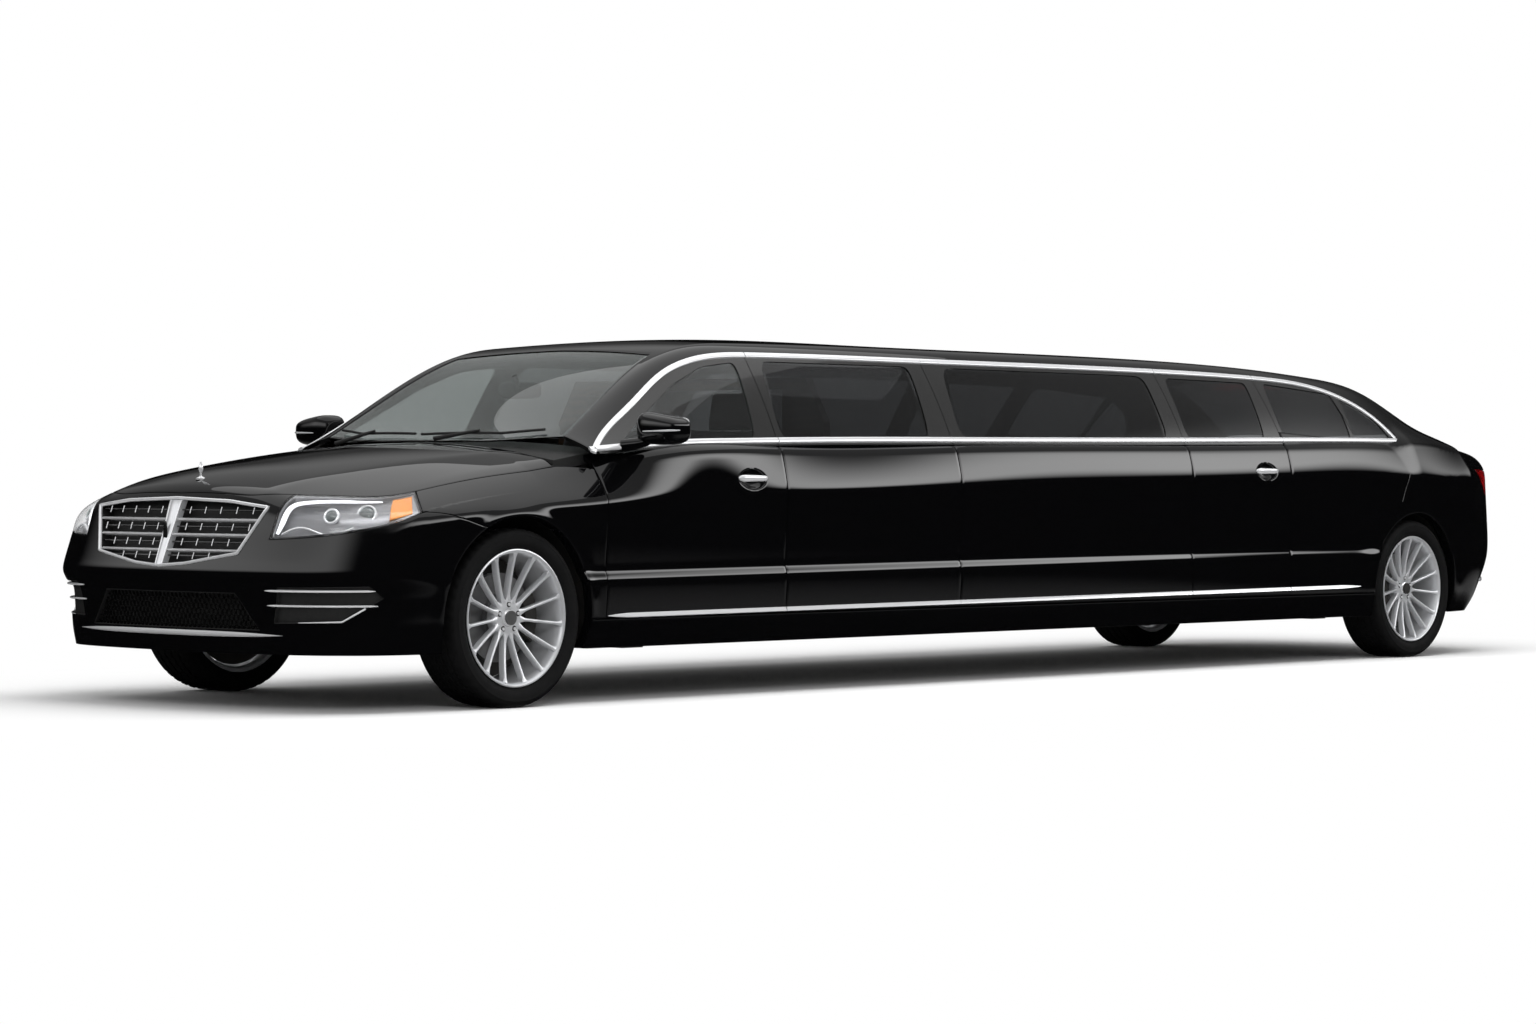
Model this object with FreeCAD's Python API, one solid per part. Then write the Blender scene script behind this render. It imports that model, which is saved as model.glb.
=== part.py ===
"""Stretch limousine: a long saloon with two hinged doors a side, split into its real panels, glass, lamps,
running gear and furniture.

Millimetres. +X points forward, +Y to the car's left and +Z up. The origin is on the ground, midway along
the car and on its centre plane. Every node is written to parts/NODE.step.

The body is three lofts that the panels are cut from:
  lower   sections across the car, from the sill to the belt, bonnet and boot heights
  plan    outlines seen from above at several heights, which round the nose and the tail
  green   sections across the car for the roof, pillars, windscreen and side glass
"""

import FreeCAD, Part
import math
import os

V = FreeCAD.Vector

# ---------------------------------------------------------------- driving dimensions
WHEELBASE = 6500.0
FRONT_OVERHANG = 1040.0
REAR_OVERHANG = 1170.0
TRACK = 1640.0
HALF_WIDTH = 957.0          # at the waist line
ROOF_HEIGHT = 1515.0
UNDERSIDE = 220.0           # ground to the sill's lower edge

TYRE_RADIUS = 352.0
TYRE_WIDTH = 245.0
RIM_RADIUS = 271.5
SPOKE_COUNT = 15
LUG_COUNT = 5

DOOR_START = 490.0          # front axle back to the front door's leading edge
FRONT_DOOR_LENGTH = 1090.0
SHORT_PANEL_LENGTH = 1175.0
REAR_DOOR_LENGTH = 835.0
QUARTER_START = 1140.0      # rear axle forward to the rear door's trailing edge

SHUT_GAP = 6.0              # round everything that opens
SEAT_GAP = 0.3              # between a piece and its seat
SKIN = 40.0                 # pressed panel with its inner frame
PILLAR = 45.0               # roof rail, pillars and window frames
DOOR_INNER_Y = 845.0        # trim face of a door or side panel
HANDLE_SETBACK = 215.0      # trailing edge of a door to the middle of its handle
HANDLE_HALF_LENGTH = 98.0
HANDLE_ABOVE_WAIST = 52.0
HANDLE_BOWL = 150.0         # radius of the hollow behind a handle
GLASS = 8.0
GLASS_INSET = 10.0          # glass behind the outer face of its frame

SILL_TOP = 335.0            # doors end just above it
HINGE_LOW, HINGE_HIGH = 420.0, 740.0
TOW_Y, TOW_Z = 520.0, 520.0 # towing eye's socket
TOW_THREAD = 8.0
PLATE_SPACING = 178.0       # number plate screws
PLATE_HOLE = 3.0
PLATE_Z = 870.0
JACK_X = (2600.0, -2400.0)  # jacking points under the sills
JACK_Y = 838.0
JACK_DROP = 6.0             # how far each pad stands below the sill
EXHAUST_Y = 300.0           # each pipe out from the middle
LUG_CIRCLE = 112.0
LUG_HOLE = 7.0
BELT_LEDGE = 18.0           # belt line out to the door skin
ARCH_RADIUS = 412.0
TYRE_ROOM = 250.0           # steering axis in to the wheelhouse wall

HALF_LENGTH = (FRONT_OVERHANG + WHEELBASE + REAR_OVERHANG) / 2
NOSE = HALF_LENGTH
TAIL = -HALF_LENGTH
FRONT_AXLE = NOSE - FRONT_OVERHANG
REAR_AXLE = TAIL + REAR_OVERHANG
HALF_TRACK = TRACK / 2
KINGPIN_Y = HALF_TRACK - 90.0

SEAM_1 = FRONT_AXLE - DOOR_START
SEAM_2 = SEAM_1 - FRONT_DOOR_LENGTH
SEAM_3 = SEAM_2 - SHORT_PANEL_LENGTH
SEAM_5 = REAR_AXLE + QUARTER_START
SEAM_4 = SEAM_5 + REAR_DOOR_LENGTH

HOOD_REAR = SEAM_1 + 170
BOOT_FRONT = REAR_AXLE - 615

FAR = 1200.0                # half-width of every through cut


# ---------------------------------------------------------------- drawing helpers
def outline(points, place):
    """A closed wire. Each item is a point, or an arc given as ("arc", middle point, end point)."""
    edges = []
    start = here = points[0]
    for item in points[1:] + [start]:
        if item[0] == "arc":
            edges.append(Part.Arc(place(here), place(item[1]), place(item[2])).toShape())
            here = item[2]
        elif math.dist(here, item) > 1e-6:
            edges.append(Part.LineSegment(place(here), place(item)).toShape())
            here = item
    return Part.Wire(edges)


def side_prism(points, y1=-FAR, y2=FAR):
    """Extrudes an outline of (x, z) points across the car."""
    wire = outline(points, lambda p: V(p[0], y1, p[1]))
    return Part.Face(wire).extrude(V(0, y2 - y1, 0))


def top_prism(points, z1, z2):
    """Extrudes an outline of (x, y) points upwards."""
    wire = outline(points, lambda p: V(p[0], p[1], z1))
    return Part.Face(wire).extrude(V(0, 0, z2 - z1))


def front_prism(points, x1, x2):
    """Extrudes an outline of (y, z) points along the car."""
    wire = outline(points, lambda p: V(x1, p[0], p[1]))
    return Part.Face(wire).extrude(V(x2 - x1, 0, 0))


def box(x1, x2, y1, y2, z1, z2):
    return Part.makeBox(x2 - x1, y2 - y1, z2 - z1, V(x1, y1, z1))


def rod(radius, start, end):
    axis = end - start
    return Part.makeCylinder(radius, axis.Length, start, axis)


def other_side(shape):
    return shape.mirror(V(0, 0, 0), V(0, 1, 0))


def both_sides(shape):
    return Part.Compound([shape, other_side(shape)])


def loft(wires, ruled=False):
    return Part.makeLoft(wires, True, ruled, False, 3)


NODES = {}


def node(name, shape):
    """Keeps the solids of a shape under the node's name."""
    solids = [s for s in shape.Solids if s.Volume > 1000.0]
    if not solids:
        raise ValueError("no solid in " + name)
    NODES[name] = solids


# ---------------------------------------------------------------- body lofts
# Across the lower body: station, waist half-width, waist height, edge half-width, edge height, crown height.
# The edge is the belt line beside the cabin, and the fender's or boot's shoulder elsewhere.
LOWER_SECTIONS = [
    (NOSE + 20, 0.955, 640, 715, 730, 770),
    (NOSE - 250, 0.970, 690, 755, 797, 892),
    (FRONT_AXLE + 510, 0.985, 735, 785, 850, 952),
    (FRONT_AXLE + 60, 0.997, 782, 800, 925, 1008),
    (SEAM_1 + 60, 1.000, 805, 835, 985, 1045),
    (SEAM_1 - 250, 1.000, 815, 905, 1020, 1062),
    (SEAM_2, 1.000, 840, 915, 1048, 1078),
    (SEAM_3, 1.000, 868, 915, 1063, 1088),
    (SEAM_4, 1.000, 902, 915, 1080, 1102),
    (SEAM_5, 1.000, 918, 913, 1090, 1112),
    (REAR_AXLE + 150, 0.998, 925, 893, 1097, 1128),
    (REAR_AXLE - 400, 0.990, 915, 835, 1087, 1138),
    (REAR_AXLE - 800, 0.970, 885, 775, 1062, 1122),
    (TAIL - 20, 0.930, 820, 720, 1000, 1040),
]
# Heights of the pressed lines low on the side, with how far each stands inside the waist.
SILL_IN, SILL_LINE_IN, LOW_CREASE_IN, HIGH_CREASE_IN = 52.0, 14.0, 6.0, 19.0
LOW_CREASE, HIGH_CREASE = 500.0, 532.0
SHOULDER_BULGE = 0.10       # of the shoulder's own width

# Seen from above: height, nose set-back, tail set-forward.
PLAN_LEVELS = [
    (UNDERSIDE - 20, 80, 260),
    (UNDERSIDE + 70, 58, 150),
    (UNDERSIDE + 240, 45, 30),
    (UNDERSIDE + 305, 0, 2),
    (UNDERSIDE + 345, 18, 0),
    (UNDERSIDE + 470, 60, 8),
    (UNDERSIDE + 600, 105, 22),
    (UNDERSIDE + 780, 190, 40),
    (UNDERSIDE + 980, 420, 130),
]

# Across the glasshouse: station, belt half-width, belt height, rail half-width, rail height,
# roof edge half-width, roof edge height, crown height.
GREEN_SECTIONS = [
    (SEAM_1 + 165, 870, 985, 780, 1000, 650, 1012, 1042),
    (SEAM_1 + 20, 890, 1000, 790, 1050, 675, 1072, 1108),
    (SEAM_1 - 325, 896, 1025, 742, 1240, 648, 1268, 1292),
    (SEAM_1 - 600, 897, 1038, 703, 1375, 615, 1405, 1420),
    (SEAM_1 - 790, 897, 1042, 692, 1422, 605, 1458, 1470),
    (SEAM_2, 897, 1048, 690, 1438, 600, 1480, 1502),
    (SEAM_3, 897, 1063, 692, 1441, 600, 1486, ROOF_HEIGHT),
    (SEAM_4, 897, 1080, 692, 1440, 600, 1483, 1512),
    (SEAM_5, 895, 1090, 688, 1428, 594, 1468, 1498),
    (SEAM_5 - 700, 882, 1096, 672, 1392, 580, 1432, 1466),
    (REAR_AXLE - 50, 862, 1098, 650, 1328, 570, 1362, 1400),
    (REAR_AXLE - 350, 835, 1094, 655, 1214, 580, 1240, 1282),
    (BOOT_FRONT + 5, 800, 1070, 690, 1090, 610, 1100, 1122),
]


def lower_section(row, inset):
    x, share, waist_z, edge_y, edge_z, crown_z = row
    waist_y = HALF_WIDTH * share - inset
    edge_y, edge_z, crown_z = edge_y - 0.7 * inset, edge_z - inset, crown_z - inset
    waist_z = waist_z - 0.3 * inset
    half = [
        (waist_y - SILL_IN, UNDERSIDE + inset),
        (waist_y - SILL_LINE_IN, SILL_TOP + 0.3 * inset),
        (waist_y - LOW_CREASE_IN, LOW_CREASE),
        (waist_y - HIGH_CREASE_IN, HIGH_CREASE),
        (waist_y, waist_z),
    ]
    chord = (edge_y - waist_y, edge_z - waist_z)
    bulge = (
        (waist_y + edge_y) / 2 + SHOULDER_BULGE * chord[1],
        (waist_z + edge_z) / 2 - SHOULDER_BULGE * chord[0],
    )
    far_side = [(-y, z) for y, z in half[::-1]]
    points = half + [
        ("arc", bulge, (edge_y, edge_z)),
        ("arc", (0.0, crown_z), (-edge_y, edge_z)),
        ("arc", (-bulge[0], bulge[1]), far_side[0]),
    ]
    points += far_side[1:]
    return outline(points, lambda p: V(x, p[0], p[1]))


def plan_outline(level, inset):
    z, nose_back, tail_on = level
    nose, tail = NOSE - nose_back - inset, TAIL + tail_on + inset
    side = HALF_WIDTH + 40.0 - inset
    half = [
        ((nose, 0.0), (nose - 12, 290.0), (nose - 52, 560.0 - inset)),
        ((nose - 52, 560.0 - inset), (nose - 142, 762.0 - inset), (nose - 355, 892.0 - inset)),
        ((nose - 355, 892.0 - inset), (nose - 520, 932.0 - inset), (nose - 740, side)),
        ((tail + 760, side), (tail + 560, 925.0 - inset), (tail + 395, 882.0 - inset)),
        ((tail + 395, 882.0 - inset), (tail + 175, 765.0 - inset), (tail + 62, 560.0 - inset)),
        ((tail + 62, 560.0 - inset), (tail + 15, 290.0), (tail, 0.0)),
    ]
    arcs = half + [tuple((x, -y) for x, y in arc[::-1]) for arc in half[::-1]]
    points = [arcs[0][0]]
    for start, middle, end in arcs:
        if start != points[-1] and (points[-1][0] != "arc" or start != points[-1][2]):
            points.append(start)
        points.append(("arc", middle, end))
    return outline(points, lambda p: V(p[0], p[1], z))


def green_section(row, inset):
    x, belt_y, belt_z, rail_y, rail_z, edge_y, edge_z, crown_z = row
    belt_y, rail_y, edge_y = belt_y - inset, rail_y - inset, edge_y - 0.6 * inset
    rail_z, edge_z, crown_z = rail_z - 0.4 * inset, edge_z - inset, crown_z - inset
    foot = 905.0
    corner = ((rail_y + edge_y) / 2 + 7, (rail_z + edge_z) / 2 + 7)
    half = [(belt_y, foot), (belt_y, belt_z), (rail_y, rail_z)]
    far_side = [(-y, z) for y, z in half[::-1]]
    points = half + [
        ("arc", corner, (edge_y, edge_z)),
        ("arc", (0.0, crown_z), (-edge_y, edge_z)),
        ("arc", (-corner[0], corner[1]), far_side[0]),
    ]
    points += far_side[1:]
    return outline(points, lambda p: V(x, p[0], p[1]))


def lower_body(inset=0.0):
    across = loft([lower_section(row, inset) for row in LOWER_SECTIONS])
    plan = loft([plan_outline(level, inset) for level in PLAN_LEVELS], ruled=True)
    return across.common(plan)


def green_body(inset=0.0):
    return loft([green_section(row, inset) for row in GREEN_SECTIONS])


LOWER = lower_body()
LOWER_INSIDE = lower_body(SKIN)
LOWER_SHELL = LOWER.cut(LOWER_INSIDE)
GREEN = green_body()
GREEN_INSIDE = green_body(PILLAR)
GREEN_SHELL = GREEN.cut(GREEN_INSIDE)
GLASS_LAYER = green_body(GLASS_INSET).cut(green_body(GLASS_INSET + GLASS))
DOOR_FLANGE = 12.0          # outer lip of a window frame; the frame behind it stops short of its neighbour
FLANGE_LAYER = green_body(DOOR_FLANGE)
LID_SKIN = 24.0
LID_SHELL = LOWER.cut(lower_body(LID_SKIN))

# ---------------------------------------------------------------- shut lines and openings
HALF_GAP = SHUT_GAP / 2
DOOR_BOTTOM = SILL_TOP + SHUT_GAP
DOOR_HEAD = [  # upper edge of the front door, from its leading corner back to the second seam
    (SEAM_1, 1000), (SEAM_1 - 160, 1102), (SEAM_1 - 340, 1203), (SEAM_1 - 555, 1324),
    (SEAM_1 - 810, 1394), (SEAM_2, 1411),
]
REAR_HEAD = [(SEAM_4, 1414), (SEAM_5, 1402)]

# Side windows seen square on, named by the bay they stand in.
WINDOWS = {
    "front_door": [
        (SEAM_1 - 175, 1058), (SEAM_1 - 205, 1076), (SEAM_1 - 375, 1176), (SEAM_1 - 575, 1287),
        (SEAM_1 - 810, 1359), (SEAM_2 + 75, 1374), (SEAM_2 + 130, 1064),
    ],
    "second": [(SEAM_2 - 25, 1066), (SEAM_2 - 75, 1398), (SEAM_3 + 95, 1400), (SEAM_3 + 150, 1077)],
    "third": [(SEAM_3 - 60, 1080), (SEAM_3 - 125, 1400), (SEAM_4 + 100, 1398), (SEAM_4 + 118, 1093)],
    "rear_door": [(SEAM_4 - 36, 1096), (SEAM_4 - 62, 1376), (SEAM_5 + 78, 1366), (SEAM_5 + 142, 1104)],
    "quarter": [(SEAM_5 - 22, 1106), (SEAM_5 - 68, 1386), (SEAM_5 - 735, 1346), (SEAM_5 - 650, 1112)],
    "corner": [(SEAM_5 - 674, 1113), (SEAM_5 - 760, 1342), (SEAM_5 - 900, 1290), (SEAM_5 - 1030, 1200),
               (SEAM_5 - 1060, 1118)],
}

BOOT_SILL = 700


def grown(points, amount):
    """Plan outline moved out from the car's middle on both axes: front edges forward, sides outward."""
    middle = sum(x for x, y in points) / len(points)
    return [(x + amount * math.copysign(1, x - middle), y + amount if y > 0 else y) for x, y in points]


def mirrored_plan(points):
    """Closes an outline given for the left half only."""
    return points + [(x, -y) for x, y in points[::-1] if y > 0]


HOOD_HALF = [
    (NOSE - 122, 0), (NOSE - 134, 270), (NOSE - 172, 470), (NOSE - 258, 572), (NOSE - 505, 762),
    (NOSE - 955, 788), (HOOD_REAR, 815),
]
BOOT_HALF_WIDTH = 615  # the same from front to rear, so the lid's sides rise straight up out of the opening
BOOT_HALF = [(TAIL - 60, BOOT_HALF_WIDTH), (BOOT_FRONT, BOOT_HALF_WIDTH)]


def hood_prism(amount):
    half = grown(HOOD_HALF, amount)
    return top_prism(mirrored_plan(half), 640, 1300)


def boot_prism(amount):
    half = grown(BOOT_HALF, amount)
    return top_prism(mirrored_plan(half), BOOT_SILL - amount, 1300)


LAMP_UNDER = [(NOSE + 60, 640), (NOSE - 91, 664), (NOSE - 405, 722), (NOSE - 562, 768), (NOSE - 600, 810)]
LAMP_SIDE = LAMP_UNDER + [(NOSE - 600, 1000), (NOSE + 60, 1000)]
LAMP_INNER_Y = 545.0
TAIL_LAMP_SIDE = [
    (TAIL - 60, 800), (TAIL + 235, 812), (TAIL + 400, 868), (TAIL + 482, 972), (TAIL + 200, 962),
    (TAIL - 60, 942),
]
FRONT_BUMPER_SIDE = [
    (NOSE + 60, 150), (NOSE + 60, 640), (NOSE - 91, 664), (NOSE - 405, 722), (NOSE - 562, 768),
    (NOSE - 640, 760), (NOSE - 760, 738), (NOSE - 960, 732), (NOSE - 960, 150),
]
REAR_BUMPER_SIDE = [
    (TAIL - 60, 150), (TAIL - 60, BOOT_SILL), (TAIL + 560, 690), (TAIL + 700, 640), (TAIL + 780, 560),
    (TAIL + 780, 150),
]
GRILLE_HALF = [(0, 555), (150, 566), (410, 607), (500, 784), (300, 806), (0, 816)]
GRILLE_FRAME = 22.0
INTAKE_HALF = [(0, 316), (495, 316), (385, 455), (0, 455)]
SIDE_INTAKE = [(565, 345), (800, 352), (880, 440), (865, 485), (600, 480)]


def shifted(points, dx, dz):
    return [(x + dx, z + dz) for x, z in points]


def mirrored_front(points):
    return points + [(-y, z) for y, z in points[::-1] if y > 0]


def toward(points, share):
    """Draws an outline in towards its middle."""
    cy = sum(p[0] for p in points) / len(points)
    cz = sum(p[1] for p in points) / len(points)
    return [(cy + (y - cy) * share, cz + (z - cz) * share) for y, z in points]


FRONT_ARCH = Part.makeCylinder(ARCH_RADIUS, 2 * FAR, V(FRONT_AXLE, -FAR, TYRE_RADIUS), V(0, 1, 0))
REAR_ARCH = Part.makeCylinder(ARCH_RADIUS - 12, 2 * FAR, V(REAR_AXLE, -FAR, TYRE_RADIUS - 4), V(0, 1, 0))
LEFT_LAMP = side_prism(LAMP_SIDE, LAMP_INNER_Y, FAR).cut(hood_prism(0))
LEFT_TAIL_LAMP = side_prism(TAIL_LAMP_SIDE, 470, FAR).cut(boot_prism(0))
GRILLE = front_prism(mirrored_front(GRILLE_HALF), NOSE - 420, NOSE + 60)


def left(shape):
    return shape.common(box(-6000, 6000, 1, FAR, 0, 2000))


# ---------------------------------------------------------------- doors and fixed sides
def door(front, rear, head, window, waist_z):
    """One left door, as thick as the whole wall, with its window frame. waist_z is the waist's height at the handle."""
    x1, x2 = rear + HALF_GAP, front - HALF_GAP
    waist = side_prism([(x1, DOOR_BOTTOM), (x2, DOOR_BOTTOM), (x2, 1200), (x1, 1200)], DOOR_INNER_Y, FAR)
    panel = LOWER.common(waist)
    panel = panel.cut(box(x1 - 5, x1 + 12, DOOR_INNER_Y - 5, DOOR_INNER_Y + 82, 0, 1200))
    edge = [(min(max(x, x1 + 2), x2), z - HALF_GAP) for x, z in head]
    frame = GREEN_SHELL.common(side_prism(edge + [(x1 + 2, 930), (x2, 930)], 300, FAR))
    frame = frame.cut(FLANGE_LAYER.common(box(x1 - 20, x1 + 20, 0, FAR, 1000, 1600)))
    panel = panel.fuse(frame).cut(side_prism(WINDOWS[window]))
    grip = V(rear + HANDLE_SETBACK, HALF_WIDTH - 2, waist_z + HANDLE_ABOVE_WAIST)
    bowl = Part.makeSphere(HANDLE_BOWL, grip + V(0, HANDLE_BOWL - 20, 0))
    bar = box(grip.x - HANDLE_HALF_LENGTH, grip.x + HANDLE_HALF_LENGTH, grip.y - 14, grip.y + 8,
              grip.z - 11, grip.z + 11)
    bar = bar.makeFillet(9.0, [e for e in bar.Edges if e.BoundBox.XLength > HANDLE_HALF_LENGTH])
    return panel.cut(bowl).fuse(bar).removeSplitter()


def pane(window):
    return left(GLASS_LAYER.common(side_prism(WINDOWS[window])))


front_door = door(SEAM_1, SEAM_2, DOOR_HEAD, "front_door", 848)
rear_door = door(SEAM_4, SEAM_5, REAR_HEAD, "rear_door", 896)
node("door_front_left", front_door)
node("door_front_right", other_side(front_door))
node("door_rear_left", rear_door)
node("door_rear_right", other_side(rear_door))
for where, shape in (("front", pane("front_door")), ("rear", pane("rear_door"))):
    node("glass_door_%s_left" % where, shape)
    node("glass_door_%s_right" % where, other_side(shape))

panel_zone = side_prism(
    [(SEAM_4 + HALF_GAP, DOOR_BOTTOM), (SEAM_2 - HALF_GAP, DOOR_BOTTOM), (SEAM_2 - HALF_GAP, 1200),
     (SEAM_4 + HALF_GAP, 1200)], DOOR_INNER_Y, FAR)
side_panel = LOWER.common(panel_zone)
for z in (HINGE_LOW, HINGE_HIGH):
    side_panel = side_panel.fuse(box(SEAM_4 - HALF_GAP + SEAT_GAP, SEAM_4 + HALF_GAP + 1, 900, 949, z, z + 90))
node("side_panels", both_sides(side_panel))

# ---------------------------------------------------------------- roof, pillars and fixed glass
SCREEN_PLAN = mirrored_plan(
    [(SEAM_1 - 690, 0), (SEAM_1 - 635, 575), (SEAM_1 + 5, 705), (SEAM_1 + 110, 420), (SEAM_1 + 150, 0)])
REAR_SCREEN_PLAN = mirrored_plan(
    [(REAR_AXLE + 230, 0), (REAR_AXLE + 200, 500), (REAR_AXLE - 500, 590), (REAR_AXLE - 560, 300),
     (REAR_AXLE - 572, 0)])
screen_cut = top_prism(SCREEN_PLAN, 1000, 1600)
rear_screen_cut = top_prism(REAR_SCREEN_PLAN, 1000, 1600)

roof = GREEN_SHELL.cut(LOWER).cut(screen_cut).cut(rear_screen_cut)
roof = roof.cut(box(-6000, BOOT_FRONT + HALF_GAP, -FAR, FAR, 0, 2000))
front_hole = [(SEAM_1 + 40, 900)] + [(x, z + HALF_GAP) for x, z in DOOR_HEAD] + [(SEAM_2 - HALF_GAP, 900)]
front_hole[-2] = (SEAM_2 - HALF_GAP, DOOR_HEAD[-1][1] + HALF_GAP)
rear_hole = [
    (SEAM_4 + HALF_GAP, 900), (SEAM_4 + HALF_GAP, REAR_HEAD[0][1] + HALF_GAP),
    (SEAM_5 - HALF_GAP, REAR_HEAD[1][1] + HALF_GAP), (SEAM_5 - HALF_GAP, 900)]
for hole in (front_hole, rear_hole):
    roof = roof.cut(side_prism(hole, 500, FAR)).cut(side_prism(hole, -FAR, -500))
for name in ("second", "third", "quarter", "corner"):
    roof = roof.cut(side_prism(WINDOWS[name], 400, FAR)).cut(side_prism(WINDOWS[name], -FAR, -400))
node("roof_and_pillars", roof)
node("windscreen", GLASS_LAYER.common(screen_cut).cut(LOWER))
node("rear_window", GLASS_LAYER.common(rear_screen_cut).cut(LOWER))
fixed = [pane(name) for name in ("second", "third", "quarter", "corner")]
node("side_windows", Part.Compound(fixed + [other_side(p) for p in fixed]))

# ---------------------------------------------------------------- nose
hood = LID_SHELL.common(hood_prism(-HALF_GAP))
node("hood", hood)

fender_zone = side_prism(
    [(SEAM_1 + HALF_GAP, DOOR_BOTTOM), (NOSE - 300, DOOR_BOTTOM), (NOSE - 300, 1200),
     (SEAM_1 + HALF_GAP, 1200)], 300, FAR)
bumper_zone = side_prism(FRONT_BUMPER_SIDE)
nose_middle = box(NOSE - 420, NOSE + 60, -LAMP_INNER_Y - 15, LAMP_INNER_Y + 15, 600, 900)
skin = LOWER_SHELL.cut(FRONT_ARCH).cut(hood_prism(HALF_GAP))
fender = skin.common(fender_zone).cut(bumper_zone).cut(LEFT_LAMP)
fender = fender.cut(box(SEAM_1 - 200, HOOD_REAR + 10, 0, 812, 900, 1300))
fender = fender.cut(nose_middle).cut(GREEN)
for z in (HINGE_LOW, HINGE_HIGH):
    fender = fender.fuse(box(SEAM_1 - HALF_GAP + SEAT_GAP, SEAM_1 + HALF_GAP + 1, 921, 949, z, z + 90))
node("front_fenders", both_sides(fender))

bumper = skin.common(bumper_zone.fuse(nose_middle)).common(box(NOSE - 960, NOSE + 60, -FAR, FAR, 150, 900))
bumper = bumper.cut(GRILLE).cut(LEFT_LAMP).cut(other_side(LEFT_LAMP))
bumper = bumper.cut(front_prism(mirrored_front(INTAKE_HALF), NOSE - 300, NOSE + 60))
side_hole = front_prism(SIDE_INTAKE, NOSE - 420, NOSE + 60)
bumper = bumper.cut(side_hole).cut(other_side(side_hole))
bumper = bumper.cut(box(NOSE - 1000, NOSE - 170, -690, 690, 150, UNDERSIDE + SKIN + 2))
tow_x = NOSE - 150
bumper = bumper.cut(rod(24, V(tow_x, -TOW_Y, TOW_Z), V(NOSE + 60, -TOW_Y, TOW_Z)))
node("bumper_front", bumper)

lens = LID_SHELL.common(LEFT_LAMP).cut(lower_body(9.0))
node("headlamps", both_sides(lens))
can = lower_body(12.0).cut(lower_body(90.0)).common(
    side_prism(shifted(LAMP_SIDE, SEAT_GAP, 14), LAMP_INNER_Y + 18, FAR)).cut(hood_prism(14)).cut(FRONT_ARCH)
node("headlamp_units", both_sides(can))

grille_inner = front_prism(mirrored_front([
    (0, 584), (140, 592), (392, 630), (468, 762), (290, 780), (0, 788)]), NOSE - 420, NOSE + 60)
surround = LOWER_SHELL.common(GRILLE).cut(grille_inner)
bars = [surround, LOWER_SHELL.common(grille_inner).common(box(3000, 5000, -52, 52, 500, 850))]
slats = LOWER_SHELL.cut(LOWER.cut(lower_body(12.0))).common(grille_inner)
for k in range(4):
    z = 614 + 42 * k
    bars.append(slats.common(box(3000, 5000, -600, 600, z, z + 14)))
grille = bars[0].fuse(bars[1:]).removeSplitter().cut(hood_prism(HALF_GAP))
node("radiator_grille", grille)

SCREENS = lower_body(SKIN + SEAT_GAP).cut(lower_body(SKIN + 10))
mesh = SCREENS.common(
    front_prism(mirrored_front([(0, 306), (505, 306), (395, 465), (0, 465)]), NOSE - 300, NOSE + 60))
side_mesh = SCREENS.common(front_prism(toward(SIDE_INTAKE, 1.12), NOSE - 420, NOSE + 60))
node("intake_screens", Part.Compound([mesh, side_mesh, other_side(side_mesh)]))

cowl = LOWER_SHELL.common(box(SEAM_1 - 120, HOOD_REAR - HALF_GAP, -806, 806, 900, 1300))
hood_hinge = LID_SHELL.common(
    box(HOOD_REAR - HALF_GAP - 1, HOOD_REAR + HALF_GAP - SEAT_GAP, 560, 640, 900, 1300))
cowl = cowl.fuse([hood_hinge, other_side(hood_hinge)]).removeSplitter()
node("cowl_panel", cowl)

# ---------------------------------------------------------------- tail
boot = LOWER_SHELL.common(boot_prism(-HALF_GAP))
pad = box(TAIL + 4, TAIL + 60, -165, 165, 765, 895)
boot = boot.fuse(pad)
for y in (-PLATE_SPACING / 2, PLATE_SPACING / 2):
    boot = boot.cut(rod(PLATE_HOLE, V(TAIL - 40, y, PLATE_Z), V(TAIL + 120, y, PLATE_Z)))
node("trunk_lid", boot.removeSplitter())
tail_skin = LOWER_SHELL.cut(REAR_ARCH).cut(boot_prism(HALF_GAP))
quarter_zone = side_prism(
    [(SEAM_5 - HALF_GAP, DOOR_BOTTOM), (SEAM_5 - HALF_GAP, 1250), (TAIL - 60, 1250), (TAIL - 60, DOOR_BOTTOM)],
    300, FAR)
rear_bumper_zone = side_prism(REAR_BUMPER_SIDE)
shelf_plan = top_prism(
    [(SEAM_5 + 200, 0), (SEAM_5 + 200, 842), (REAR_AXLE, 800), (BOOT_FRONT + 60, 690), (BOOT_FRONT + 60, 0)], 960, 1300)
quarter = tail_skin.common(quarter_zone).cut(rear_bumper_zone).cut(LEFT_TAIL_LAMP).cut(shelf_plan)
deep = LOWER.common(side_prism(
    [(SEAM_5 - HALF_GAP, DOOR_BOTTOM), (SEAM_5 - HALF_GAP, 1200), (SEAM_5 - 500, 1200), (SEAM_5 - 500, DOOR_BOTTOM)],
    DOOR_INNER_Y, FAR))
quarter = left(quarter.fuse(deep)).removeSplitter()
strip = LOWER_SHELL.common(box(BOOT_FRONT + HALF_GAP, BOOT_FRONT + 60, -700, 700, 960, 1300))
boot_hinge = LOWER_SHELL.common(
    box(BOOT_FRONT - HALF_GAP + SEAT_GAP, BOOT_FRONT + HALF_GAP + 1, 420, 520, 960, 1300))
quarters = quarter.fuse([other_side(quarter), strip, boot_hinge, other_side(boot_hinge)]).removeSplitter()
node("rear_quarters", quarters)
tail_lamp = LOWER_SHELL.common(LEFT_TAIL_LAMP)
node("tail_lamps", both_sides(tail_lamp))
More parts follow.
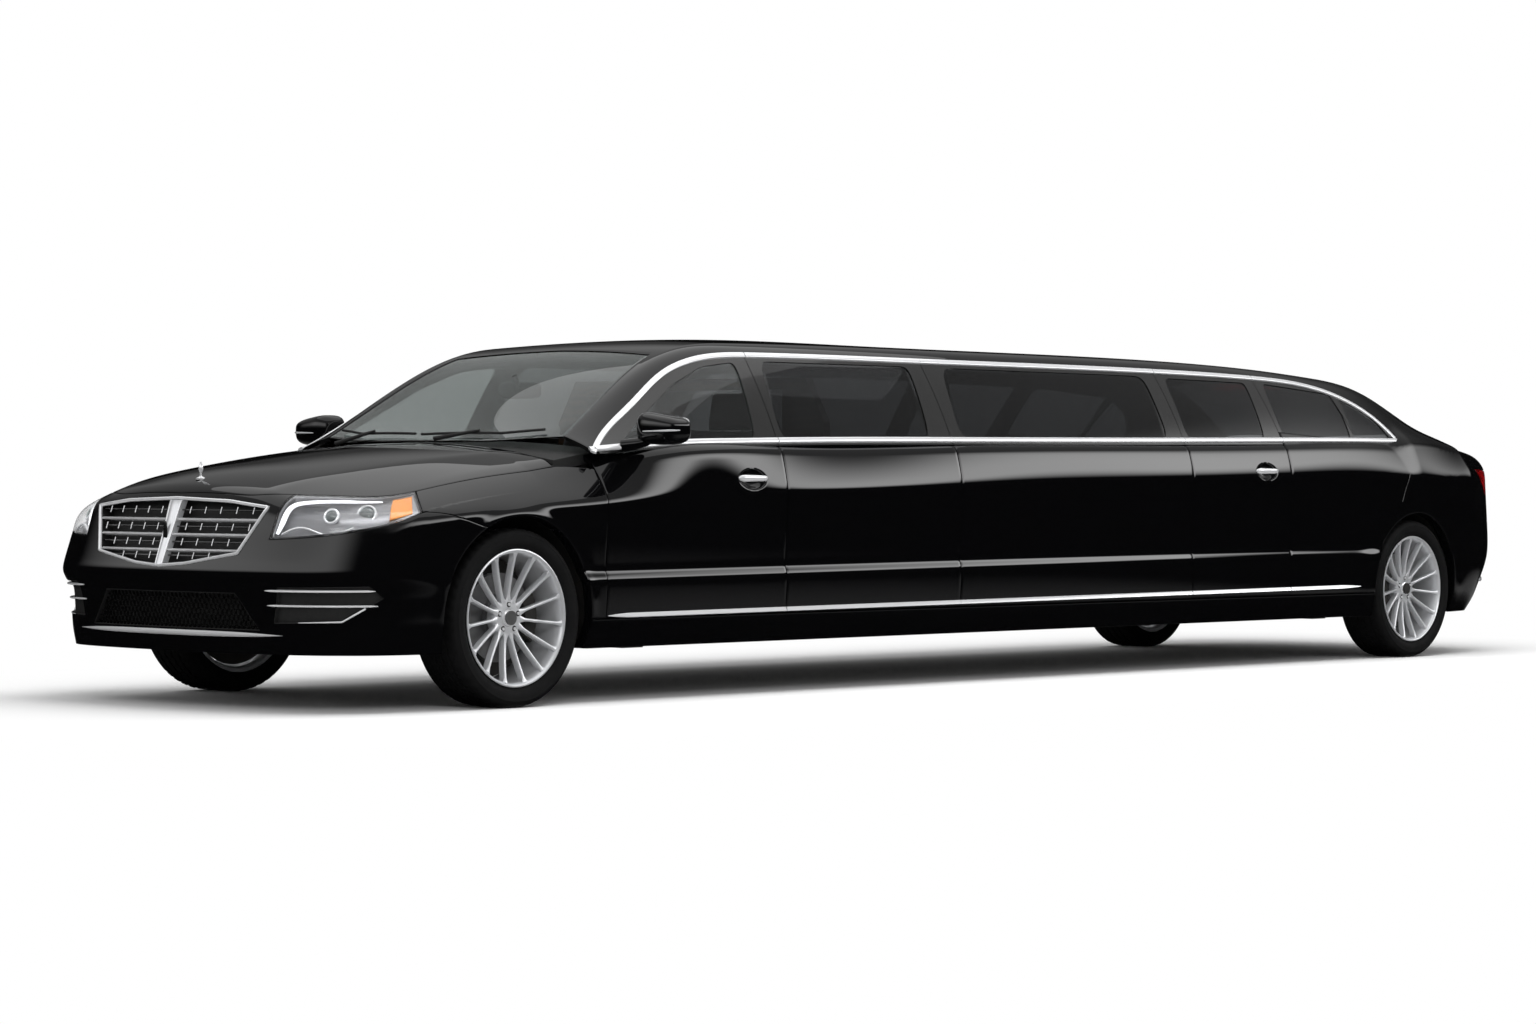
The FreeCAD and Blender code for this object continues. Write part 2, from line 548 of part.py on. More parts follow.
rear_bumper = tail_skin.common(rear_bumper_zone)
rear_bumper = rear_bumper.cut(box(TAIL + 170, TAIL + 900, -690, 690, 150, UNDERSIDE + SKIN + 2))
pipe_notch = box(TAIL - 10, TAIL + 400, EXHAUST_Y - 14, EXHAUST_Y + 74, 150, 302)
rear_bumper = rear_bumper.cut(pipe_notch).cut(other_side(pipe_notch))
node("bumper_rear", rear_bumper)


# ---------------------------------------------------------------- floor, firewall and inner structure
FLOOR_LOW, FLOOR_TOP = 270.0, 300.0
LINER = 8.0
FRONT_LINER = ARCH_RADIUS + 4
REAR_LINER = ARCH_RADIUS - 8
FRONT_WALL_Y = KINGPIN_Y - TYRE_ROOM
REAR_WALL_Y = 600.0
BULKHEAD = SEAM_5 - 850

sills = LOWER.common(side_prism(
    [(REAR_AXLE + ARCH_RADIUS - 7, 200), (FRONT_AXLE - ARCH_RADIUS - 5, 200),
     (FRONT_AXLE - ARCH_RADIUS - 5, SILL_TOP), (REAR_AXLE + ARCH_RADIUS - 7, SILL_TOP)]))
sills = sills.cut(FRONT_ARCH).cut(REAR_ARCH)
floor = sills.cut(box(REAR_AXLE, FRONT_AXLE, -800, 800, FLOOR_TOP, 500))
floor = floor.cut(box(REAR_AXLE, FRONT_AXLE, -770, 770, 100, FLOOR_LOW))
tunnel = box(BULKHEAD + 60, SEAM_1 - 35, -165, 165, FLOOR_LOW, 430)
floor = floor.fuse(tunnel).cut(box(REAR_AXLE, FRONT_AXLE, -145, 145, 100, 412))
for axle_x, height, radius in ((FRONT_AXLE, TYRE_RADIUS, FRONT_LINER), (REAR_AXLE, TYRE_RADIUS - 4, REAR_LINER)):
    drum = Part.makeCylinder(radius + LINER + SEAT_GAP, 2 * FAR, V(axle_x, -FAR, height), V(0, 1, 0))
    floor = floor.cut(drum.common(LOWER_INSIDE))
pads = [box(x - 60, x + 60, JACK_Y - 38, JACK_Y + 38, UNDERSIDE - JACK_DROP, UNDERSIDE + 20) for x in JACK_X]
floor = floor.fuse(pads + [other_side(pad) for pad in pads])
node("floor_pan", floor.removeSplitter())

firewall = box(SEAM_1 - 34, SEAM_1 - 2, -798, 798, FLOOR_TOP, 960)
firewall = firewall.cut(box(SEAM_1 - 60, SEAM_1 + 20, -165.3, 165.3, 200, 440)).common(LOWER_INSIDE)
node("firewall", firewall)


def liner(axle_x, height, radius, wall_y):
    """Left wheelhouse: half a drum over the tyre and the wall inboard of it."""
    out = radius + LINER
    drum = Part.makeCylinder(out, 900 - wall_y + LINER, V(axle_x, wall_y - LINER, height), V(0, 1, 0))
    drum = drum.cut(Part.makeCylinder(radius, 1000, V(axle_x, wall_y, height), V(0, 1, 0)))
    return drum.common(box(axle_x - 600, axle_x + 600, 0, FAR, height - 40, 1200)).common(LOWER_INSIDE)


front_liner = liner(FRONT_AXLE, TYRE_RADIUS, FRONT_LINER, FRONT_WALL_Y)
rear_liner = liner(REAR_AXLE, TYRE_RADIUS - 4, REAR_LINER, REAR_WALL_Y)
rear_liner = rear_liner.cut(  # the axle's way through
    box(REAR_AXLE - 65, REAR_AXLE + 65, REAR_WALL_Y - 20, REAR_WALL_Y + 10, 0, TYRE_RADIUS + 75))
node("wheelhouses", Part.Compound(
    [front_liner, other_side(front_liner), rear_liner, other_side(rear_liner)]))

rail = box(SEAM_1 - 2, NOSE - 290, FRONT_WALL_Y - LINER - 75, FRONT_WALL_Y - LINER, 430, 520)
rails = [rail, other_side(rail)]
support = box(NOSE - 290, NOSE - 250, -500, 500, 330, 745).cut(box(NOSE - 300, NOSE - 240, -440, 440, 380, 700))
bumper_beam = box(NOSE - 250, NOSE - 170, -560, 560, 470, 545)
radiator = box(NOSE - 285, NOSE - 255, -440, 440, 380, 700)
socket = rod(16, V(NOSE - 172, -TOW_Y, TOW_Z), V(NOSE - 150, -TOW_Y, TOW_Z))
bay = rails[0].fuse([rails[1], support, bumper_beam, radiator, socket]).removeSplitter()
bay = bay.cut(rod(TOW_THREAD, V(NOSE - 190, -TOW_Y, TOW_Z), V(NOSE - 100, -TOW_Y, TOW_Z)))
node("front_frame", bay.common(LOWER_INSIDE))

node("engine", box(SEAM_1 + 130, FRONT_AXLE + 445, -330, 330, 300, 830))

tray = box(
    BOOT_FRONT - 420, BULKHEAD, -REAR_WALL_Y + LINER + SEAT_GAP, REAR_WALL_Y - LINER - SEAT_GAP, 400, 415)
shelf = box(BOOT_FRONT + 30, BULKHEAD, -640, 640, 985, 1000)
rear_wall = box(BULKHEAD, BULKHEAD + 20, -700, 700, FLOOR_TOP, 1000)
rear_wall = rear_wall.cut(box(BULKHEAD - 5, BULKHEAD + 25, -165, 165, 200, 399))
rear_room = Part.makeCylinder(
    REAR_LINER + LINER + SEAT_GAP, 2 * FAR, V(REAR_AXLE, -FAR, TYRE_RADIUS - 4), V(0, 1, 0)).cut(
    box(-6000, 0, -REAR_WALL_Y + LINER + SEAT_GAP, REAR_WALL_Y - LINER - SEAT_GAP, 0, 1500))
rear_box = tray.fuse([shelf, rear_wall]).removeSplitter().common(LOWER_INSIDE).cut(rear_room)
node("rear_bulkhead", rear_box)

# ---------------------------------------------------------------- running gear
SPINDLE, RUNNING = 28.0, 0.08
BEAD_SEAT = 258.3


def wheel_rim():
    """Left rim about the Y axis at its own centre, outer side at +Y."""
    section = [
        (-110, 271.5), (-102, 271.5), (-99.5, 258), (99.5, 258), (102, 271.5), (110, RIM_RADIUS),
        (107, 248), (-107, 248)]
    wire = outline(section, lambda p: V(p[1], p[0], 0))
    rim = Part.Face(wire).revolve(V(0, 0, 0), V(0, 1, 0), 360)
    spokes = []
    for k in range(SPOKE_COUNT):
        profile = [(60, 62), (60, 88), (150, 92), (249, 104), (249, 80), (150, 72)]
        arm = Part.Face(outline(profile, lambda p: V(p[0], p[1], -8))).extrude(V(0, 0, 16))
        arm.rotate(V(0, 0, 0), V(0, 1, 0), 360.0 * k / SPOKE_COUNT)
        spokes.append(arm)
    hub = Part.makeCylinder(88, 46, V(0, 42, 0), V(0, 1, 0))
    rim = rim.fuse(spokes + [hub])
    rim = rim.cut(Part.makeCylinder(SPINDLE + RUNNING, 80, V(0, 30, 0), V(0, 1, 0)))
    for k in range(LUG_COUNT):
        angle = math.radians(360.0 * k / LUG_COUNT + 90)
        at = V(LUG_CIRCLE / 2 * math.cos(angle), 20, LUG_CIRCLE / 2 * math.sin(angle))
        rim = rim.cut(Part.makeCylinder(LUG_HOLE, 100, at, V(0, 1, 0)))
    return rim


def wheel_tyre():
    """Tyre about the Y axis: bead, bulging sidewall, bevelled shoulder and flat tread."""
    half = [(99.2, BEAD_SEAT), (99.2, 276), (TYRE_WIDTH / 2, 306), (119, 331), (103, TYRE_RADIUS)]
    section = half + [(-y, r) for y, r in half[::-1]]
    wire = outline(section, lambda p: V(p[1], p[0], 0))
    return Part.Face(wire).revolve(V(0, 0, 0), V(0, 1, 0), 360)


rim, tyre = wheel_rim(), wheel_tyre()
for corner, axle_x in (("front", FRONT_AXLE), ("rear", REAR_AXLE)):
    place = V(axle_x, HALF_TRACK, TYRE_RADIUS)
    for kind, shape in (("rim", rim), ("tyre", tyre)):
        item = shape.translated(place)
        node("%s_%s_left" % (kind, corner), item)
        node("%s_%s_right" % (kind, corner), other_side(item))

UPRIGHT_LOW, UPRIGHT_HIGH = 228.0, 492.0
knuckle = box(FRONT_AXLE - 38, FRONT_AXLE + 38, KINGPIN_Y - 26, KINGPIN_Y + 26, UPRIGHT_LOW, UPRIGHT_HIGH)
knuckle = knuckle.fuse([
    rod(SPINDLE, V(FRONT_AXLE, KINGPIN_Y, TYRE_RADIUS), V(FRONT_AXLE, HALF_TRACK + 80, TYRE_RADIUS)),
    rod(52, V(FRONT_AXLE, KINGPIN_Y, TYRE_RADIUS), V(FRONT_AXLE, HALF_TRACK + 34, TYRE_RADIUS)),
    rod(14, V(FRONT_AXLE, KINGPIN_Y, 270), V(FRONT_AXLE - 120, KINGPIN_Y - 30, 270)),
]).removeSplitter()
node("knuckle_left", knuckle)
node("knuckle_right", other_side(knuckle))

cross = box(FRONT_AXLE - 110, FRONT_AXLE + 110, -395, 395, 225, 285)
low_arm = rod(12, V(FRONT_AXLE, 380, 240), V(FRONT_AXLE, KINGPIN_Y, 205))
low_arm = low_arm.fuse(rod(13, V(FRONT_AXLE, KINGPIN_Y, 195), V(FRONT_AXLE, KINGPIN_Y, UPRIGHT_LOW - SEAT_GAP)))
high_arm = rod(11, V(FRONT_AXLE, FRONT_WALL_Y + 2.4, 560), V(FRONT_AXLE, KINGPIN_Y, 512))
high_arm = high_arm.fuse(rod(13, V(FRONT_AXLE, KINGPIN_Y, UPRIGHT_HIGH + SEAT_GAP), V(FRONT_AXLE, KINGPIN_Y, 522)))
post = box(FRONT_AXLE - 60, FRONT_AXLE + 60, 380, 440, 260, 430 - SEAT_GAP)
sub = cross.fuse([low_arm, other_side(low_arm), post, other_side(post)]).removeSplitter()
node("front_subframe", Part.Compound([sub, high_arm, other_side(high_arm)]))

carrier = rod(SPINDLE, V(REAR_AXLE, 640, TYRE_RADIUS), V(REAR_AXLE, HALF_TRACK + 80, TYRE_RADIUS))
stub = rod(52, V(REAR_AXLE, 700, TYRE_RADIUS), V(REAR_AXLE, HALF_TRACK + 34, TYRE_RADIUS))
axle_tube = rod(44, V(REAR_AXLE, -720, TYRE_RADIUS), V(REAR_AXLE, 720, TYRE_RADIUS))
case = Part.makeSphere(125, V(REAR_AXLE, 0, TYRE_RADIUS - 10)).cut(box(-6000, 6000, -600, 600, 399.7, 700))
axle = axle_tube.fuse([carrier, stub, other_side(carrier), other_side(stub), case]).removeSplitter()
node("rear_axle", axle.cut(box(REAR_AXLE - 60, REAR_AXLE + 60, -605, 605, 399.7, 500)))

shaft = rod(34, V(REAR_AXLE + 150, 0, 345), V(SEAM_1 - 300, 0, 345))
gearbox = box(SEAM_1 - 440, SEAM_1 + 129.7, -125, 125, 288, 402)
carriers = [box(x, x + 60, SEAT_GAP - 145, 145 - SEAT_GAP, 315, 350) for x in (SEAM_1 - 400, 300, -1300)]
node("driveline", shaft.fuse([gearbox] + carriers).removeSplitter())

pipe = rod(27, V(REAR_AXLE - 420, EXHAUST_Y, 240), V(SEAM_1 - 500, EXHAUST_Y, 240))
muffler = box(REAR_AXLE - 880, REAR_AXLE - 419, EXHAUST_Y - 100, EXHAUST_Y + 120, 225, 320)
muffler = muffler.makeFillet(30.0, [e for e in muffler.Edges if e.BoundBox.XLength > 300])
tail_pipe = rod(30, V(REAR_AXLE - 1040, EXHAUST_Y + 30, 262), V(REAR_AXLE - 870, EXHAUST_Y + 30, 262))
hangers = [box(x, x + 40, EXHAUST_Y - 12, EXHAUST_Y + 12, 240, FLOOR_LOW - SEAT_GAP) for x in (1700, 200, -1900)]
exhaust = pipe.fuse([muffler, tail_pipe] + hangers).removeSplitter()
node("exhaust", both_sides(exhaust))

# ---------------------------------------------------------------- furniture
dash = side_prism(
    [(SEAM_1 - 36, 620), (SEAM_1 - 330, 610), (SEAM_1 - 395, 720), (SEAM_1 - 385, 860), (SEAM_1 - 330, 985),
     (SEAM_1 - 200, 1010), (SEAM_1 - 36, 985)], -790, 790)
dash = dash.common(GREEN_INSIDE.fuse(LOWER_INSIDE)).cut(LOWER_SHELL)
node("dashboard", dash)

WHEEL_CENTRE = V(SEAM_1 - 655, 370, 925)
TILT = math.radians(24)
normal = V(-math.cos(TILT), 0, math.sin(TILT))
RIM_SECTION = [(196, 0), (189, 12), (175, 12), (168, 0), (175, -12), (189, -12)]  # radius, along the column
up = V(math.sin(TILT), 0, math.cos(TILT))
section = outline(RIM_SECTION, lambda p: WHEEL_CENTRE + up * p[0] + normal * p[1])
ring = Part.Face(section).revolve(WHEEL_CENTRE, normal, 360)
boss = rod(58, WHEEL_CENTRE - normal * 22, WHEEL_CENTRE + normal * 16)
column = rod(24, WHEEL_CENTRE, WHEEL_CENTRE - normal * 285)
arms = [rod(11, WHEEL_CENTRE, WHEEL_CENTRE + d) for d in (V(0, 175, 0), V(0, -175, 0), up * -175)]
steering = ring.fuse([boss, column] + arms).removeSplitter()
node("steering_wheel", steering.cut(dash))

SEAT = [(0, 0), (500, 0), (520, 110), (470, 165), (90, 130), (-110, 690), (-215, 660), (-60, 60)]


def seat_block(x, y1, y2, z, share=1.0):
    return side_prism([(x + px * share, z + pz) for px, pz in SEAT], y1, y2)


front_seat = seat_block(SEAM_1 - 1215, 120, 640, FLOOR_TOP + 130)
head_restraint = box(SEAM_1 - 1425, SEAM_1 - 1330, 250, 510, FLOOR_TOP + 800, FLOOR_TOP + 985)
plinth = box(SEAM_1 - 1180, SEAM_1 - 740, 200, 560, FLOOR_TOP, FLOOR_TOP + 131)
neck = box(SEAM_1 - 1400, SEAM_1 - 1350, 330, 430, FLOOR_TOP + 760, FLOOR_TOP + 820)
front_seat = front_seat.fuse([head_restraint, plinth, neck]).removeSplitter()
node("front_seats", both_sides(front_seat))

divider = box(SEAM_2 - 445, SEAM_2 - 405, -800, 800, FLOOR_TOP, 1340).common(GREEN_INSIDE.fuse(LOWER_INSIDE))
divider = divider.cut(box(0, 2000, -560, 560, 900, 1290)).cut(box(0, 2000, -165.3, 165.3, 200, 430.3))
node("divider", divider)

BENCH = [(0, 0), (450, 0), (470, 130), (430, 170), (110, 150), (20, 640), (-100, 640), (-60, 60)]
rear_bench = side_prism([(BULKHEAD + 122 + px, FLOOR_TOP + 130 + pz) for px, pz in BENCH], -690, 690)
rear_bench = rear_bench.fuse(box(BULKHEAD + 122, BULKHEAD + 560, -640, 640, 430.3, 432)).removeSplitter()
rear_feet = box(BULKHEAD + 140, BULKHEAD + 540, 200, 640, FLOOR_TOP, 431)
rear_bench = rear_bench.fuse([rear_feet, other_side(rear_feet)]).removeSplitter()
side_profile = [(-835 + px, FLOOR_TOP + 130 + pz) for px, pz in
                [(20, 0), (500, 0), (520, 120), (480, 165), (150, 150), (75, 600), (20, 600)]]
side_bench = front_prism(side_profile, SEAM_4 + 60, SEAM_2 - 480)
side_feet = box(SEAM_4 + 120, SEAM_2 - 540, -780, -380, FLOOR_TOP, FLOOR_TOP + 131)
side_bench = side_bench.fuse(side_feet).removeSplitter()
node("rear_bench", rear_bench.cut(rear_room))
node("side_bench", side_bench)
bar = box(SEAM_4 + 260, SEAM_2 - 620, 520, 800, FLOOR_TOP, 780)
bar = bar.fuse(box(SEAM_4 + 230, SEAM_2 - 590, 495, 830, 780, 800)).removeSplitter()
node("bar_cabinet", bar)

# ---------------------------------------------------------------- mirrors
mirror = box(SEAM_1 - 285, SEAM_1 - 165, 925, 1112, 1062, 1182)
mirror = mirror.makeFillet(38.0, [e for e in mirror.Edges if e.BoundBox.XLength > 100])
arm = side_prism(
    [(SEAM_1 - 235, 1052), (SEAM_1 - 90, 1036), (SEAM_1 - 180, 1082), (SEAM_1 - 235, 1092)], 860, 960)
mirror = mirror.fuse(arm).cut(GREEN).cut(LOWER).removeSplitter()
node("mirror_left", mirror)
node("mirror_right", other_side(mirror))

# ---------------------------------------------------------------- files
os.makedirs("parts", exist_ok=True)
for name, solids in NODES.items():
    shape = solids[0] if len(solids) == 1 else Part.Compound(solids)
    shape.exportStep("parts/%s.step" % name)
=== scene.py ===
# %% [markdown]
# # A stretch limousine, dressed panel by panel
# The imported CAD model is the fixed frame: it says where each seam, axle and lid is. The real car's skin is
# one smooth form that is cut into panels, so here too one form is worked out first and every panel, pane and
# moulding is laid on it. Facets would show at once in black paint, which is why the CAD triangles aren't
# used for the skin.

# %% Load the frame and read the places that everything else hangs on
import math

import bmesh
import bpy
import mathutils
import numpy as np
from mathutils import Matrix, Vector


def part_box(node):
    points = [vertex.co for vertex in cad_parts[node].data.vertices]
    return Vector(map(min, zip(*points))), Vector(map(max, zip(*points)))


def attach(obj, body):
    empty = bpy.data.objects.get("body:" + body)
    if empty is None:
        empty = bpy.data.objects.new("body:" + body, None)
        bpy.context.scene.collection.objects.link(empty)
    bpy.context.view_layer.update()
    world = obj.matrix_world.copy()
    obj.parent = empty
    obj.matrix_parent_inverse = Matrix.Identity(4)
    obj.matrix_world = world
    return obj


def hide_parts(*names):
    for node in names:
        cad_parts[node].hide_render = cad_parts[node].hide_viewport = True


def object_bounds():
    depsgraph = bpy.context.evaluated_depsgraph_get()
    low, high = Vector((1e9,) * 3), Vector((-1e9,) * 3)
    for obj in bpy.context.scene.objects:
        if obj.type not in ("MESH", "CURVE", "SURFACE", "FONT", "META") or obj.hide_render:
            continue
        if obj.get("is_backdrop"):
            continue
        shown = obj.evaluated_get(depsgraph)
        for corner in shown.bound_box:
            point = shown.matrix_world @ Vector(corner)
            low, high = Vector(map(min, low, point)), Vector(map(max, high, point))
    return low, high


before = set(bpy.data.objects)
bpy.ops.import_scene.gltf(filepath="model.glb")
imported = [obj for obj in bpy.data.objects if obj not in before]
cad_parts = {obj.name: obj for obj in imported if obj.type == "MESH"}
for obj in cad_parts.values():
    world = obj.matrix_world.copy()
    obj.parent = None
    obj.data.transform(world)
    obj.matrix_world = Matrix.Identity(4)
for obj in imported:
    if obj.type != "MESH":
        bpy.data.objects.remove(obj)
cad_bounds = [list(corner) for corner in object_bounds()]


def span(node, axis):
    """Lowest and highest place of a CAD node along one axis (0, 1 or 2)."""
    low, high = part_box(node)
    return low[axis], high[axis]


HALF_GAP = 0.003
NOSE = max(span("bumper_front", 0)[1], span("radiator_grille", 0)[1])
TAIL = span("bumper_rear", 0)[0]
FRONT_AXLE = sum(span("tyre_front_left", 0)) / 2
REAR_AXLE = sum(span("tyre_rear_left", 0)) / 2
TYRE_RADIUS = (span("tyre_front_left", 0)[1] - span("tyre_front_left", 0)[0]) / 2
SEAM_1 = span("door_front_left", 0)[1] + HALF_GAP
SEAM_2 = span("door_front_left", 0)[0] - HALF_GAP
SEAM_4 = span("door_rear_left", 0)[1] + HALF_GAP
SEAM_5 = span("door_rear_left", 0)[0] - HALF_GAP
SEAM_3 = SEAM_2 - 1.175
HOOD_REAR = span("hood", 0)[0] - HALF_GAP
BOOT_FRONT = span("trunk_lid", 0)[1] + HALF_GAP
UNDERSIDE = 0.220
ROOF_HEIGHT = 1.515
SILL_TOP = 0.335
ARCH_RADIUS = 0.402
print("nose %.3f, tail %.3f, axles %.3f and %.3f" % (NOSE, TAIL, FRONT_AXLE, REAR_AXLE))
print("door seams at %.3f, %.3f, %.3f and %.3f" % (SEAM_1, SEAM_2, SEAM_4, SEAM_5))

# %% [markdown]
# ## The form of the body
# A car body is drawn as sections across it and outlines seen from above. Each column of the tables is
# carried along the car by a natural cubic spline, so the surface stays smooth from nose to tail. Joined
# flats such as the sill, the creases and the shoulder are straight stretches whose corners are rounded by a
# softened ramp.

# %% Tables of sections, and the splines through them
LOWER = np.array([  # station, waist half-width, waist height, edge half-width, edge height, crown height
    (NOSE + 0.02, 0.914, 0.640, 0.715, 0.730, 0.770),
    (NOSE - 0.25, 0.928, 0.690, 0.755, 0.797, 0.892),
    (FRONT_AXLE + 0.51, 0.943, 0.735, 0.785, 0.850, 0.952),
    (FRONT_AXLE + 0.06, 0.954, 0.782, 0.800, 0.925, 1.008),
    (SEAM_1 + 0.06, 0.957, 0.805, 0.835, 0.985, 1.045),
    (SEAM_1 - 0.25, 0.957, 0.815, 0.905, 1.020, 1.062),
    (SEAM_2, 0.957, 0.840, 0.915, 1.048, 1.078),
    (SEAM_3, 0.957, 0.868, 0.915, 1.063, 1.088),
    (SEAM_4, 0.957, 0.902, 0.915, 1.080, 1.102),
    (SEAM_5, 0.957, 0.918, 0.913, 1.090, 1.112),
    (REAR_AXLE + 0.15, 0.955, 0.925, 0.893, 1.097, 1.128),
    (REAR_AXLE - 0.40, 0.947, 0.915, 0.835, 1.087, 1.138),
    (REAR_AXLE - 0.80, 0.928, 0.885, 0.775, 1.062, 1.122),
    (TAIL - 0.02, 0.890, 0.820, 0.720, 1.000, 1.040),
])
GREEN = np.array([  # station, belt y, belt z, rail y, rail z, roof edge y, roof edge z, crown z
    (SEAM_1 + 0.165, 0.870, 0.985, 0.780, 1.000, 0.650, 1.012, 1.042),
    (SEAM_1 + 0.020, 0.890, 1.000, 0.790, 1.050, 0.675, 1.072, 1.108),
    (SEAM_1 - 0.325, 0.896, 1.025, 0.742, 1.240, 0.648, 1.268, 1.292),
    (SEAM_1 - 0.600, 0.897, 1.038, 0.703, 1.375, 0.615, 1.405, 1.420),
    (SEAM_1 - 0.790, 0.897, 1.042, 0.692, 1.422, 0.605, 1.458, 1.470),
    (SEAM_2, 0.897, 1.048, 0.690, 1.438, 0.600, 1.480, 1.502),
    (SEAM_3, 0.897, 1.063, 0.692, 1.441, 0.600, 1.486, ROOF_HEIGHT),
    (SEAM_4, 0.897, 1.080, 0.692, 1.440, 0.600, 1.483, 1.512),
    (SEAM_5, 0.895, 1.090, 0.688, 1.428, 0.594, 1.468, 1.498),
    (SEAM_5 - 0.70, 0.882, 1.096, 0.672, 1.392, 0.580, 1.432, 1.466),
    (REAR_AXLE - 0.05, 0.862, 1.098, 0.650, 1.328, 0.570, 1.362, 1.400),
    (REAR_AXLE - 0.35, 0.835, 1.094, 0.655, 1.214, 0.580, 1.240, 1.282),
    (BOOT_FRONT + 0.005, 0.800, 1.070, 0.690, 1.090, 0.610, 1.100, 1.122),
])
NOSE_LEVELS = np.array([  # height, set-back of the nose on the centre line
    (0.20, 0.080), (0.29, 0.058), (0.455, 0.046), (0.520, 0.000), (0.560, 0.012), (0.69, 0.060),
    (0.82, 0.105), (1.00, 0.190), (1.20, 0.420),
])
TAIL_LEVELS = np.array([  # height, distance forward of the tail on the centre line
    (0.20, 0.260), (0.29, 0.150), (0.46, 0.030), (0.525, 0.002), (0.60, 0.000), (0.69, 0.008), (0.82, 0.022),
    (1.00, 0.040), (1.20, 0.130),
])


def spline(x, table, column):
    """Natural cubic spline: on each stretch the curve is the chord plus a cubic term that makes the bending
    continuous at the knots and zero at both ends."""
    order = np.argsort(table[:, 0])
    knots, values = table[order, 0], table[order, column]
    h = np.diff(knots)
    n = len(knots)
    system = np.eye(n)
    right = np.zeros(n)
    inner = np.arange(1, n - 1)
    system[inner, inner - 1] = h[:-1]
    system[inner, inner] = 2 * (h[:-1] + h[1:])
    system[inner, inner + 1] = h[1:]
    right[inner] = 6 * np.diff(np.diff(values) / h)
    bend = np.linalg.solve(system, right)
    x = np.clip(x, knots[0], knots[-1])
    k = np.clip(np.searchsorted(knots, x) - 1, 0, n - 2)
    a, b = knots[k + 1] - x, x - knots[k]
    cubic = (bend[k] * a**3 + bend[k + 1] * b**3) / (6 * h[k])
    line_a = (values[k] / h[k] - bend[k] * h[k] / 6) * a
    return cubic + line_a + (values[k + 1] / h[k] - bend[k + 1] * h[k] / 6) * b


def soft_ramp(t, width):
    """Zero below t = 0 and t above it, with the corner rounded over about width: width * log(1 + exp(t /
    width))."""
    return width * np.logaddexp(0.0, t / width)


def smooth_max(a, b, width):
    """The larger of two fields, blended where they differ by less than width: adds (1 - |a - b| / width)^2 /
    4 widths."""
    overlap = np.clip(1 - np.abs(a - b) / width, 0, 1)
    return np.maximum(a, b) + overlap**2 * width / 4


def rounded_polyline(z, knots, values, width):
    """Straight stretches through the knots, each corner softened: the first line plus a soft ramp per change
    of slope."""
    slopes = [(v2 - v1) / (k2 - k1) for k1, k2, v1, v2 in zip(knots, knots[1:], values, values[1:])]
    total = values[0] + slopes[0] * (z - knots[0])
    for knot, before, after in zip(knots[1:-1], slopes, slopes[1:]):
        total = total + (after - before) * soft_ramp(z - knot, width)
    return total

# %% [markdown]
# ## Two fields
# `lower_field` and `green_field` are negative inside the body and zero on its skin. A panel is then found by
# walking outwards along a ray until the field changes sign. Seams may be drawn in whichever view suits them,
# from the side, from above or from the front, and still land on the same surface.

# %% The body below the belt, and the glasshouse above it
CREASE_FRONT, CREASE_REAR = 0.512, 0.548
ARCH_CENTRE_Z = TYRE_RADIUS - 0.002


def side_reach(x, z):
    """Half-width of the lower body at height z: waist minus the tuck of sill, creases and shoulder."""
    waist_y, waist_z = spline(x, LOWER, 1), spline(x, LOWER, 2)
    edge_y, edge_z = spline(x, LOWER, 3), spline(x, LOWER, 4)
    along = np.clip((SEAM_1 - x) / (SEAM_1 - SEAM_5), 0, 1)
    crease = CREASE_FRONT + (CREASE_REAR - CREASE_FRONT) * along
    fade = np.clip((NOSE - 0.50 - x) / 0.40, 0, 1) * np.clip((x - TAIL - 0.45) / 0.40, 0, 1)
    fade = fade * fade * (3 - 2 * fade)
    knots = [UNDERSIDE, SILL_TOP + 0.0 * x, crease - 0.014, crease + 0.016, waist_z]
    insets = [0.052 + 0 * x, 0.014 + 0 * x, 0.006 + 0 * x, 0.006 + 0.014 * fade, 0 * x]
    inset = rounded_polyline(z, knots, insets, 0.006)
    lean = (waist_y - edge_y) / (edge_z - waist_z)
    last = -insets[3] / (waist_z - knots[3])
    inset = inset + (lean * 0.82 - last) * soft_ramp(z - waist_z, 0.012)
    inset = inset + lean * 0.36 * np.clip(z - waist_z, 0, None)**2 / (edge_z - waist_z)
    flare = 0.0 * x
    for axle, proud, width in ((FRONT_AXLE, 0.009, 0.034), (REAR_AXLE, 0.015, 0.085)):
        reach = np.hypot(x - axle, z - ARCH_CENTRE_Z) - ARCH_RADIUS
        flare = flare + proud * np.exp(-(reach / width)**2)
    return waist_y - inset + flare


def nose_shape(y):
    """How far the nose falls back at y: a shallow parabola plus a steep power that turns the corner."""
    return 0.14 * y**2 + 0.425 * (np.abs(y) / 0.95)**8.8


def tail_shape(y):
    """The same for the tail, whose corners are a little rounder."""
    return 0.16 * y**2 + 0.46 * (np.abs(y) / 0.95)**8


def across_top(x, y, table):
    """Crown of a section: a parabola through the crown and both edges."""
    columns = (3, 4, 5) if table is LOWER else (5, 6, 7)
    edge_y, edge_z, crown = (spline(x, table, c) for c in columns)
    return crown - (crown - edge_z) * (y / edge_y)**2


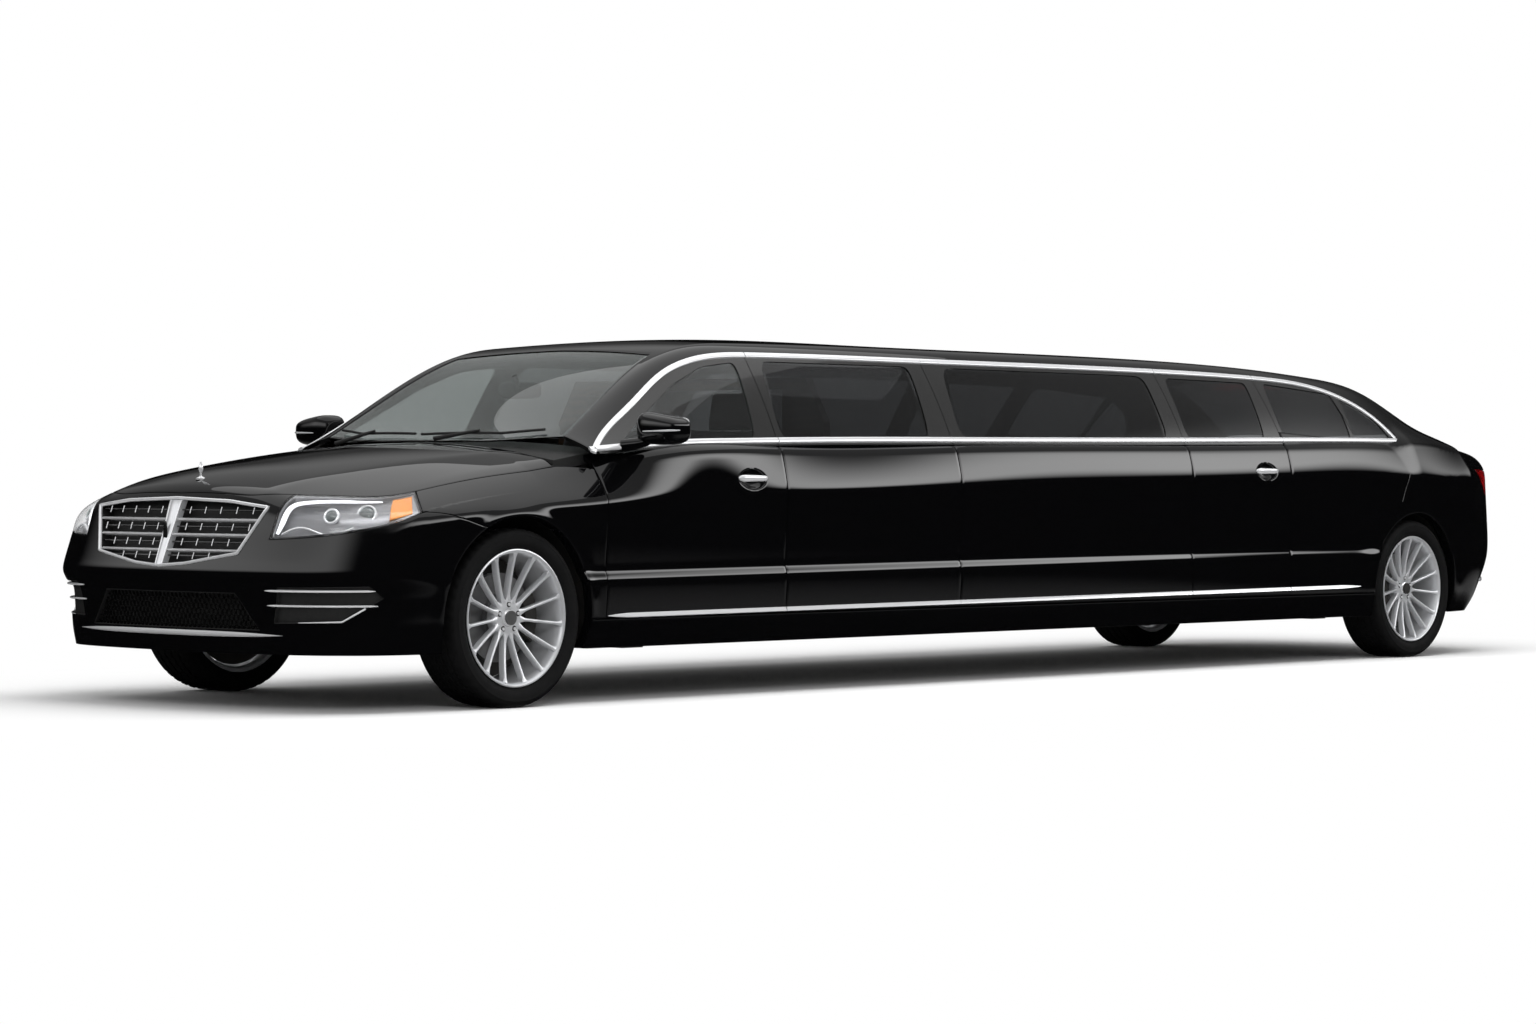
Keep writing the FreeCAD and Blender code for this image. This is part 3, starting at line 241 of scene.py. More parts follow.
def hood_relief(x, y):
    """Two long pressed lines on the hood: the middle stands a few millimetres above its flanks."""
    reach = np.clip((x - HOOD_REAR) / (NOSE - HOOD_REAR), 0, 1)
    line = 0.60 - 0.17 * reach
    strength = np.clip((x - SEAM_1 - 0.05) / 0.25, 0, 1)
    return strength * (0.010 - 0.020 * soft_ramp(np.abs(y) - line, 0.012) / 0.15) * (np.abs(y) < 0.9)


def lower_field(p):
    x, y, z = p[..., 0], np.abs(p[..., 1]), p[..., 2]
    side = y - side_reach(x, z)
    top = z - across_top(x, y, LOWER) - hood_relief(x, y)
    field = smooth_max(side, top, 0.045)
    nose = x - NOSE + rounded_polyline(z, list(NOSE_LEVELS[:, 0]), list(NOSE_LEVELS[:, 1]), 0.010)
    slope = 0.28 * y + 0.425 * 8.8 / 0.95 * (y / 0.95)**7.8
    nose = (nose + nose_shape(y)) / np.sqrt(1 + slope**2)
    tail = TAIL - x + rounded_polyline(z, list(TAIL_LEVELS[:, 0]), list(TAIL_LEVELS[:, 1]), 0.014)
    slope = 0.32 * y + 0.46 * 8 / 0.95 * (y / 0.95)**7
    tail = (tail + tail_shape(y)) / np.sqrt(1 + slope**2)
    field = smooth_max(field, nose, 0.050)
    return smooth_max(field, tail, 0.060)


def green_field(p):
    x, y, z = p[..., 0], np.abs(p[..., 1]), p[..., 2]
    belt_y, belt_z, rail_y, rail_z = (spline(x, GREEN, c) for c in (1, 2, 3, 4))
    t = np.maximum((z - belt_z) / (rail_z - belt_z), -0.02)
    lean = (rail_y - belt_y) / (rail_z - belt_z)
    barrel = 0.012 * 4 * t * (1 - t) * (np.abs(t - 0.5) < 1.2)
    side = (y - belt_y - (rail_y - belt_y) * t - barrel) / np.sqrt(1 + lean**2)
    top = z - across_top(x, y, GREEN)
    return smooth_max(side, top, 0.050)


# %% Rays, and the four ways of laying a grid on the skin
def cast(field, origin, direction, reach=1.4, steps=34):
    """Halves an interval along each ray until the field's zero is pinned down: inside at the origin, outside
    at reach."""
    low = np.zeros(origin.shape[:-1])
    high = np.full(origin.shape[:-1], reach)
    for _ in range(steps):
        middle = (low + high) / 2
        inside = field(origin + middle[..., None] * direction) < 0
        low = np.where(inside, middle, low)
        high = np.where(inside, high, middle)
    return origin + ((low + high) / 2)[..., None] * direction


def stack(*parts):
    return np.stack(np.broadcast_arrays(*[np.asarray(p, float) for p in parts]), axis=-1)


def on_side(x, z, field=lower_field):
    """Points of the left flank seen square on: rays run outwards along +Y."""
    return cast(field, stack(x, 0.0 * np.asarray(x), z), np.array([0.0, 1.0, 0.0]), 1.2)


def on_top(x, y, field=lower_field, start=0.60):
    """Points seen from above: rays run up."""
    return cast(field, stack(x, y, start), np.array([0.0, 0.0, 1.0]), 1.2)


def on_front(y, z, field=lower_field):
    """Points of the nose seen from the front: rays run forward."""
    return cast(field, stack(NOSE - 1.1, y, z), np.array([1.0, 0.0, 0.0]), 1.3)


class SideView:
    """Grid coordinates x and z."""

    def __init__(self, field=lower_field):
        self.field = field

    def flat(self, p):
        return p[..., [0, 2]]

    def solid(self, q):
        return on_side(q[..., 0], q[..., 1], self.field)


class TopView:
    """Grid coordinates x and y."""

    def __init__(self, field=lower_field):
        self.field = field

    def flat(self, p):
        return p[..., [0, 1]]

    def solid(self, q):
        return on_top(q[..., 0], q[..., 1], self.field)


class SectionView:
    """Grid coordinates x and the angle about a line inside the body, for skin that rolls from flank to
    top."""

    def __init__(self, y, z, field=lower_field):
        self.y, self.z, self.field = y, z, field

    def flat(self, p):
        return stack(p[..., 0], np.arctan2(p[..., 2] - self.z, p[..., 1] - self.y))

    def solid(self, q):
        origin = stack(q[..., 0], self.y, self.z)
        direction = stack(0 * q[..., 1], np.cos(q[..., 1]), np.sin(q[..., 1]))
        return cast(self.field, origin, direction)


class CornerView:
    """Grid coordinates the angle about an upright line inside the nose or tail, and z."""

    def __init__(self, x, sign, field=lower_field):
        self.x, self.sign, self.field = x, sign, field

    def flat(self, p):
        return stack(np.arctan2(p[..., 1], self.sign * (p[..., 0] - self.x)), p[..., 2])

    def solid(self, q):
        origin = stack(self.x, 0, q[..., 1])
        direction = stack(self.sign * np.cos(q[..., 0]), np.sin(q[..., 0]), 0 * q[..., 0])
        return cast(self.field, origin, direction)


SIDE, TOP = SideView(), TopView()
NOSE_VIEW, TAIL_VIEW = CornerView(NOSE - 0.95, 1), CornerView(TAIL + 0.95, -1)
GREEN_SIDE, GREEN_WRAP = SideView(green_field), SectionView(0.0, 0.85, green_field)
SHOULDER_VIEW = SectionView(0.45, 0.60)


def path(points, count):
    """Evenly spaced points along straight stretches, keeping both ends; works in two or three dimensions."""
    points = np.asarray(points, float)
    length = np.concatenate([[0], np.cumsum(np.linalg.norm(np.diff(points, axis=0), axis=1))])
    t = np.linspace(0, length[-1], count)
    return np.stack([np.interp(t, length, points[:, k]) for k in range(points.shape[1])], axis=1)


def curve(points, count):
    """A smooth curve through given points: each coordinate is a cubic spline over chord length."""
    points = np.asarray(points, float)
    length = np.concatenate([[0], np.cumsum(np.linalg.norm(np.diff(points, axis=0), axis=1))])
    t = np.linspace(0, length[-1], count)
    table = np.column_stack([length, points])
    return np.stack([spline(t, table, k + 1) for k in range(points.shape[1])], axis=1)


def arc(cx, cz, radius, start, end, count):
    """Points on a circle in the side view, from one angle in degrees to another."""
    a = np.radians(np.linspace(start, end, count))
    return np.stack([cx + radius * np.cos(a), cz + radius * np.sin(a)], axis=1)


def joined(*runs):
    """Runs end to end, dropping each run's first point where it repeats the last."""
    return np.concatenate([runs[0]] + [r[1:] for r in runs[1:]])

# %% [markdown]
# ## From grids to pieces
# A grid of points becomes quads whose corners are numbered by rows. Pressed panels are closed shells: the
# outer grid, the same grid moved inwards along the field's gradient, and a rim that first turns over a small
# radius, so that every shut line catches a thin highlight, as folded sheet metal does.

# %% Mesh building
def gradient(field, p, step=0.0008):
    """Outward unit normals: central differences of the field along each axis."""
    parts = []
    for axis in range(3):
        shift = np.zeros(3)
        shift[axis] = step
        parts.append(field(p + shift) - field(p - shift))
    g = np.stack(parts, axis=-1)
    return g / np.maximum(np.linalg.norm(g, axis=-1, keepdims=True), 1e-9)


def settle(field, p, rounds=12):
    """Newton's walk to the field's zero: each step goes back along the gradient by the field's value over
    its slope."""
    step = 0.0008
    for _ in range(rounds):
        slopes = []
        for axis in range(3):
            shift = np.zeros(3)
            shift[axis] = step
            slopes.append((field(p + shift) - field(p - shift)) / (2 * step))
        g = np.stack(slopes, axis=-1)
        square = np.maximum((g**2).sum(-1), 0.05)
        p = p - (np.clip(field(p), -0.04, 0.04) / square)[..., None] * g
    return p


class FreeView:
    """Grid coordinates are the three of space; points are then walked onto the skin along its normal."""

    def __init__(self, field):
        self.field = field

    def flat(self, p):
        return p

    def solid(self, q):
        return settle(self.field, q)


def quads(nu, nv, offset=0, wrap=False):
    """Corner numbers of the cells of a grid with nu by nv points, counted row by row."""
    count = nu if wrap else nu - 1
    i, j = np.meshgrid(np.arange(count), np.arange(nv - 1), indexing="ij")
    k = (i + 1) % nu
    corners = np.stack([i * nv + j, k * nv + j, k * nv + j + 1, i * nv + j + 1], axis=-1)
    return corners.reshape(-1, 4) + offset


def coons(view, low, high, first=None, last=None, rows=24):
    """A grid between four boundary curves on the skin. In the view's coordinates it is Coons' blend: the two
    ruled surfaces added together less the corners' bilinear one. A side left out is straight."""
    low, high = view.flat(np.asarray(low, float)), view.flat(np.asarray(high, float))
    t = np.linspace(0, 1, rows)[:, None]
    if first is None:
        first = low[0] * (1 - t) + high[0] * t
    else:
        first = view.flat(np.asarray(first, float))
        t = np.linspace(0, 1, len(first))[:, None]
    last = low[-1] * (1 - t) + high[-1] * t if last is None else view.flat(np.asarray(last, float))
    u = np.linspace(0, 1, len(low))[:, None, None]
    v = t[None]
    ruled = (1 - v) * low[:, None] + v * high[:, None] + (1 - u) * first[None] + u * last[None]
    corners = (1 - u) * ((1 - v) * low[0] + v * high[0]) + u * ((1 - v) * low[-1] + v * high[-1])
    grid = view.solid(ruled - corners)
    return grid


def facing(grid, field):
    """Turns a grid over if its cells look into the body."""
    middle = grid[:-1, :-1]
    n = np.cross(grid[1:, :-1] - middle, grid[:-1, 1:] - middle)
    return grid if (n * gradient(field, middle)).sum() > 0 else grid[::-1]


def other_half(grid):
    return grid * np.array([1.0, -1.0, 1.0])


THICKEST_GLASS = 0.010
BACK_STRIDE = 3


def back_cells(ids, step):
    """The back of a grid in cells several steps a side, as rings of point numbers. Along the grid's border a
    cell keeps every point, so that it still meets its neighbours and the rim."""
    rows, columns = ([*range(0, n - 1, step), n - 1] for n in ids.shape)
    cells = []
    for i, k in zip(rows, rows[1:]):
        for j, m in zip(columns, columns[1:]):
            sides = [(ids[i:k + 1, j], j == 0), (ids[k, j:m + 1], k == rows[-1]),
                     (ids[i:k + 1, m][::-1], m == columns[-1]), (ids[i, j:m + 1][::-1], i == 0)]
            ring = [int(p) for line, whole in sides for p in (line[:-1] if whole else line[:1])]
            cells.append(ring[::-1])
    return cells


def skin(patches, field, thickness=0.02, gap=0.0025, radius=0.0016):
    """Closed panel from one or more grids that share edges. The points are welded, the free edge is drawn in
    along the skin by half the shut gap and turned over a small radius, and a parallel inner face closes it.
    At each point of the free edge the way in is the normal crossed with the edge's direction, averaged over
    both edges. Behind a thick panel the inner face takes every third line of the grid; behind glass it takes
    them all."""
    stride = BACK_STRIDE if thickness > THICKEST_GLASS else 1
    faces, points, sizes, total = [], [], [], 0
    for grid in patches:
        grid = facing(grid, field)
        faces.append(quads(*grid.shape[:2], total))
        points.append(grid.reshape(-1, 3))
        sizes.append((total, grid.shape[:2]))
        total += len(points[-1])
    points, faces = np.concatenate(points), np.concatenate(faces)
    _, first, back = np.unique(np.round(points / 5e-5).astype(np.int64), axis=0, return_index=True,
                               return_inverse=True)
    back = back.reshape(-1)
    points, faces = points[first], back[faces]
    normal = gradient(field, points)
    edges = np.concatenate([faces[:, [k, (k + 1) % 4]] for k in range(4)])
    edges = edges[edges[:, 0] != edges[:, 1]]
    count = len(points)
    there, home = edges[:, 0] * count + edges[:, 1], edges[:, 1] * count + edges[:, 0]
    free = edges[~np.isin(there, home)]
    along = points[free[:, 1]] - points[free[:, 0]]
    along /= np.maximum(np.linalg.norm(along, axis=1, keepdims=True), 1e-9)
    inward = np.zeros_like(points)
    share = np.zeros(count)
    for k in (0, 1):
        step = np.cross(normal[free[:, k]], along)
        np.add.at(inward, free[:, k], step)
        np.add.at(share, free[:, k], 1.0)
    length = np.maximum(np.linalg.norm(inward, axis=1, keepdims=True), 1e-9)
    mitre = np.clip(share[:, None] / length, 1.0, 1.5)
    inward = inward / length * mitre
    rim = np.unique(free)
    number = np.full(count, -1)
    number[rim] = np.arange(len(rim))
    face, edge = points.copy(), points.copy()
    face[rim] += (gap + radius) * inward[rim]
    edge[rim] += gap * inward[rim]
    inner = edge - thickness * normal
    rings = [edge[rim] - 0.3 * radius * normal[rim], edge[rim] - radius * normal[rim]]
    m = len(rim)
    ids = [rim, count + np.arange(m), count + m + np.arange(m), count + 2 * m + rim]
    out = [faces]
    a, b = number[free[:, 0]], number[free[:, 1]]
    for low, high in zip(ids, ids[1:]):
        out.append(np.stack([low[b], low[a], high[a], high[b]], axis=1))
    out = np.concatenate(out).tolist()
    for start, (nu, nv) in sizes:
        out += back_cells(back[start:start + nu * nv].reshape(nu, nv) + count + 2 * m, stride)
    return np.concatenate([face] + rings + [inner]), out


def tube_grid(points, radius, sides=10):
    """Round bar along a path: at each point a circle in the plane square to the path, on a frame that
    doesn't twist."""
    points = np.asarray(points, float)
    tangent = np.gradient(points, axis=0)
    tangent /= np.linalg.norm(tangent, axis=1, keepdims=True)
    guide = np.array([0.0, 0.0, 1.0]) if abs(tangent[0, 2]) < 0.9 else np.array([1.0, 0.0, 0.0])
    across = np.cross(tangent, guide)
    across /= np.linalg.norm(across, axis=1, keepdims=True)
    up = np.cross(across, tangent)
    a = np.linspace(0, 2 * np.pi, sides, endpoint=False)
    radius = np.broadcast_to(np.asarray(radius, float), (len(points),))[:, None, None]
    ring = np.cos(a)[None, :, None] * across[:, None, :] + np.sin(a)[None, :, None] * up[:, None, :]
    return points[:, None, :] + radius * ring


def lathe(profile, centre, count=96, start=0.0, sweep=2 * np.pi):
    """Spins a profile of (offset along Y, radius) points about a line along Y through the centre."""
    profile = np.asarray(profile, float)
    a = start + np.linspace(0, sweep, count, endpoint=sweep < 2 * np.pi - 1e-6)
    x = profile[None, :, 1] * np.cos(a)[:, None]
    z = profile[None, :, 1] * np.sin(a)[:, None]
    return stack(x, profile[None, :, 0] + 0 * x, z) + np.asarray(centre, float)


class Piece:
    """Gathers surfaces and turns them into one Blender object that rides on a CAD body."""

    def __init__(self, name):
        self.name, self.verts, self.faces, self.total = name, [], [], 0

    def add(self, verts, faces):
        verts = np.asarray(verts, float).reshape(-1, 3)
        if isinstance(faces, np.ndarray):
            faces = faces.tolist()
        for face in faces:
            ring = [i + self.total for k, i in enumerate(face) if i != face[k - 1]]
            if len(ring) > 2:
                self.faces.append(ring)
        self.verts.append(verts)
        self.total += len(verts)
        return self

    def grid(self, grid, wrap=False, flip=False, caps=False):
        """Adds a sheet, or a tube when it wraps round along its first axis."""
        nu, nv = grid.shape[:2]
        cells = quads(nu, nv, 0, wrap)
        if flip:
            cells = cells[:, ::-1]
        faces = cells.tolist()
        if caps:
            faces.append([i * nv for i in range(nu)][::-1])
            faces.append([i * nv + nv - 1 for i in range(nu)])
        return self.add(grid, faces)

    def tube(self, points, radius, sides=10):
        return self.grid(tube_grid(points, radius, sides).swapaxes(0, 1), wrap=True, flip=True, caps=True)

    def panel(self, patches, field, thickness=0.02, gap=0.0025, radius=0.0016):
        return self.add(*skin(patches, field, thickness, gap, radius))

    def mirrored(self, name):
        """The same piece on the car's other side, with its faces turned so that they still look outwards."""
        twin = Piece(name)
        twin.verts = [v * np.array([1.0, -1.0, 1.0]) for v in self.verts]
        twin.faces = [face[::-1] for face in self.faces]
        twin.total = self.total
        return twin

    def with_mirror(self):
        """Both sides in one piece."""
        twin = self.mirrored("twin")
        self.faces = self.faces + [[i + self.total for i in face] for face in twin.faces]
        self.verts = self.verts + twin.verts
        self.total *= 2
        return self

    def build(self, material, body, slot, replaces=(), sharp=32.0, weld=2e-5, solidify=0.0, bevel=0.0,
              outward=True):
        mesh = bpy.data.meshes.new(self.name)
        mesh.from_pydata(np.concatenate(self.verts).tolist(), [], self.faces)
        work = bmesh.new()
        work.from_mesh(mesh)
        bmesh.ops.remove_doubles(work, verts=work.verts, dist=weld)
        bmesh.ops.dissolve_degenerate(work, dist=1e-6, edges=work.edges)
        if outward:
            bmesh.ops.recalc_face_normals(work, faces=work.faces)
        work.to_mesh(mesh)
        work.free()
        mesh.shade_smooth()
        mesh.set_sharp_from_angle(angle=math.radians(sharp))
        piece = bpy.data.objects.new(self.name, mesh)
        bpy.context.scene.collection.objects.link(piece)
        if solidify:
            wall = piece.modifiers.new("wall", "SOLIDIFY")
            wall.thickness, wall.offset = abs(solidify), -1.0 if solidify > 0 else 1.0
        if bevel:
            edge = piece.modifiers.new("edge", "BEVEL")
            edge.width, edge.segments = bevel, 2
            edge.limit_method, edge.angle_limit = "ANGLE", math.radians(40)
        mesh.materials.append(material)
        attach(piece, body)
        if replaces:
            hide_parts(*replaces)
        return piece


def both(piece, material, bodies, slot, replaces=((), ()), **how):
    """Builds a left piece and its mirror image, each on its own body."""
    right = piece.mirrored(piece.name.replace("left", "right"))
    piece.build(material, bodies[0], slot, replaces[0], **how)
    right.build(material, bodies[1], slot, replaces[1], **how)

# %% [markdown]
# ## Finishes
# Shader maths is written as expressions: a small class wraps a socket, and each operator adds the Math node
# it stands for. What is the same all over a surface is a plain number on the shader; only what changes is
# linked.

# %% Sockets as values, and the finishes
class Value:
    """A node output that can be added, multiplied and compared like a number."""

    def __init__(self, tree, socket):
        self.tree, self.socket = tree, socket

    def node(self, kind, settings=None, **inputs):
        """Adds any node: settings are its properties, inputs its sockets by name with _ for spaces, or by
        _index."""
        node = self.tree.nodes.new(kind)
        for key, value in (settings or {}).items():
            if key == "stops":
                ramp = node.color_ramp
                while len(ramp.elements) < len(value):
                    ramp.elements.new(0.5)
                for element, (place, colour) in zip(ramp.elements, value):
                    element.position, element.color = place, colour
            else:
                setattr(node, key, value)
        for key, value in inputs.items():
            socket = node.inputs[int(key[1:])] if key[1:].isdigit() else node.inputs[key.replace("_", " ")]
            if isinstance(value, Value):
                self.tree.links.new(value.socket, socket)
            else:
                socket.default_value = value
        return node

    def out(self, node, name=0):
        return Value(self.tree, node.outputs[name])

    def math(self, operation, a, b=0.0):
        return self.out(self.node("ShaderNodeMath", {"operation": operation}, _0=a, _1=b))

    def __add__(self, other):
        return self.math("ADD", self, other)

    def __sub__(self, other):
        return self.math("SUBTRACT", self, other)

    def __rsub__(self, other):
        return self.math("SUBTRACT", other, self)

    def __mul__(self, other):
        return self.math("MULTIPLY", self, other)

    def __truediv__(self, other):
        return self.math("DIVIDE", self, other)

    def __pow__(self, other):
        return self.math("POWER", self, other)

    def __gt__(self, other):
        return self.math("GREATER_THAN", self, other)

    __radd__, __rmul__ = __add__, __mul__

    def clip(self):
        return self.out(self.node("ShaderNodeClamp", Value=self))

    def mix(self, first, second):
        """Colour between two colours, by this value."""
        mixed = self.node("ShaderNodeMix", {"data_type": "RGBA"}, _0=self, _6=first, _7=second)
        return self.out(mixed, 2)


class Finish:
    """A material with one main shader; plain numbers are set on its sockets and links come from Value
    expressions."""

    def __init__(self, name, **plain):
        self.material = bpy.data.materials.new(name)
        self.material.use_nodes = True
        self.tree = self.material.node_tree
        self.shader = self.tree.nodes["Principled BSDF"]
        self.start = Value(self.tree, None)
        coordinates = self.start.node("ShaderNodeTexCoord")
        self.place = self.start.out(coordinates, "Object")
        self.set(**plain)

    def set(self, **sockets):
        for key, value in sockets.items():
            socket = self.shader.inputs[key.replace("_", " ")]
            if isinstance(value, Value):
                self.tree.links.new(value.socket, socket)
            else:
                socket.default_value = value
        return self

    def axis(self, index):
        return self.start.out(self.start.node("ShaderNodeSeparateXYZ", Vector=self.place), index)

    def noise(self, scale, detail=2.0, rough=0.5):
        node = self.start.node("ShaderNodeTexNoise", None, Vector=self.place, Scale=scale, Detail=detail,
                               Roughness=rough)
        return self.start.out(node, 0)

    def cells(self, scale, feature="F1", output="Distance"):
        node = self.start.node("ShaderNodeTexVoronoi", {"feature": feature}, Vector=self.place, Scale=scale)
        return self.start.out(node, output)

    def waves(self, scale, axis="X", distortion=0.0):
        settings = {"wave_type": "BANDS", "bands_direction": axis}
        node = self.start.node("ShaderNodeTexWave", settings, Vector=self.place, Scale=scale,
                               Distortion=distortion)
        return self.start.out(node, 1)

    def bump(self, height, strength, distance):
        node = self.start.node("ShaderNodeBump", None, Height=height, Strength=strength, Distance=distance)
        return self.set(Normal=self.start.out(node))


def rgb(r, g, b):
    return (r, g, b, 1.0)


paint = Finish("black_paint", Coat_Weight=1.0, Coat_Roughness=0.012, Specular_IOR_Level=0.0)
paint.set(Base_Color=paint.noise(900.0, 1.0).mix(rgb(0.0012, 0.0012, 0.0014), rgb(0.0024, 0.0024, 0.0028)))
paint.set(Roughness=0.17 + 0.06 * paint.noise(7.0, 2.0))

trim = Finish("gloss_black_trim", Coat_Weight=0.6, Coat_Roughness=0.03)
trim.set(Base_Color=trim.noise(400.0).mix(rgb(0.004, 0.004, 0.004), rgb(0.008, 0.008, 0.008)))
trim.set(Roughness=0.16 + 0.08 * trim.noise(11.0))

chrome = Finish("bright_chrome", Metallic=0.50)
chrome.set(Base_Color=chrome.noise(3.0).mix(rgb(0.84, 0.85, 0.87), rgb(0.92, 0.92, 0.93)))
chrome.set(Roughness=0.07 + 0.05 * chrome.noise(25.0, 3.0))

alloy = Finish("silver_alloy", Metallic=0.55, Coat_Weight=0.6, Coat_Roughness=0.08)
alloy.set(Base_Color=alloy.noise(500.0).mix(rgb(0.66, 0.67, 0.69), rgb(0.78, 0.79, 0.81)))
alloy.set(Roughness=0.26 + 0.10 * alloy.noise(20.0, 3.0))

tyre_rubber = Finish("tyre_rubber", Specular_IOR_Level=0.15)
tyre_rubber.set(Base_Color=tyre_rubber.noise(14.0, 4.0).mix(rgb(0.0032, 0.0032, 0.0034),
                                                            rgb(0.0075, 0.0075, 0.0078)))
tyre_rubber.set(Roughness=0.62 + 0.2 * tyre_rubber.noise(40.0, 4.0))
tyre_rubber.bump(tyre_rubber.noise(900.0, 2.0), 0.12, 0.0006)

plastic = Finish("grained_plastic", Specular_IOR_Level=0.35)
plastic.set(Base_Color=plastic.noise(60.0, 3.0).mix(rgb(0.009, 0.009, 0.009), rgb(0.016, 0.016, 0.016)))
plastic.set(Roughness=0.55 + 0.15 * plastic.noise(90.0))
plastic.bump(plastic.cells(900.0), 0.25, 0.0004)

underbody = Finish("underbody_black", Specular_IOR_Level=0.25)
underbody.set(Base_Color=underbody.noise(9.0, 5.0).mix(rgb(0.006, 0.006, 0.006), rgb(0.016, 0.015, 0.014)))
underbody.set(Roughness=0.72 + 0.2 * underbody.noise(30.0, 3.0))
underbody.bump(underbody.noise(260.0, 3.0), 0.3, 0.001)

iron = Finish("dark_iron", Metallic=0.7)
iron.set(Base_Color=iron.noise(20.0, 5.0).mix(rgb(0.030, 0.029, 0.028), rgb(0.075, 0.070, 0.066)))
iron.set(Roughness=0.5 + 0.25 * iron.noise(70.0, 4.0))
iron.bump(iron.noise(300.0, 3.0), 0.35, 0.0008)

steel = Finish("brushed_steel", Metallic=1.0)
steel.set(Base_Color=steel.noise(12.0, 4.0).mix(rgb(0.16, 0.16, 0.16), rgb(0.30, 0.30, 0.30)))
steel.set(Roughness=0.34 + 0.2 * steel.noise(50.0, 4.0))

leather = Finish("black_leather", Specular_IOR_Level=0.4)
leather.set(Base_Color=leather.noise(12.0, 3.0).mix(rgb(0.012, 0.011, 0.011), rgb(0.024, 0.022, 0.021)))
leather.set(Roughness=0.42 + 0.18 * leather.noise(160.0, 3.0))
leather.bump(leather.cells(420.0), 0.35, 0.0007)

walnut = Finish("lacquered_walnut", Coat_Weight=0.8, Coat_Roughness=0.04)
grain = walnut.waves(9.0, "Z", 9.0) * 0.6 + walnut.noise(60.0, 5.0) * 0.4
walnut.set(Base_Color=grain.mix(rgb(0.030, 0.013, 0.006), rgb(0.115, 0.052, 0.022)))
walnut.set(Roughness=0.28 + 0.1 * walnut.noise(40.0))

carpet = Finish("cut_pile_carpet", Specular_IOR_Level=0.1)
carpet.set(Base_Color=carpet.noise(700.0, 3.0).mix(rgb(0.006, 0.006, 0.006), rgb(0.022, 0.021, 0.020)))
carpet.set(Roughness=0.9 + 0.08 * carpet.noise(200.0))
carpet.bump(carpet.noise(1500.0, 2.0), 0.8, 0.003)


def glass(name, tint, roughness=0.0, index=1.45):
    finish = Finish(name, Transmission_Weight=1.0, IOR=index)
    deep = tuple(c * 0.96 for c in tint)
    finish.set(Base_Color=finish.noise(2.0).mix(rgb(*deep), rgb(*tint)))
    finish.set(Roughness=roughness + 0.002 * finish.noise(30.0))
    return finish


clear_glass = glass("windscreen_glass", (0.50, 0.55, 0.535), 0.0, 1.34)
smoked_glass = glass("smoked_glass", (0.10, 0.104, 0.108), 0.0, 1.34)
front_glass = glass("light_smoked_glass", (0.30, 0.315, 0.315), 0.0, 1.34)
lamp_glass = glass("lamp_cover", (0.97, 0.975, 0.98), 0.0, 1.22)
red_glass = glass("red_lens", (0.42, 0.008, 0.010), 0.03)

# %% [markdown]
# ## The seams, drawn once
# Each curve below is a shut line or an opening's edge. Neighbouring panels use the very same curve, and each
# draws back from it by half the shut gap.

# %% Belt, roof moulding, hood, lamp and bumper lines
def belt_z(x):
    return spline(x, GREEN, 2)


# upper moulding from its front tip over the windows to its rear tip, seen from the side
RAIL_LINE = np.array([
    (SEAM_1 + 0.020, 1.004), (SEAM_1 - 0.160, 1.116), (SEAM_1 - 0.340, 1.217), (SEAM_1 - 0.555, 1.336),
    (SEAM_1 - 0.810, 1.408), (SEAM_2 - 0.05, 1.428), (SEAM_3, 1.431), (SEAM_4 - 0.115, 1.427),
    (SEAM_5 - 0.03, 1.414), (SEAM_5 - 0.55, 1.378), (SEAM_5 - 0.84, 1.308), (SEAM_5 - 1.03, 1.196),
    (SEAM_5 - 1.105, 1.102),
])
rail = curve(RAIL_LINE, 260)
REAR_TIP = rail[-1]


HOOD_LINE = np.array([  # hood's edge seen from above, left half, from the nose back
    (NOSE - 0.122, 0.0), (NOSE - 0.134, 0.270), (NOSE - 0.172, 0.470), (NOSE - 0.250, 0.572),
    (NOSE - 0.375, 0.680), (NOSE - 0.505, 0.752), (NOSE - 0.700, 0.778), (NOSE - 0.955, 0.788),
    (HOOD_REAR, 0.815),
])
LAMP_REAR = NOSE - 0.640
ARCH_SEAM_ANGLE = 63.0


def mixed_field(p):
    """Both forms together: where the roof's rear pillar meets the quarter and where the front pillar meets
    the cowl, the smaller of the two fields blends over a fillet, and elsewhere it stays crisp."""
    x = p[..., 0]
    rear = np.clip((SEAM_5 - 0.95 - x) / 0.25, 0, 1)
    front = np.clip((x - SEAM_1 + 0.02) / 0.10, 0, 1)
    width = 0.004 + 0.11 * rear * rear * (3 - 2 * rear) + 0.03 * front
    sunk = 0.5 * np.clip(BOOT_FRONT + 0.05 - x, 0, None) + 0.5 * np.clip(x - SEAM_1 - 0.18, 0, None)
    return -smooth_max(-lower_field(p), -green_field(p) - sunk, width)


MIXED = FreeView(mixed_field)
print("seams drawn; rear tip of the moulding at %.3f, %.3f" % tuple(REAR_TIP))

# %% [markdown]
# ## Doors, fixed side panels and sills
# A door skin is one pressing from sill to belt. It could be bent from the CAD facets, but black lacquer
# shows every facet, so it is a grid in the side view laid on the form. The handle's bowl is pressed in by
# moving grid points inwards in a smooth round dip.

# %% Side panels from the front seam to the rear wheel
HANDLES = [(SEAM_2 + 0.215, 0.900), (SEAM_5 + 0.215, 0.948)]
SILL_EDGE = 0.338
PITCH = 0.017


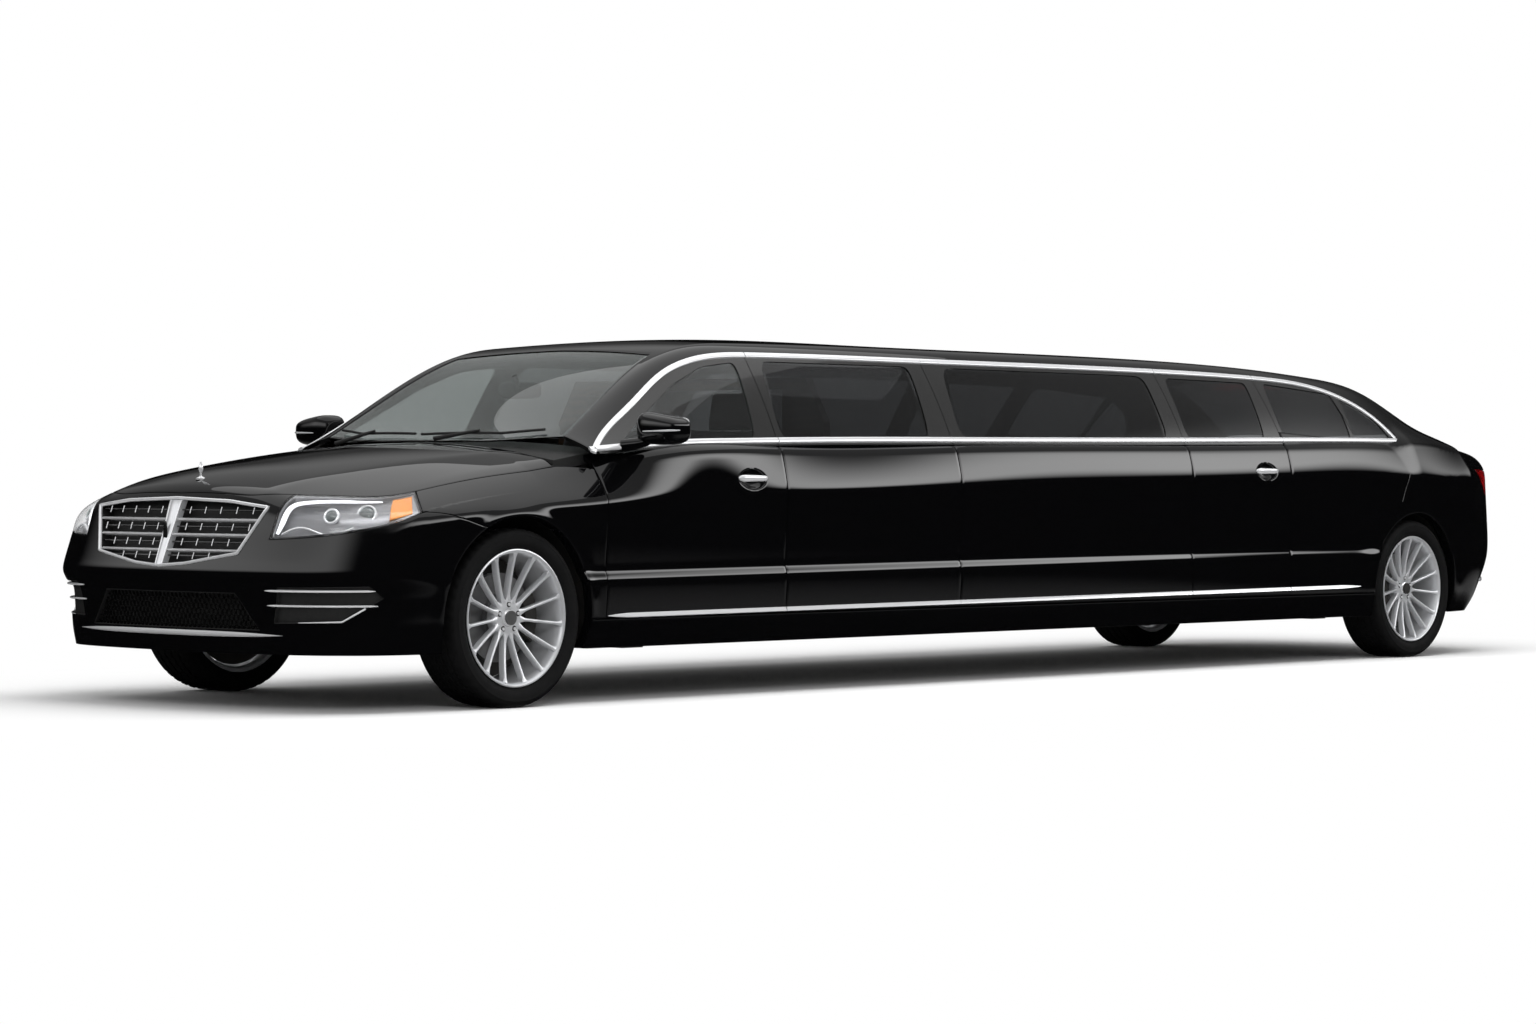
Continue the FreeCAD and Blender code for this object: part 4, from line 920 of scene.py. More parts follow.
def dip(grid):
    """Presses the bowls behind the handles: depth = 22 mm * (1 - r^4)^2 inside an oval."""
    for x, z in HANDLES:
        r2 = ((grid[..., 0] - x) / 0.090)**2 + ((grid[..., 2] - z) / 0.045)**2
        grid[..., 1] -= 0.022 * np.clip(1 - r2**2, 0, 1)**2
    return grid


def crowded(start, end, count, place, width):
    """Places from start to end, about three times as close together around one place: equal steps of the
    integral of a density with a bump there."""
    fine = np.linspace(start, end, 2000)
    density = 1 + 3 * np.exp(-((fine - place) / width)**4)
    total = np.concatenate([[0], np.cumsum((density[1:] + density[:-1]) / 2)])
    return np.interp(np.linspace(0, total[-1], count), total, fine)


def flank(x_front, x_rear, z_low, rows=76, pitch=PITCH, handle=None):
    """Skin between two upright seams, from a height up to the belt, with more points round a handle."""
    count = int(abs(x_front - x_rear) / pitch)
    x = np.linspace(x_front, x_rear, count)
    t = np.linspace(0, 1, rows)
    if handle:
        x = crowded(x_front, x_rear, count + 40, handle[0], 0.11)
        t = crowded(0, 1, rows, (handle[1] - z_low) / (belt_z(handle[0]) - z_low), 0.075)
    z = z_low + (belt_z(x) + 0.004 - z_low)[:, None] * t[None, :]
    return on_side(x[:, None] + 0 * z, z)


for name, x1, x2, handle in (("front", SEAM_1, SEAM_2, HANDLES[0]), ("rear", SEAM_4, SEAM_5, HANDLES[1])):
    door = Piece(name + "_door_skin_left")
    door.panel([dip(flank(x1, x2, SILL_EDGE, handle=handle))], lower_field)
    both(door, paint.material, (name + "_door_left", name + "_door_right"), "body_paint",
         (("door_%s_left" % name,), ("door_%s_right" % name,)))

fixed = Piece("side_panel_skins")
for x1, x2 in ((SEAM_2, SEAM_3), (SEAM_3, SEAM_4)):
    fixed.panel([flank(x1, x2, SILL_EDGE, pitch=0.018)], lower_field)
fixed.with_mirror().build(paint.material, "body", "body_paint", ("side_panels",))

ARCH_REAR = ARCH_RADIUS - 0.010


def arch_x(z, axle, radius, sign):
    """Where a wheel arch's edge stands at a height, on one side of its axle."""
    return axle + sign * np.sqrt(radius**2 - (z - ARCH_CENTRE_Z)**2)


z = np.linspace(UNDERSIDE + 0.001, SILL_EDGE, 14)
sill_ends = [arch_x(z, FRONT_AXLE, ARCH_RADIUS, -1), arch_x(z, REAR_AXLE, ARCH_REAR, 1)]
t = np.linspace(0, 1, 220)[:, None]
x = sill_ends[0][None, :] * (1 - t) + sill_ends[1][None, :] * t
sill = Piece("sill_skins")
sill_face = on_side(x, z[None, :] + 0 * x)
sill.panel([sill_face + 0.0025 * gradient(lower_field, sill_face)], lower_field, gap=0.0015)
sill.with_mirror().build(paint.material, "body", "body_paint")
print("flanks done: doors, fixed panels and sills")

# %% [markdown]
# ## Fenders
# A front fender wraps from the wheel arch over the shoulder to the hood. It is two grids that share an edge:
# one stands between the door seam and the arch, in the side view, and the other runs over the arch up to the
# hood, in a view that turns about a line inside the body. Their shared points are welded, so no line shows
# between them.

# %% Front fenders
def side_points(run):
    return on_side(run[:, 0], run[:, 1])


SPLIT = 140.0  # angle on the arch where the two grids meet
arch_back = arc(FRONT_AXLE, ARCH_CENTRE_Z, ARCH_RADIUS, 180 + math.degrees(math.asin(
    (ARCH_CENTRE_Z - SILL_EDGE) / ARCH_RADIUS)), SPLIT, 34)
arch_over = arc(FRONT_AXLE, ARCH_CENTRE_Z, ARCH_RADIUS, SPLIT, ARCH_SEAM_ANGLE, 56)
ledge = np.linspace((SEAM_1, arch_back[-1, 1]), arch_back[-1], 16)
seam_run = curve([arch_over[-1], (NOSE - 0.735, 0.744), (NOSE - 0.655, 0.762), (NOSE - 0.560, 0.769)], 30)
seam_back = np.linspace((SEAM_1, SILL_EDGE), ledge[0], 34)
foot = np.linspace(seam_back[0], arch_back[0], 16)
lower_patch = coons(SIDE, side_points(seam_back), side_points(arch_back), side_points(foot),
                    side_points(ledge))

base = joined(ledge, arch_over, seam_run)
hood_line = curve(HOOD_LINE, 900)
rear_lip = np.linspace((SEAM_1, 0.872), (HOOD_REAR, 0.815), 60)[:-1]
side_lip = hood_line[hood_line[:, 0] <= LAMP_REAR][::-1]
lip = np.vstack([rear_lip, side_lip])
reach = SEAM_1 + (base[:, 0] - SEAM_1) / (base[-1, 0] - SEAM_1) * (LAMP_REAR - SEAM_1)
lip_y = np.interp(reach, lip[:, 0], lip[:, 1])
fender_top = on_top(reach, lip_y)
upper_patch = coons(SHOULDER_VIEW, side_points(base), fender_top, rows=86)
fender = Piece("fender_skins")
fender.panel([lower_patch, upper_patch], lower_field)
fender.with_mirror().build(paint.material, "body", "body_paint", ("front_fenders",))
print("fender grids", lower_patch.shape[:2], upper_patch.shape[:2])

# %% [markdown]
# ## Hood
# One grid from the centre line to the side edge, mirrored and welded along the middle, so the crown is
# unbroken.

# %% Hood
CORNER_Y = 0.572
front_run = hood_line[hood_line[:, 1] <= CORNER_Y]
side_run = hood_line[(hood_line[:, 1] >= CORNER_Y)]
front_run = np.vstack([front_run, side_run[:1]])
middle = np.stack([np.linspace(HOOD_REAR, front_run[0, 0], 100), np.zeros(100)], axis=1)
hood_grid = coons(
    TOP, on_top(middle[:, 0], middle[:, 1]), on_top(*path(side_run[::-1], 100).T),
    on_top(np.full(64, HOOD_REAR), np.linspace(0, side_run[-1, 1], 64)), on_top(*path(front_run, 64).T))
hood = Piece("hood_skin")
hood.panel([hood_grid, other_half(hood_grid)], lower_field, 0.012)
hood.build(paint.material, "hood", "body_paint", ("hood",))
print("hood grid", hood_grid.shape[:2], "front edge height %.3f" % hood_grid[-1, 0, 2])

# %% [markdown]
# ## Front bumper
# The bumper is a block layout: rows at the chin, the intakes' tops, the grille's and lamps' lower edges, and
# columns at the grille, the side intake and the wheel arch. Blocks that are openings are left out. Every
# block is a Coons patch in angle and height about an upright line inside the nose, and neighbours share
# their points.

# %% Bumper blocks
def front_point(y, z):
    return on_front(np.array([y]), np.array([z]))[0]


def front_run_of(points, count):
    """A broken line drawn in the front view, evenly spaced and laid on the nose."""
    line = path(points, count)
    return on_front(line[:, 0], line[:, 1])


def straight(view, a, b, count):
    """Straight in the view's coordinates between two points on the skin."""
    a, b = view.flat(a[None]), view.flat(b[None])
    t = np.linspace(0, 1, count)[:, None]
    return view.solid(a * (1 - t) + b * t)


N = 16  # cells along a block's side
CHIN = UNDERSIDE + 0.002
lamp_under = on_side(*curve([(NOSE - 0.091, 0.664), (NOSE - 0.250, 0.690), (NOSE - 0.405, 0.722),
                             (NOSE - 0.560, 0.769)], 200).T)
lamp_under = lamp_under[lamp_under[:, 1] > 0.545]
lamp_inner_low = lamp_under[0]
cut = int(0.62 * len(lamp_under))
hood_at_lamp = on_top(*hood_line[hood_line[:, 1] <= 0.545][-1:].T)[0]
arch_chin = side_points(arc(FRONT_AXLE, ARCH_CENTRE_Z, ARCH_RADIUS, -18.9, 0.0, N))
arch_mid = side_points(arc(FRONT_AXLE, ARCH_CENTRE_Z, ARCH_RADIUS, 0.0, 20.0, N))
arch_up = side_points(arc(FRONT_AXLE, ARCH_CENTRE_Z, ARCH_RADIUS, 20.0, ARCH_SEAM_ANGLE, 2 * N))
P = {
    "intake_low": front_point(0.495, 0.316), "intake_high": front_point(0.385, 0.455),
    "side_a": front_point(0.565, 0.345), "side_b": front_point(0.800, 0.352),
    "side_c": front_point(0.880, 0.440), "side_d": front_point(0.865, 0.485),
    "side_e": front_point(0.600, 0.480), "grille_low": front_point(0.410, 0.607),
    "grille_high": front_point(0.500, 0.784), "mid_low": front_point(0.0, 0.316),
    "mid_high": front_point(0.0, 0.455), "mid_chin": front_point(0.0, CHIN),
}


def chin_under(point):
    """The point of the chin's edge straight below another, by angle about the nose's upright line."""
    angle = NOSE_VIEW.flat(point[None])[0, 0]
    return NOSE_VIEW.solid(np.array([[angle, CHIN]]))[0]


VIEW = NOSE_VIEW
runs = {
    "intake_floor": straight(VIEW, P["mid_low"], P["intake_low"], N * 2),
    "intake_roof": straight(VIEW, P["mid_high"], P["intake_high"], N * 2),
    "b_low": straight(VIEW, P["intake_low"], P["side_a"], N),
    "b_high": straight(VIEW, P["intake_high"], P["side_e"], N),
    "c_low": straight(VIEW, P["side_a"], P["side_b"], N * 2),
    "c_high": straight(VIEW, P["side_e"], P["side_d"], N * 2),
    "d_low": straight(VIEW, P["side_b"], arch_chin[-1], N),
    "d_high": straight(VIEW, P["side_d"], arch_up[0], N),
}
chin = {k: chin_under(P[k]) for k in ("intake_low", "side_a", "side_b")}
side_end = np.vstack([path(np.vstack([P["side_b"], P["side_c"]]), N // 2),
                      path(np.vstack([P["side_c"], P["side_d"]]), N // 2 + 1)[1:]])
side_end = settle(lower_field, side_end)
arch_mid = path(arch_mid, len(side_end))
arch_mid[0], arch_mid[-1] = arch_chin[-1], arch_up[0]
grille_floor = front_run_of([(0, 0.555), (0.150, 0.566), (0.410, 0.607)], N * 2)
lamp_a, lamp_b = path(lamp_under[:cut], N * 2), path(lamp_under[cut - 1:], N)
top_d = path(np.vstack([lamp_b, side_points(seam_run[::-1])[1:]]), N)
blocks = [
    coons(VIEW, straight(VIEW, P["mid_chin"], chin["intake_low"], N * 2), runs["intake_floor"], rows=N),
    coons(VIEW, straight(VIEW, chin["intake_low"], chin["side_a"], N), runs["b_low"], rows=N),
    coons(VIEW, straight(VIEW, chin["side_a"], chin["side_b"], N * 2), runs["c_low"], rows=N),
    coons(VIEW, straight(VIEW, chin["side_b"], arch_chin[0], N), runs["d_low"],
          straight(VIEW, chin["side_b"], P["side_b"], N), arch_chin),
    coons(VIEW, runs["b_low"], runs["b_high"], rows=20),
    coons(VIEW, runs["d_low"], runs["d_high"], side_end, arch_mid),
    coons(VIEW, runs["intake_roof"], grille_floor, rows=2 * N),
    coons(VIEW, runs["b_high"], straight(VIEW, P["grille_low"], lamp_inner_low, N), rows=2 * N),
    coons(VIEW, runs["c_high"], lamp_a, rows=2 * N),
    coons(VIEW, runs["d_high"], top_d, straight(VIEW, P["side_d"], lamp_a[-1], 2 * N), arch_up),
]
nose_free = FreeView(lower_field)
grille_side = front_run_of([(0.410, 0.607), (0.500, 0.784)], 24)
lamp_inner = straight(nose_free, lamp_inner_low, hood_at_lamp, 24)
cheek_top = straight(nose_free, P["grille_high"], hood_at_lamp, N)
blocks.append(coons(nose_free, straight(VIEW, P["grille_low"], lamp_inner_low, N), cheek_top, grille_side,
                    lamp_inner))
hood_front = on_top(*path(front_run[front_run[:, 1] <= 0.545], 40).T)
hood_front[-1] = hood_at_lamp
brow = front_run_of([(0, 0.816), (0.300, 0.806), (0.500, 0.784)], 40)
blocks.append(coons(nose_free, brow, hood_front, straight(nose_free, brow[0], hood_front[0], N), cheek_top))
bumper = Piece("front_bumper_skin")
bumper.panel(blocks + [other_half(b) for b in blocks], lower_field, 0.018, gap=0.0015)
bumper.build(paint.material, "body", "body_paint", ("bumper_front",))
print("front bumper of %d blocks" % (2 * len(blocks)))

# %% [markdown]
# ## Roof, pillars and rear quarters
# On the real car the roof, its pillars and the rear quarters are welded together before paint, with no line
# between them. They are separate grids here too, and share their edges: roof to windscreen pillar, roof to
# rear pillar, and rear pillar to quarter. Only the true shut lines, to door, lamp, lid and bumper, are left
# open.

# %% Roof, windscreen pillars, rear pillars and quarters
GREEN_FREE = FreeView(green_field)
MIXED_SHOULDER = SectionView(0.45, 0.60, mixed_field)
SCREEN_TOP_X, SCREEN_CORNER = SEAM_1 - 0.640, (SEAM_1 - 0.635, 0.575)
REAR_TOP_X = REAR_AXLE + 0.200


def rail_points(x_from, x_to, count):
    """The upper moulding's line as points on the glasshouse."""
    x = np.linspace(x_from, x_to, count)
    z = np.interp(-x, -rail[:, 0], rail[:, 1])
    return on_side(x, z, green_field)


def plan_points(points, count, field=green_field):
    """A smooth line drawn from above, laid on the glasshouse."""
    line = curve(points, count)
    return on_top(line[:, 0], line[:, 1], field, 0.70)


rail_low = rail_points(SCREEN_TOP_X, REAR_TOP_X, 150)
screen_top = plan_points([SCREEN_CORNER, (SEAM_1 - 0.662, 0.350), (SEAM_1 - 0.690, 0.0)], 24)
rear_top = plan_points([(REAR_TOP_X, 0.500), (REAR_AXLE + 0.222, 0.260), (REAR_AXLE + 0.230, 0.0)], 24)
pillar_top = straight(GREEN_FREE, rail_low[0], screen_top[0], 12)
sail_top = straight(GREEN_FREE, rail_low[-1], rear_top[0], 18)
pillar_top, sail_top = joined(pillar_top, screen_top), joined(sail_top, rear_top)
middle = plan_points([(SEAM_1 - 0.690, 0.0), (REAR_AXLE + 0.230, 0.0)], 150)
roof_first = settle(green_field, joined(path(pillar_top[:12], 12), path(pillar_top[11:], 30)))
roof_last = settle(green_field, joined(path(sail_top[:18], 18), path(sail_top[17:], 24)))
assert len(roof_first) == len(roof_last)
roof_grid = coons(GREEN_WRAP, rail_low, middle, roof_first, roof_last)

screen_side = plan_points([(SEAM_1 + 0.005, 0.705), (SEAM_1 - 0.315, 0.642), SCREEN_CORNER], 60)
rail_front = rail_points(SEAM_1 + 0.018, SCREEN_TOP_X, 60)
pillar_grid = coons(GREEN_FREE, rail_front, screen_side,
                    straight(GREEN_FREE, rail_front[0], screen_side[0], 12), roof_first[:12])

# the rear quarter's lower edge: sill, arch and bumper seam
QUARTER_SPLIT = 42.0
LAMP_TIP_X = TAIL + 0.482
arch_front = arc(REAR_AXLE, ARCH_CENTRE_Z, ARCH_REAR,
                 -math.degrees(math.asin((ARCH_CENTRE_Z - SILL_EDGE) / ARCH_REAR)), QUARTER_SPLIT, 30)
rear_ledge = np.linspace((SEAM_5, arch_front[-1, 1]), arch_front[-1], 40)
rear_over = arc(REAR_AXLE, ARCH_CENTRE_Z, ARCH_REAR, QUARTER_SPLIT, 147.0, 72)
rear_seam = curve([rear_over[-1], (TAIL + 0.752, 0.602), (TAIL + 0.675, 0.652), (TAIL + 0.560, 0.686),
                   (LAMP_TIP_X, 0.692)], 30)
quarter_foot = np.linspace((SEAM_5, SILL_EDGE), arch_front[0], 40)
quarter_low = coons(SIDE, side_points(np.linspace((SEAM_5, SILL_EDGE), rear_ledge[0], 30)),
                    side_points(arch_front), side_points(quarter_foot), side_points(rear_ledge))

base = joined(rear_ledge, rear_over, rear_seam)
x = base[:, 0].copy()
TIP_X = REAR_TIP[0]
tip_at, boot_at = np.argmin(np.abs(x - TIP_X)), np.argmin(np.abs(x - BOOT_FRONT))
x[tip_at], x[boot_at] = TIP_X, BOOT_FRONT
BOOT_HALF = 0.615  # half the trunk lid's width, from front to rear

belt_part = on_side(x[:tip_at + 1], belt_z(x[:tip_at + 1]) + 0.004)
boot_corner = on_top(np.array([BOOT_FRONT]), np.array([BOOT_HALF]), lower_field)[0]
t = ((TIP_X - x[tip_at:boot_at + 1]) / (TIP_X - BOOT_FRONT))[:, None]
sweep_part = belt_part[-1] * (1 - t) + boot_corner * t
sweep_part[:, 1] += 0.030 * np.sin(np.pi * t[:, 0])
sweep_part = settle(mixed_field, sweep_part)
sweep_part[0], sweep_part[-1] = belt_part[-1], boot_corner
deck_part = on_top(x[boot_at:], np.full(len(x) - boot_at, BOOT_HALF))
quarter_top = joined(belt_part, sweep_part, deck_part)

lamp_tip = on_side(np.array([LAMP_TIP_X]), np.array([0.972]))[0]
base_points = side_points(base)
low_end = straight(MIXED_SHOULDER, base_points[-1], lamp_tip, 44)
high_end = straight(MIXED_SHOULDER, lamp_tip, quarter_top[-1], 17)
quarter_high = coons(MIXED_SHOULDER, base_points, quarter_top, None, joined(low_end, high_end), rows=60)

# the rear pillar shares its lower edge with the quarter
rail_end = rail_points(REAR_TOP_X, TIP_X, 26)
rail_end[-1] = sweep_part[0]
pillar_low = joined(rail_end, sweep_part)
pillar_high = path(joined(plan_points([(REAR_TOP_X, 0.500), (REAR_AXLE - 0.500, 0.590)], 60),
                          on_top(np.array([BOOT_FRONT]), np.array([0.605]), mixed_field)), len(pillar_low))
pillar_high = settle(mixed_field, pillar_high)
pillar_high[0] = roof_last[17]
sail_grid = coons(MIXED, pillar_low, pillar_high, roof_last[:18], None, rows=18)
sail_grid[:, 0], sail_grid[0] = pillar_low, roof_last[:18]

# %% [markdown]
# ## Trunk lid, tail lamps and rear bumper
# The lid folds from the deck down to the rear face, so its grid coordinates are the width and an angle about
# a line across the trunk. Lamps and bumper run round the tail's corner, about an upright line.

# %% The tail
class FoldView:
    """Grid coordinates y and the angle about a line across the car, zero straight up and a right angle at
    the rear."""

    def __init__(self, x, z, field=lower_field):
        self.x, self.z, self.field = x, z, field

    def flat(self, p):
        return stack(p[..., 1], np.arctan2(self.x - p[..., 0], p[..., 2] - self.z))

    def solid(self, q):
        origin = stack(self.x, q[..., 0], self.z)
        return cast(self.field, origin, stack(-np.sin(q[..., 1]), 0 * q[..., 1], np.cos(q[..., 1])))


BOOT_SILL = 0.700
FOLD = FoldView(TAIL + 0.45, BOOT_SILL)
start = math.atan2(FOLD.x - BOOT_FRONT, boot_corner[2] - BOOT_SILL)
angles = np.linspace(start, math.pi / 2, 90)
lid_edge = FOLD.solid(stack(np.full(90, BOOT_HALF), angles))
centre_start = math.atan2(FOLD.x - BOOT_FRONT,
                          on_top(np.array([BOOT_FRONT]), np.array([0.0]))[0, 2] - BOOT_SILL)
lid_middle = FOLD.solid(stack(np.zeros(90), np.linspace(centre_start, math.pi / 2, 90)))
lid_grid = coons(FOLD, lid_middle, lid_edge, rows=46)
lid = Piece("trunk_lid_skin")
lid.panel([lid_grid, other_half(lid_grid)], lower_field, 0.014)
lid.build(paint.material, "trunk_lid", "body_paint", ("trunk_lid",))


def lid_edge_at(z_from, z_to, count):
    """The lid's side edge down the rear face, between two heights."""
    back = lid_edge[len(lid_edge) // 3:]
    z = np.linspace(z_from, z_to, count)
    order = np.argsort(back[:, 2])
    return np.stack([np.interp(z, back[order, 2], back[order, k]) for k in range(3)], axis=1)


LAMP_LOW_Z, LAMP_HIGH_Z = 0.800, 0.942
lamp_foot = side_points(curve([(LAMP_TIP_X, 0.972), (TAIL + 0.425, 0.898), (TAIL + 0.385, 0.858),
                               (TAIL + 0.290, 0.822), (TAIL + 0.180, 0.808)], 40))
corner_low, corner_high = lid_edge_at(LAMP_LOW_Z, LAMP_HIGH_Z, 2)
lamp_floor = path(joined(lamp_foot, straight(TAIL_VIEW, lamp_foot[-1], corner_low, 20)), 50)
lamp_roof = path(joined(side_points(np.linspace((LAMP_TIP_X, 0.972), (TAIL + 0.200, 0.963), 30)),
                        straight(TAIL_VIEW, on_side(np.array([TAIL + 0.200]), np.array([0.963]))[0],
                                 corner_high, 20)), 50)
seam_corner = lid_edge_at(BOOT_SILL, BOOT_SILL, 1)[0]
tail_seam = straight(TAIL_VIEW, base_points[-1], seam_corner, 50)
below_lamp = coons(TAIL_VIEW, tail_seam, lamp_floor, low_end, lid_edge_at(BOOT_SILL, LAMP_LOW_Z, 44))
deck_end = int(0.62 * 90)
deck_run = lid_edge[:deck_end]
deck_run = deck_run[deck_run[:, 0] < LAMP_TIP_X]
deck_run = path(np.vstack([quarter_top[-1][None], deck_run]), 50)
rise = lid_edge_at(LAMP_HIGH_Z, deck_run[-1, 2], 17)
rise[-1] = deck_run[-1]
above_lamp = coons(MIXED, lamp_roof, deck_run, high_end, rise)

shell_patches = [roof_grid, pillar_grid, quarter_low, quarter_high, sail_grid, below_lamp, above_lamp]
body_shell = Piece("roof_pillars_and_quarters")
body_shell.panel(shell_patches + [other_half(g) for g in shell_patches], mixed_field, 0.018, gap=0.0015)
body_shell.build(paint.material, "body", "body_paint", ("roof_and_pillars", "rear_quarters"))

lens_low = path(lamp_floor[6:], 50)
lens_low[0] = lamp_floor[6]
lens_grid = coons(TAIL_VIEW, lens_low, lamp_roof, straight(TAIL_VIEW, lens_low[0], lamp_roof[0], 24),
                  lid_edge_at(LAMP_LOW_Z, LAMP_HIGH_Z, 24))
lens = Piece("tail_lamp_lenses")
lens.panel([lens_grid], lower_field, 0.010)
lens.with_mirror().build(red_glass.material, "body", "tail_lens", ("tail_lamps",))

rear_chin = TAIL_VIEW.flat(side_points(arc(REAR_AXLE, ARCH_CENTRE_Z, ARCH_REAR, 199.0, 147.0, 30)))
rear_arch_run = TAIL_VIEW.solid(rear_chin)
tail_centre = TAIL_VIEW.solid(np.array([(0.0, CHIN), (0.0, BOOT_SILL)]))
seam_back = path(joined(straight(TAIL_VIEW, tail_centre[1], seam_corner, 30), tail_seam[::-1],
                        side_points(rear_seam[::-1])), 130)
rear_grid = coons(TAIL_VIEW, straight(TAIL_VIEW, tail_centre[0], rear_arch_run[0], 130), seam_back,
                  straight(TAIL_VIEW, tail_centre[0], tail_centre[1], 30), rear_arch_run)
rear_bumper = Piece("rear_bumper_skin")
rear_bumper.panel([rear_grid, other_half(rear_grid)], lower_field, 0.018, gap=0.0015)
rear_bumper.build(paint.material, "body", "body_paint", ("bumper_rear",))
print("tail done: lid edge from %s to %s" % (lid_edge[0].round(3), lid_edge[-1].round(3)))

# %% [markdown]
# ## Glass and its frames
# Each window is a thin pane of tinted glass, set a few millimetres behind a gloss black frame. The frame is
# a ring of quads between the bay's outline and the window's, so that one can look through the window, as on
# the car.

# %% Window frames and panes
def bay(x_front, x_rear, window, counts=(40, 16, 60, 10)):
    """Outline of a bay and of its window, as matched closed runs in the side view. The window's corners are
    given as front-low, then along the top from the front, rear-high and rear-low."""
    window = np.array(window)
    front_x = min(x_front, SEAM_1 - 0.012)
    rear_x = max(x_rear, TIP_X + 0.010)
    low_x = np.linspace(front_x, rear_x, counts[0])
    top_x = np.linspace(rear_x, front_x, counts[2])
    low = np.stack([low_x, belt_z(low_x) - 0.004], axis=1)
    high = np.stack([top_x, np.interp(-top_x, -rail[:, 0], rail[:, 1])], axis=1)
    rear, front = np.linspace(low[-1], high[0], counts[1]), np.linspace(high[-1], low[0], counts[3])
    outer = joined(low, rear, high, front)[:-1]
    w_low = np.linspace(window[0], window[-1], counts[0])
    w_rear = np.linspace(window[-1], window[-2], counts[1])
    w_high = path(window[1:-1][::-1], counts[2])
    w_front = np.linspace(window[1], window[0], counts[3])
    inner = joined(w_low, w_rear, w_high, w_front)[:-1]
    return outer, inner


def rounded_corners(loop, rounds=6):
    """Softens a closed run's corners by averaging each point with its neighbours."""
    for _ in range(rounds):
        loop = (np.roll(loop, 1, axis=0) + 2 * loop + np.roll(loop, -1, axis=0)) / 4
    return loop


def frame_piece(name, outer, inner, field=green_field):
    """Frame between two closed runs: flat outer face, an edge turned in by 6 mm at the glass, and a closed
    back."""
    inner = rounded_corners(inner)
    t = np.array([0.0, 0.3, 0.7, 1.0])[None, :, None]
    flat = outer[:, None] * (1 - t) + inner[:, None] * t
    face = on_side(flat[..., 0], flat[..., 1], field)
    normal = gradient(field, face)
    face = face - 0.0015 * normal
    inner_turn = face[:, -1:] - 0.007 * normal[:, -1:]
    back = (face - 0.012 * normal)[:, ::-1]
    ring = np.concatenate([face, inner_turn, back, face[:, :1]], axis=1)
    return Piece(name).grid(ring, wrap=True)


def pane_piece(name, window, field=green_field, depth=0.0045, thickness=0.004, gap=-0.004):
    """Glass a little larger than its opening, behind the frame."""
    window = np.array(window)
    low, high = path(window[[0, -1]], 46), path(window[1:-1], 46)
    grid = coons(GREEN_SIDE, on_side(low[:, 0], low[:, 1], field), on_side(high[:, 0], high[:, 1], field),
                 rows=24)
    grid = grid - depth * gradient(field, grid)
    return Piece(name).panel([grid], field, thickness, gap, 0.0008)


S1, S2, S3, S4, S5 = SEAM_1, SEAM_2, SEAM_3, SEAM_4, SEAM_5
BAYS = [  # name, front seam, rear seam, glass, left body, replaced node, window corners
    ("front_door_window", S1, S2, front_glass, "front_door_left", "glass_door_front_left", [
        (S1 - 0.175, 1.058), (S1 - 0.205, 1.076), (S1 - 0.375, 1.176), (S1 - 0.575, 1.290),
        (S1 - 0.790, 1.372), (S2 + 0.075, 1.398), (S2 + 0.130, 1.064)]),
    ("second_window", S2, S3, smoked_glass, "body", "", [
        (S2 - 0.025, 1.066), (S2 - 0.075, 1.404), (S3 + 0.095, 1.406), (S3 + 0.150, 1.077)]),
    ("third_window", S3, S4, smoked_glass, "body", "", [
        (S3 - 0.060, 1.080), (S3 - 0.125, 1.406), (S4 + 0.100, 1.404), (S4 + 0.118, 1.093)]),
    ("rear_door_window", S4, S5, smoked_glass, "rear_door_left", "glass_door_rear_left", [
        (S4 - 0.036, 1.096), (S4 - 0.062, 1.398), (S5 + 0.078, 1.390), (S5 + 0.142, 1.104)]),
    ("quarter_window", S5, S5 - 0.690, smoked_glass, "body", "", [
        (S5 - 0.022, 1.106), (S5 - 0.068, 1.390), (S5 - 0.720, 1.346), (S5 - 0.650, 1.112)]),
    ("corner_window", S5 - 0.690, TIP_X, smoked_glass, "body", "side_windows", [
        (S5 - 0.674, 1.113), (S5 - 0.760, 1.342), (S5 - 0.900, 1.285), (S5 - 1.000, 1.208),
        (S5 - 1.050, 1.118)]),
]
for name, x1, x2, finish, body, node, window in BAYS:
    outer, inner = bay(x1 - 0.002, x2 + 0.002, window)
    edge = frame_piece(name + "_frame_left", outer, inner)
    glass_pane = pane_piece(name + "_pane_left", window)
    right = body.replace("left", "right")
    gone = (node,) if node else ()
    twin = (node.replace("left", "right"),) if node.endswith("left") else ()
    both(edge, trim.material, (body, right), "plastic")
    both(glass_pane, finish.material, (body, right), "window_glass", (gone, twin))

screen_low = plan_points([(SEAM_1 + 0.140, 0.0), (SEAM_1 + 0.103, 0.420), (SEAM_1 + 0.003, 0.703)][::-1], 40)
screen_high = path(screen_top, 40)
screen_grid = coons(GREEN_FREE, screen_low, screen_high, path(screen_side, 40), None, rows=40)
screen_grid = settle(green_field, screen_grid)
screen_grid = screen_grid - 0.003 * gradient(green_field, screen_grid)
Piece("windscreen_pane").panel([screen_grid, other_half(screen_grid)], green_field, 0.006, 0.001,
                               0.001).build(
    clear_glass.material, "body", "screen_glass", ("windscreen",))
back_low = plan_points([(REAR_AXLE - 0.500, 0.590), (REAR_AXLE - 0.545, 0.300), (REAR_AXLE - 0.568, 0.0)],
                       40)
back_side = plan_points([(REAR_TOP_X, 0.500), (REAR_AXLE - 0.500, 0.590)], 40)
back_grid = coons(GREEN_FREE, path(rear_top, 40), back_low, back_side, None, rows=40)
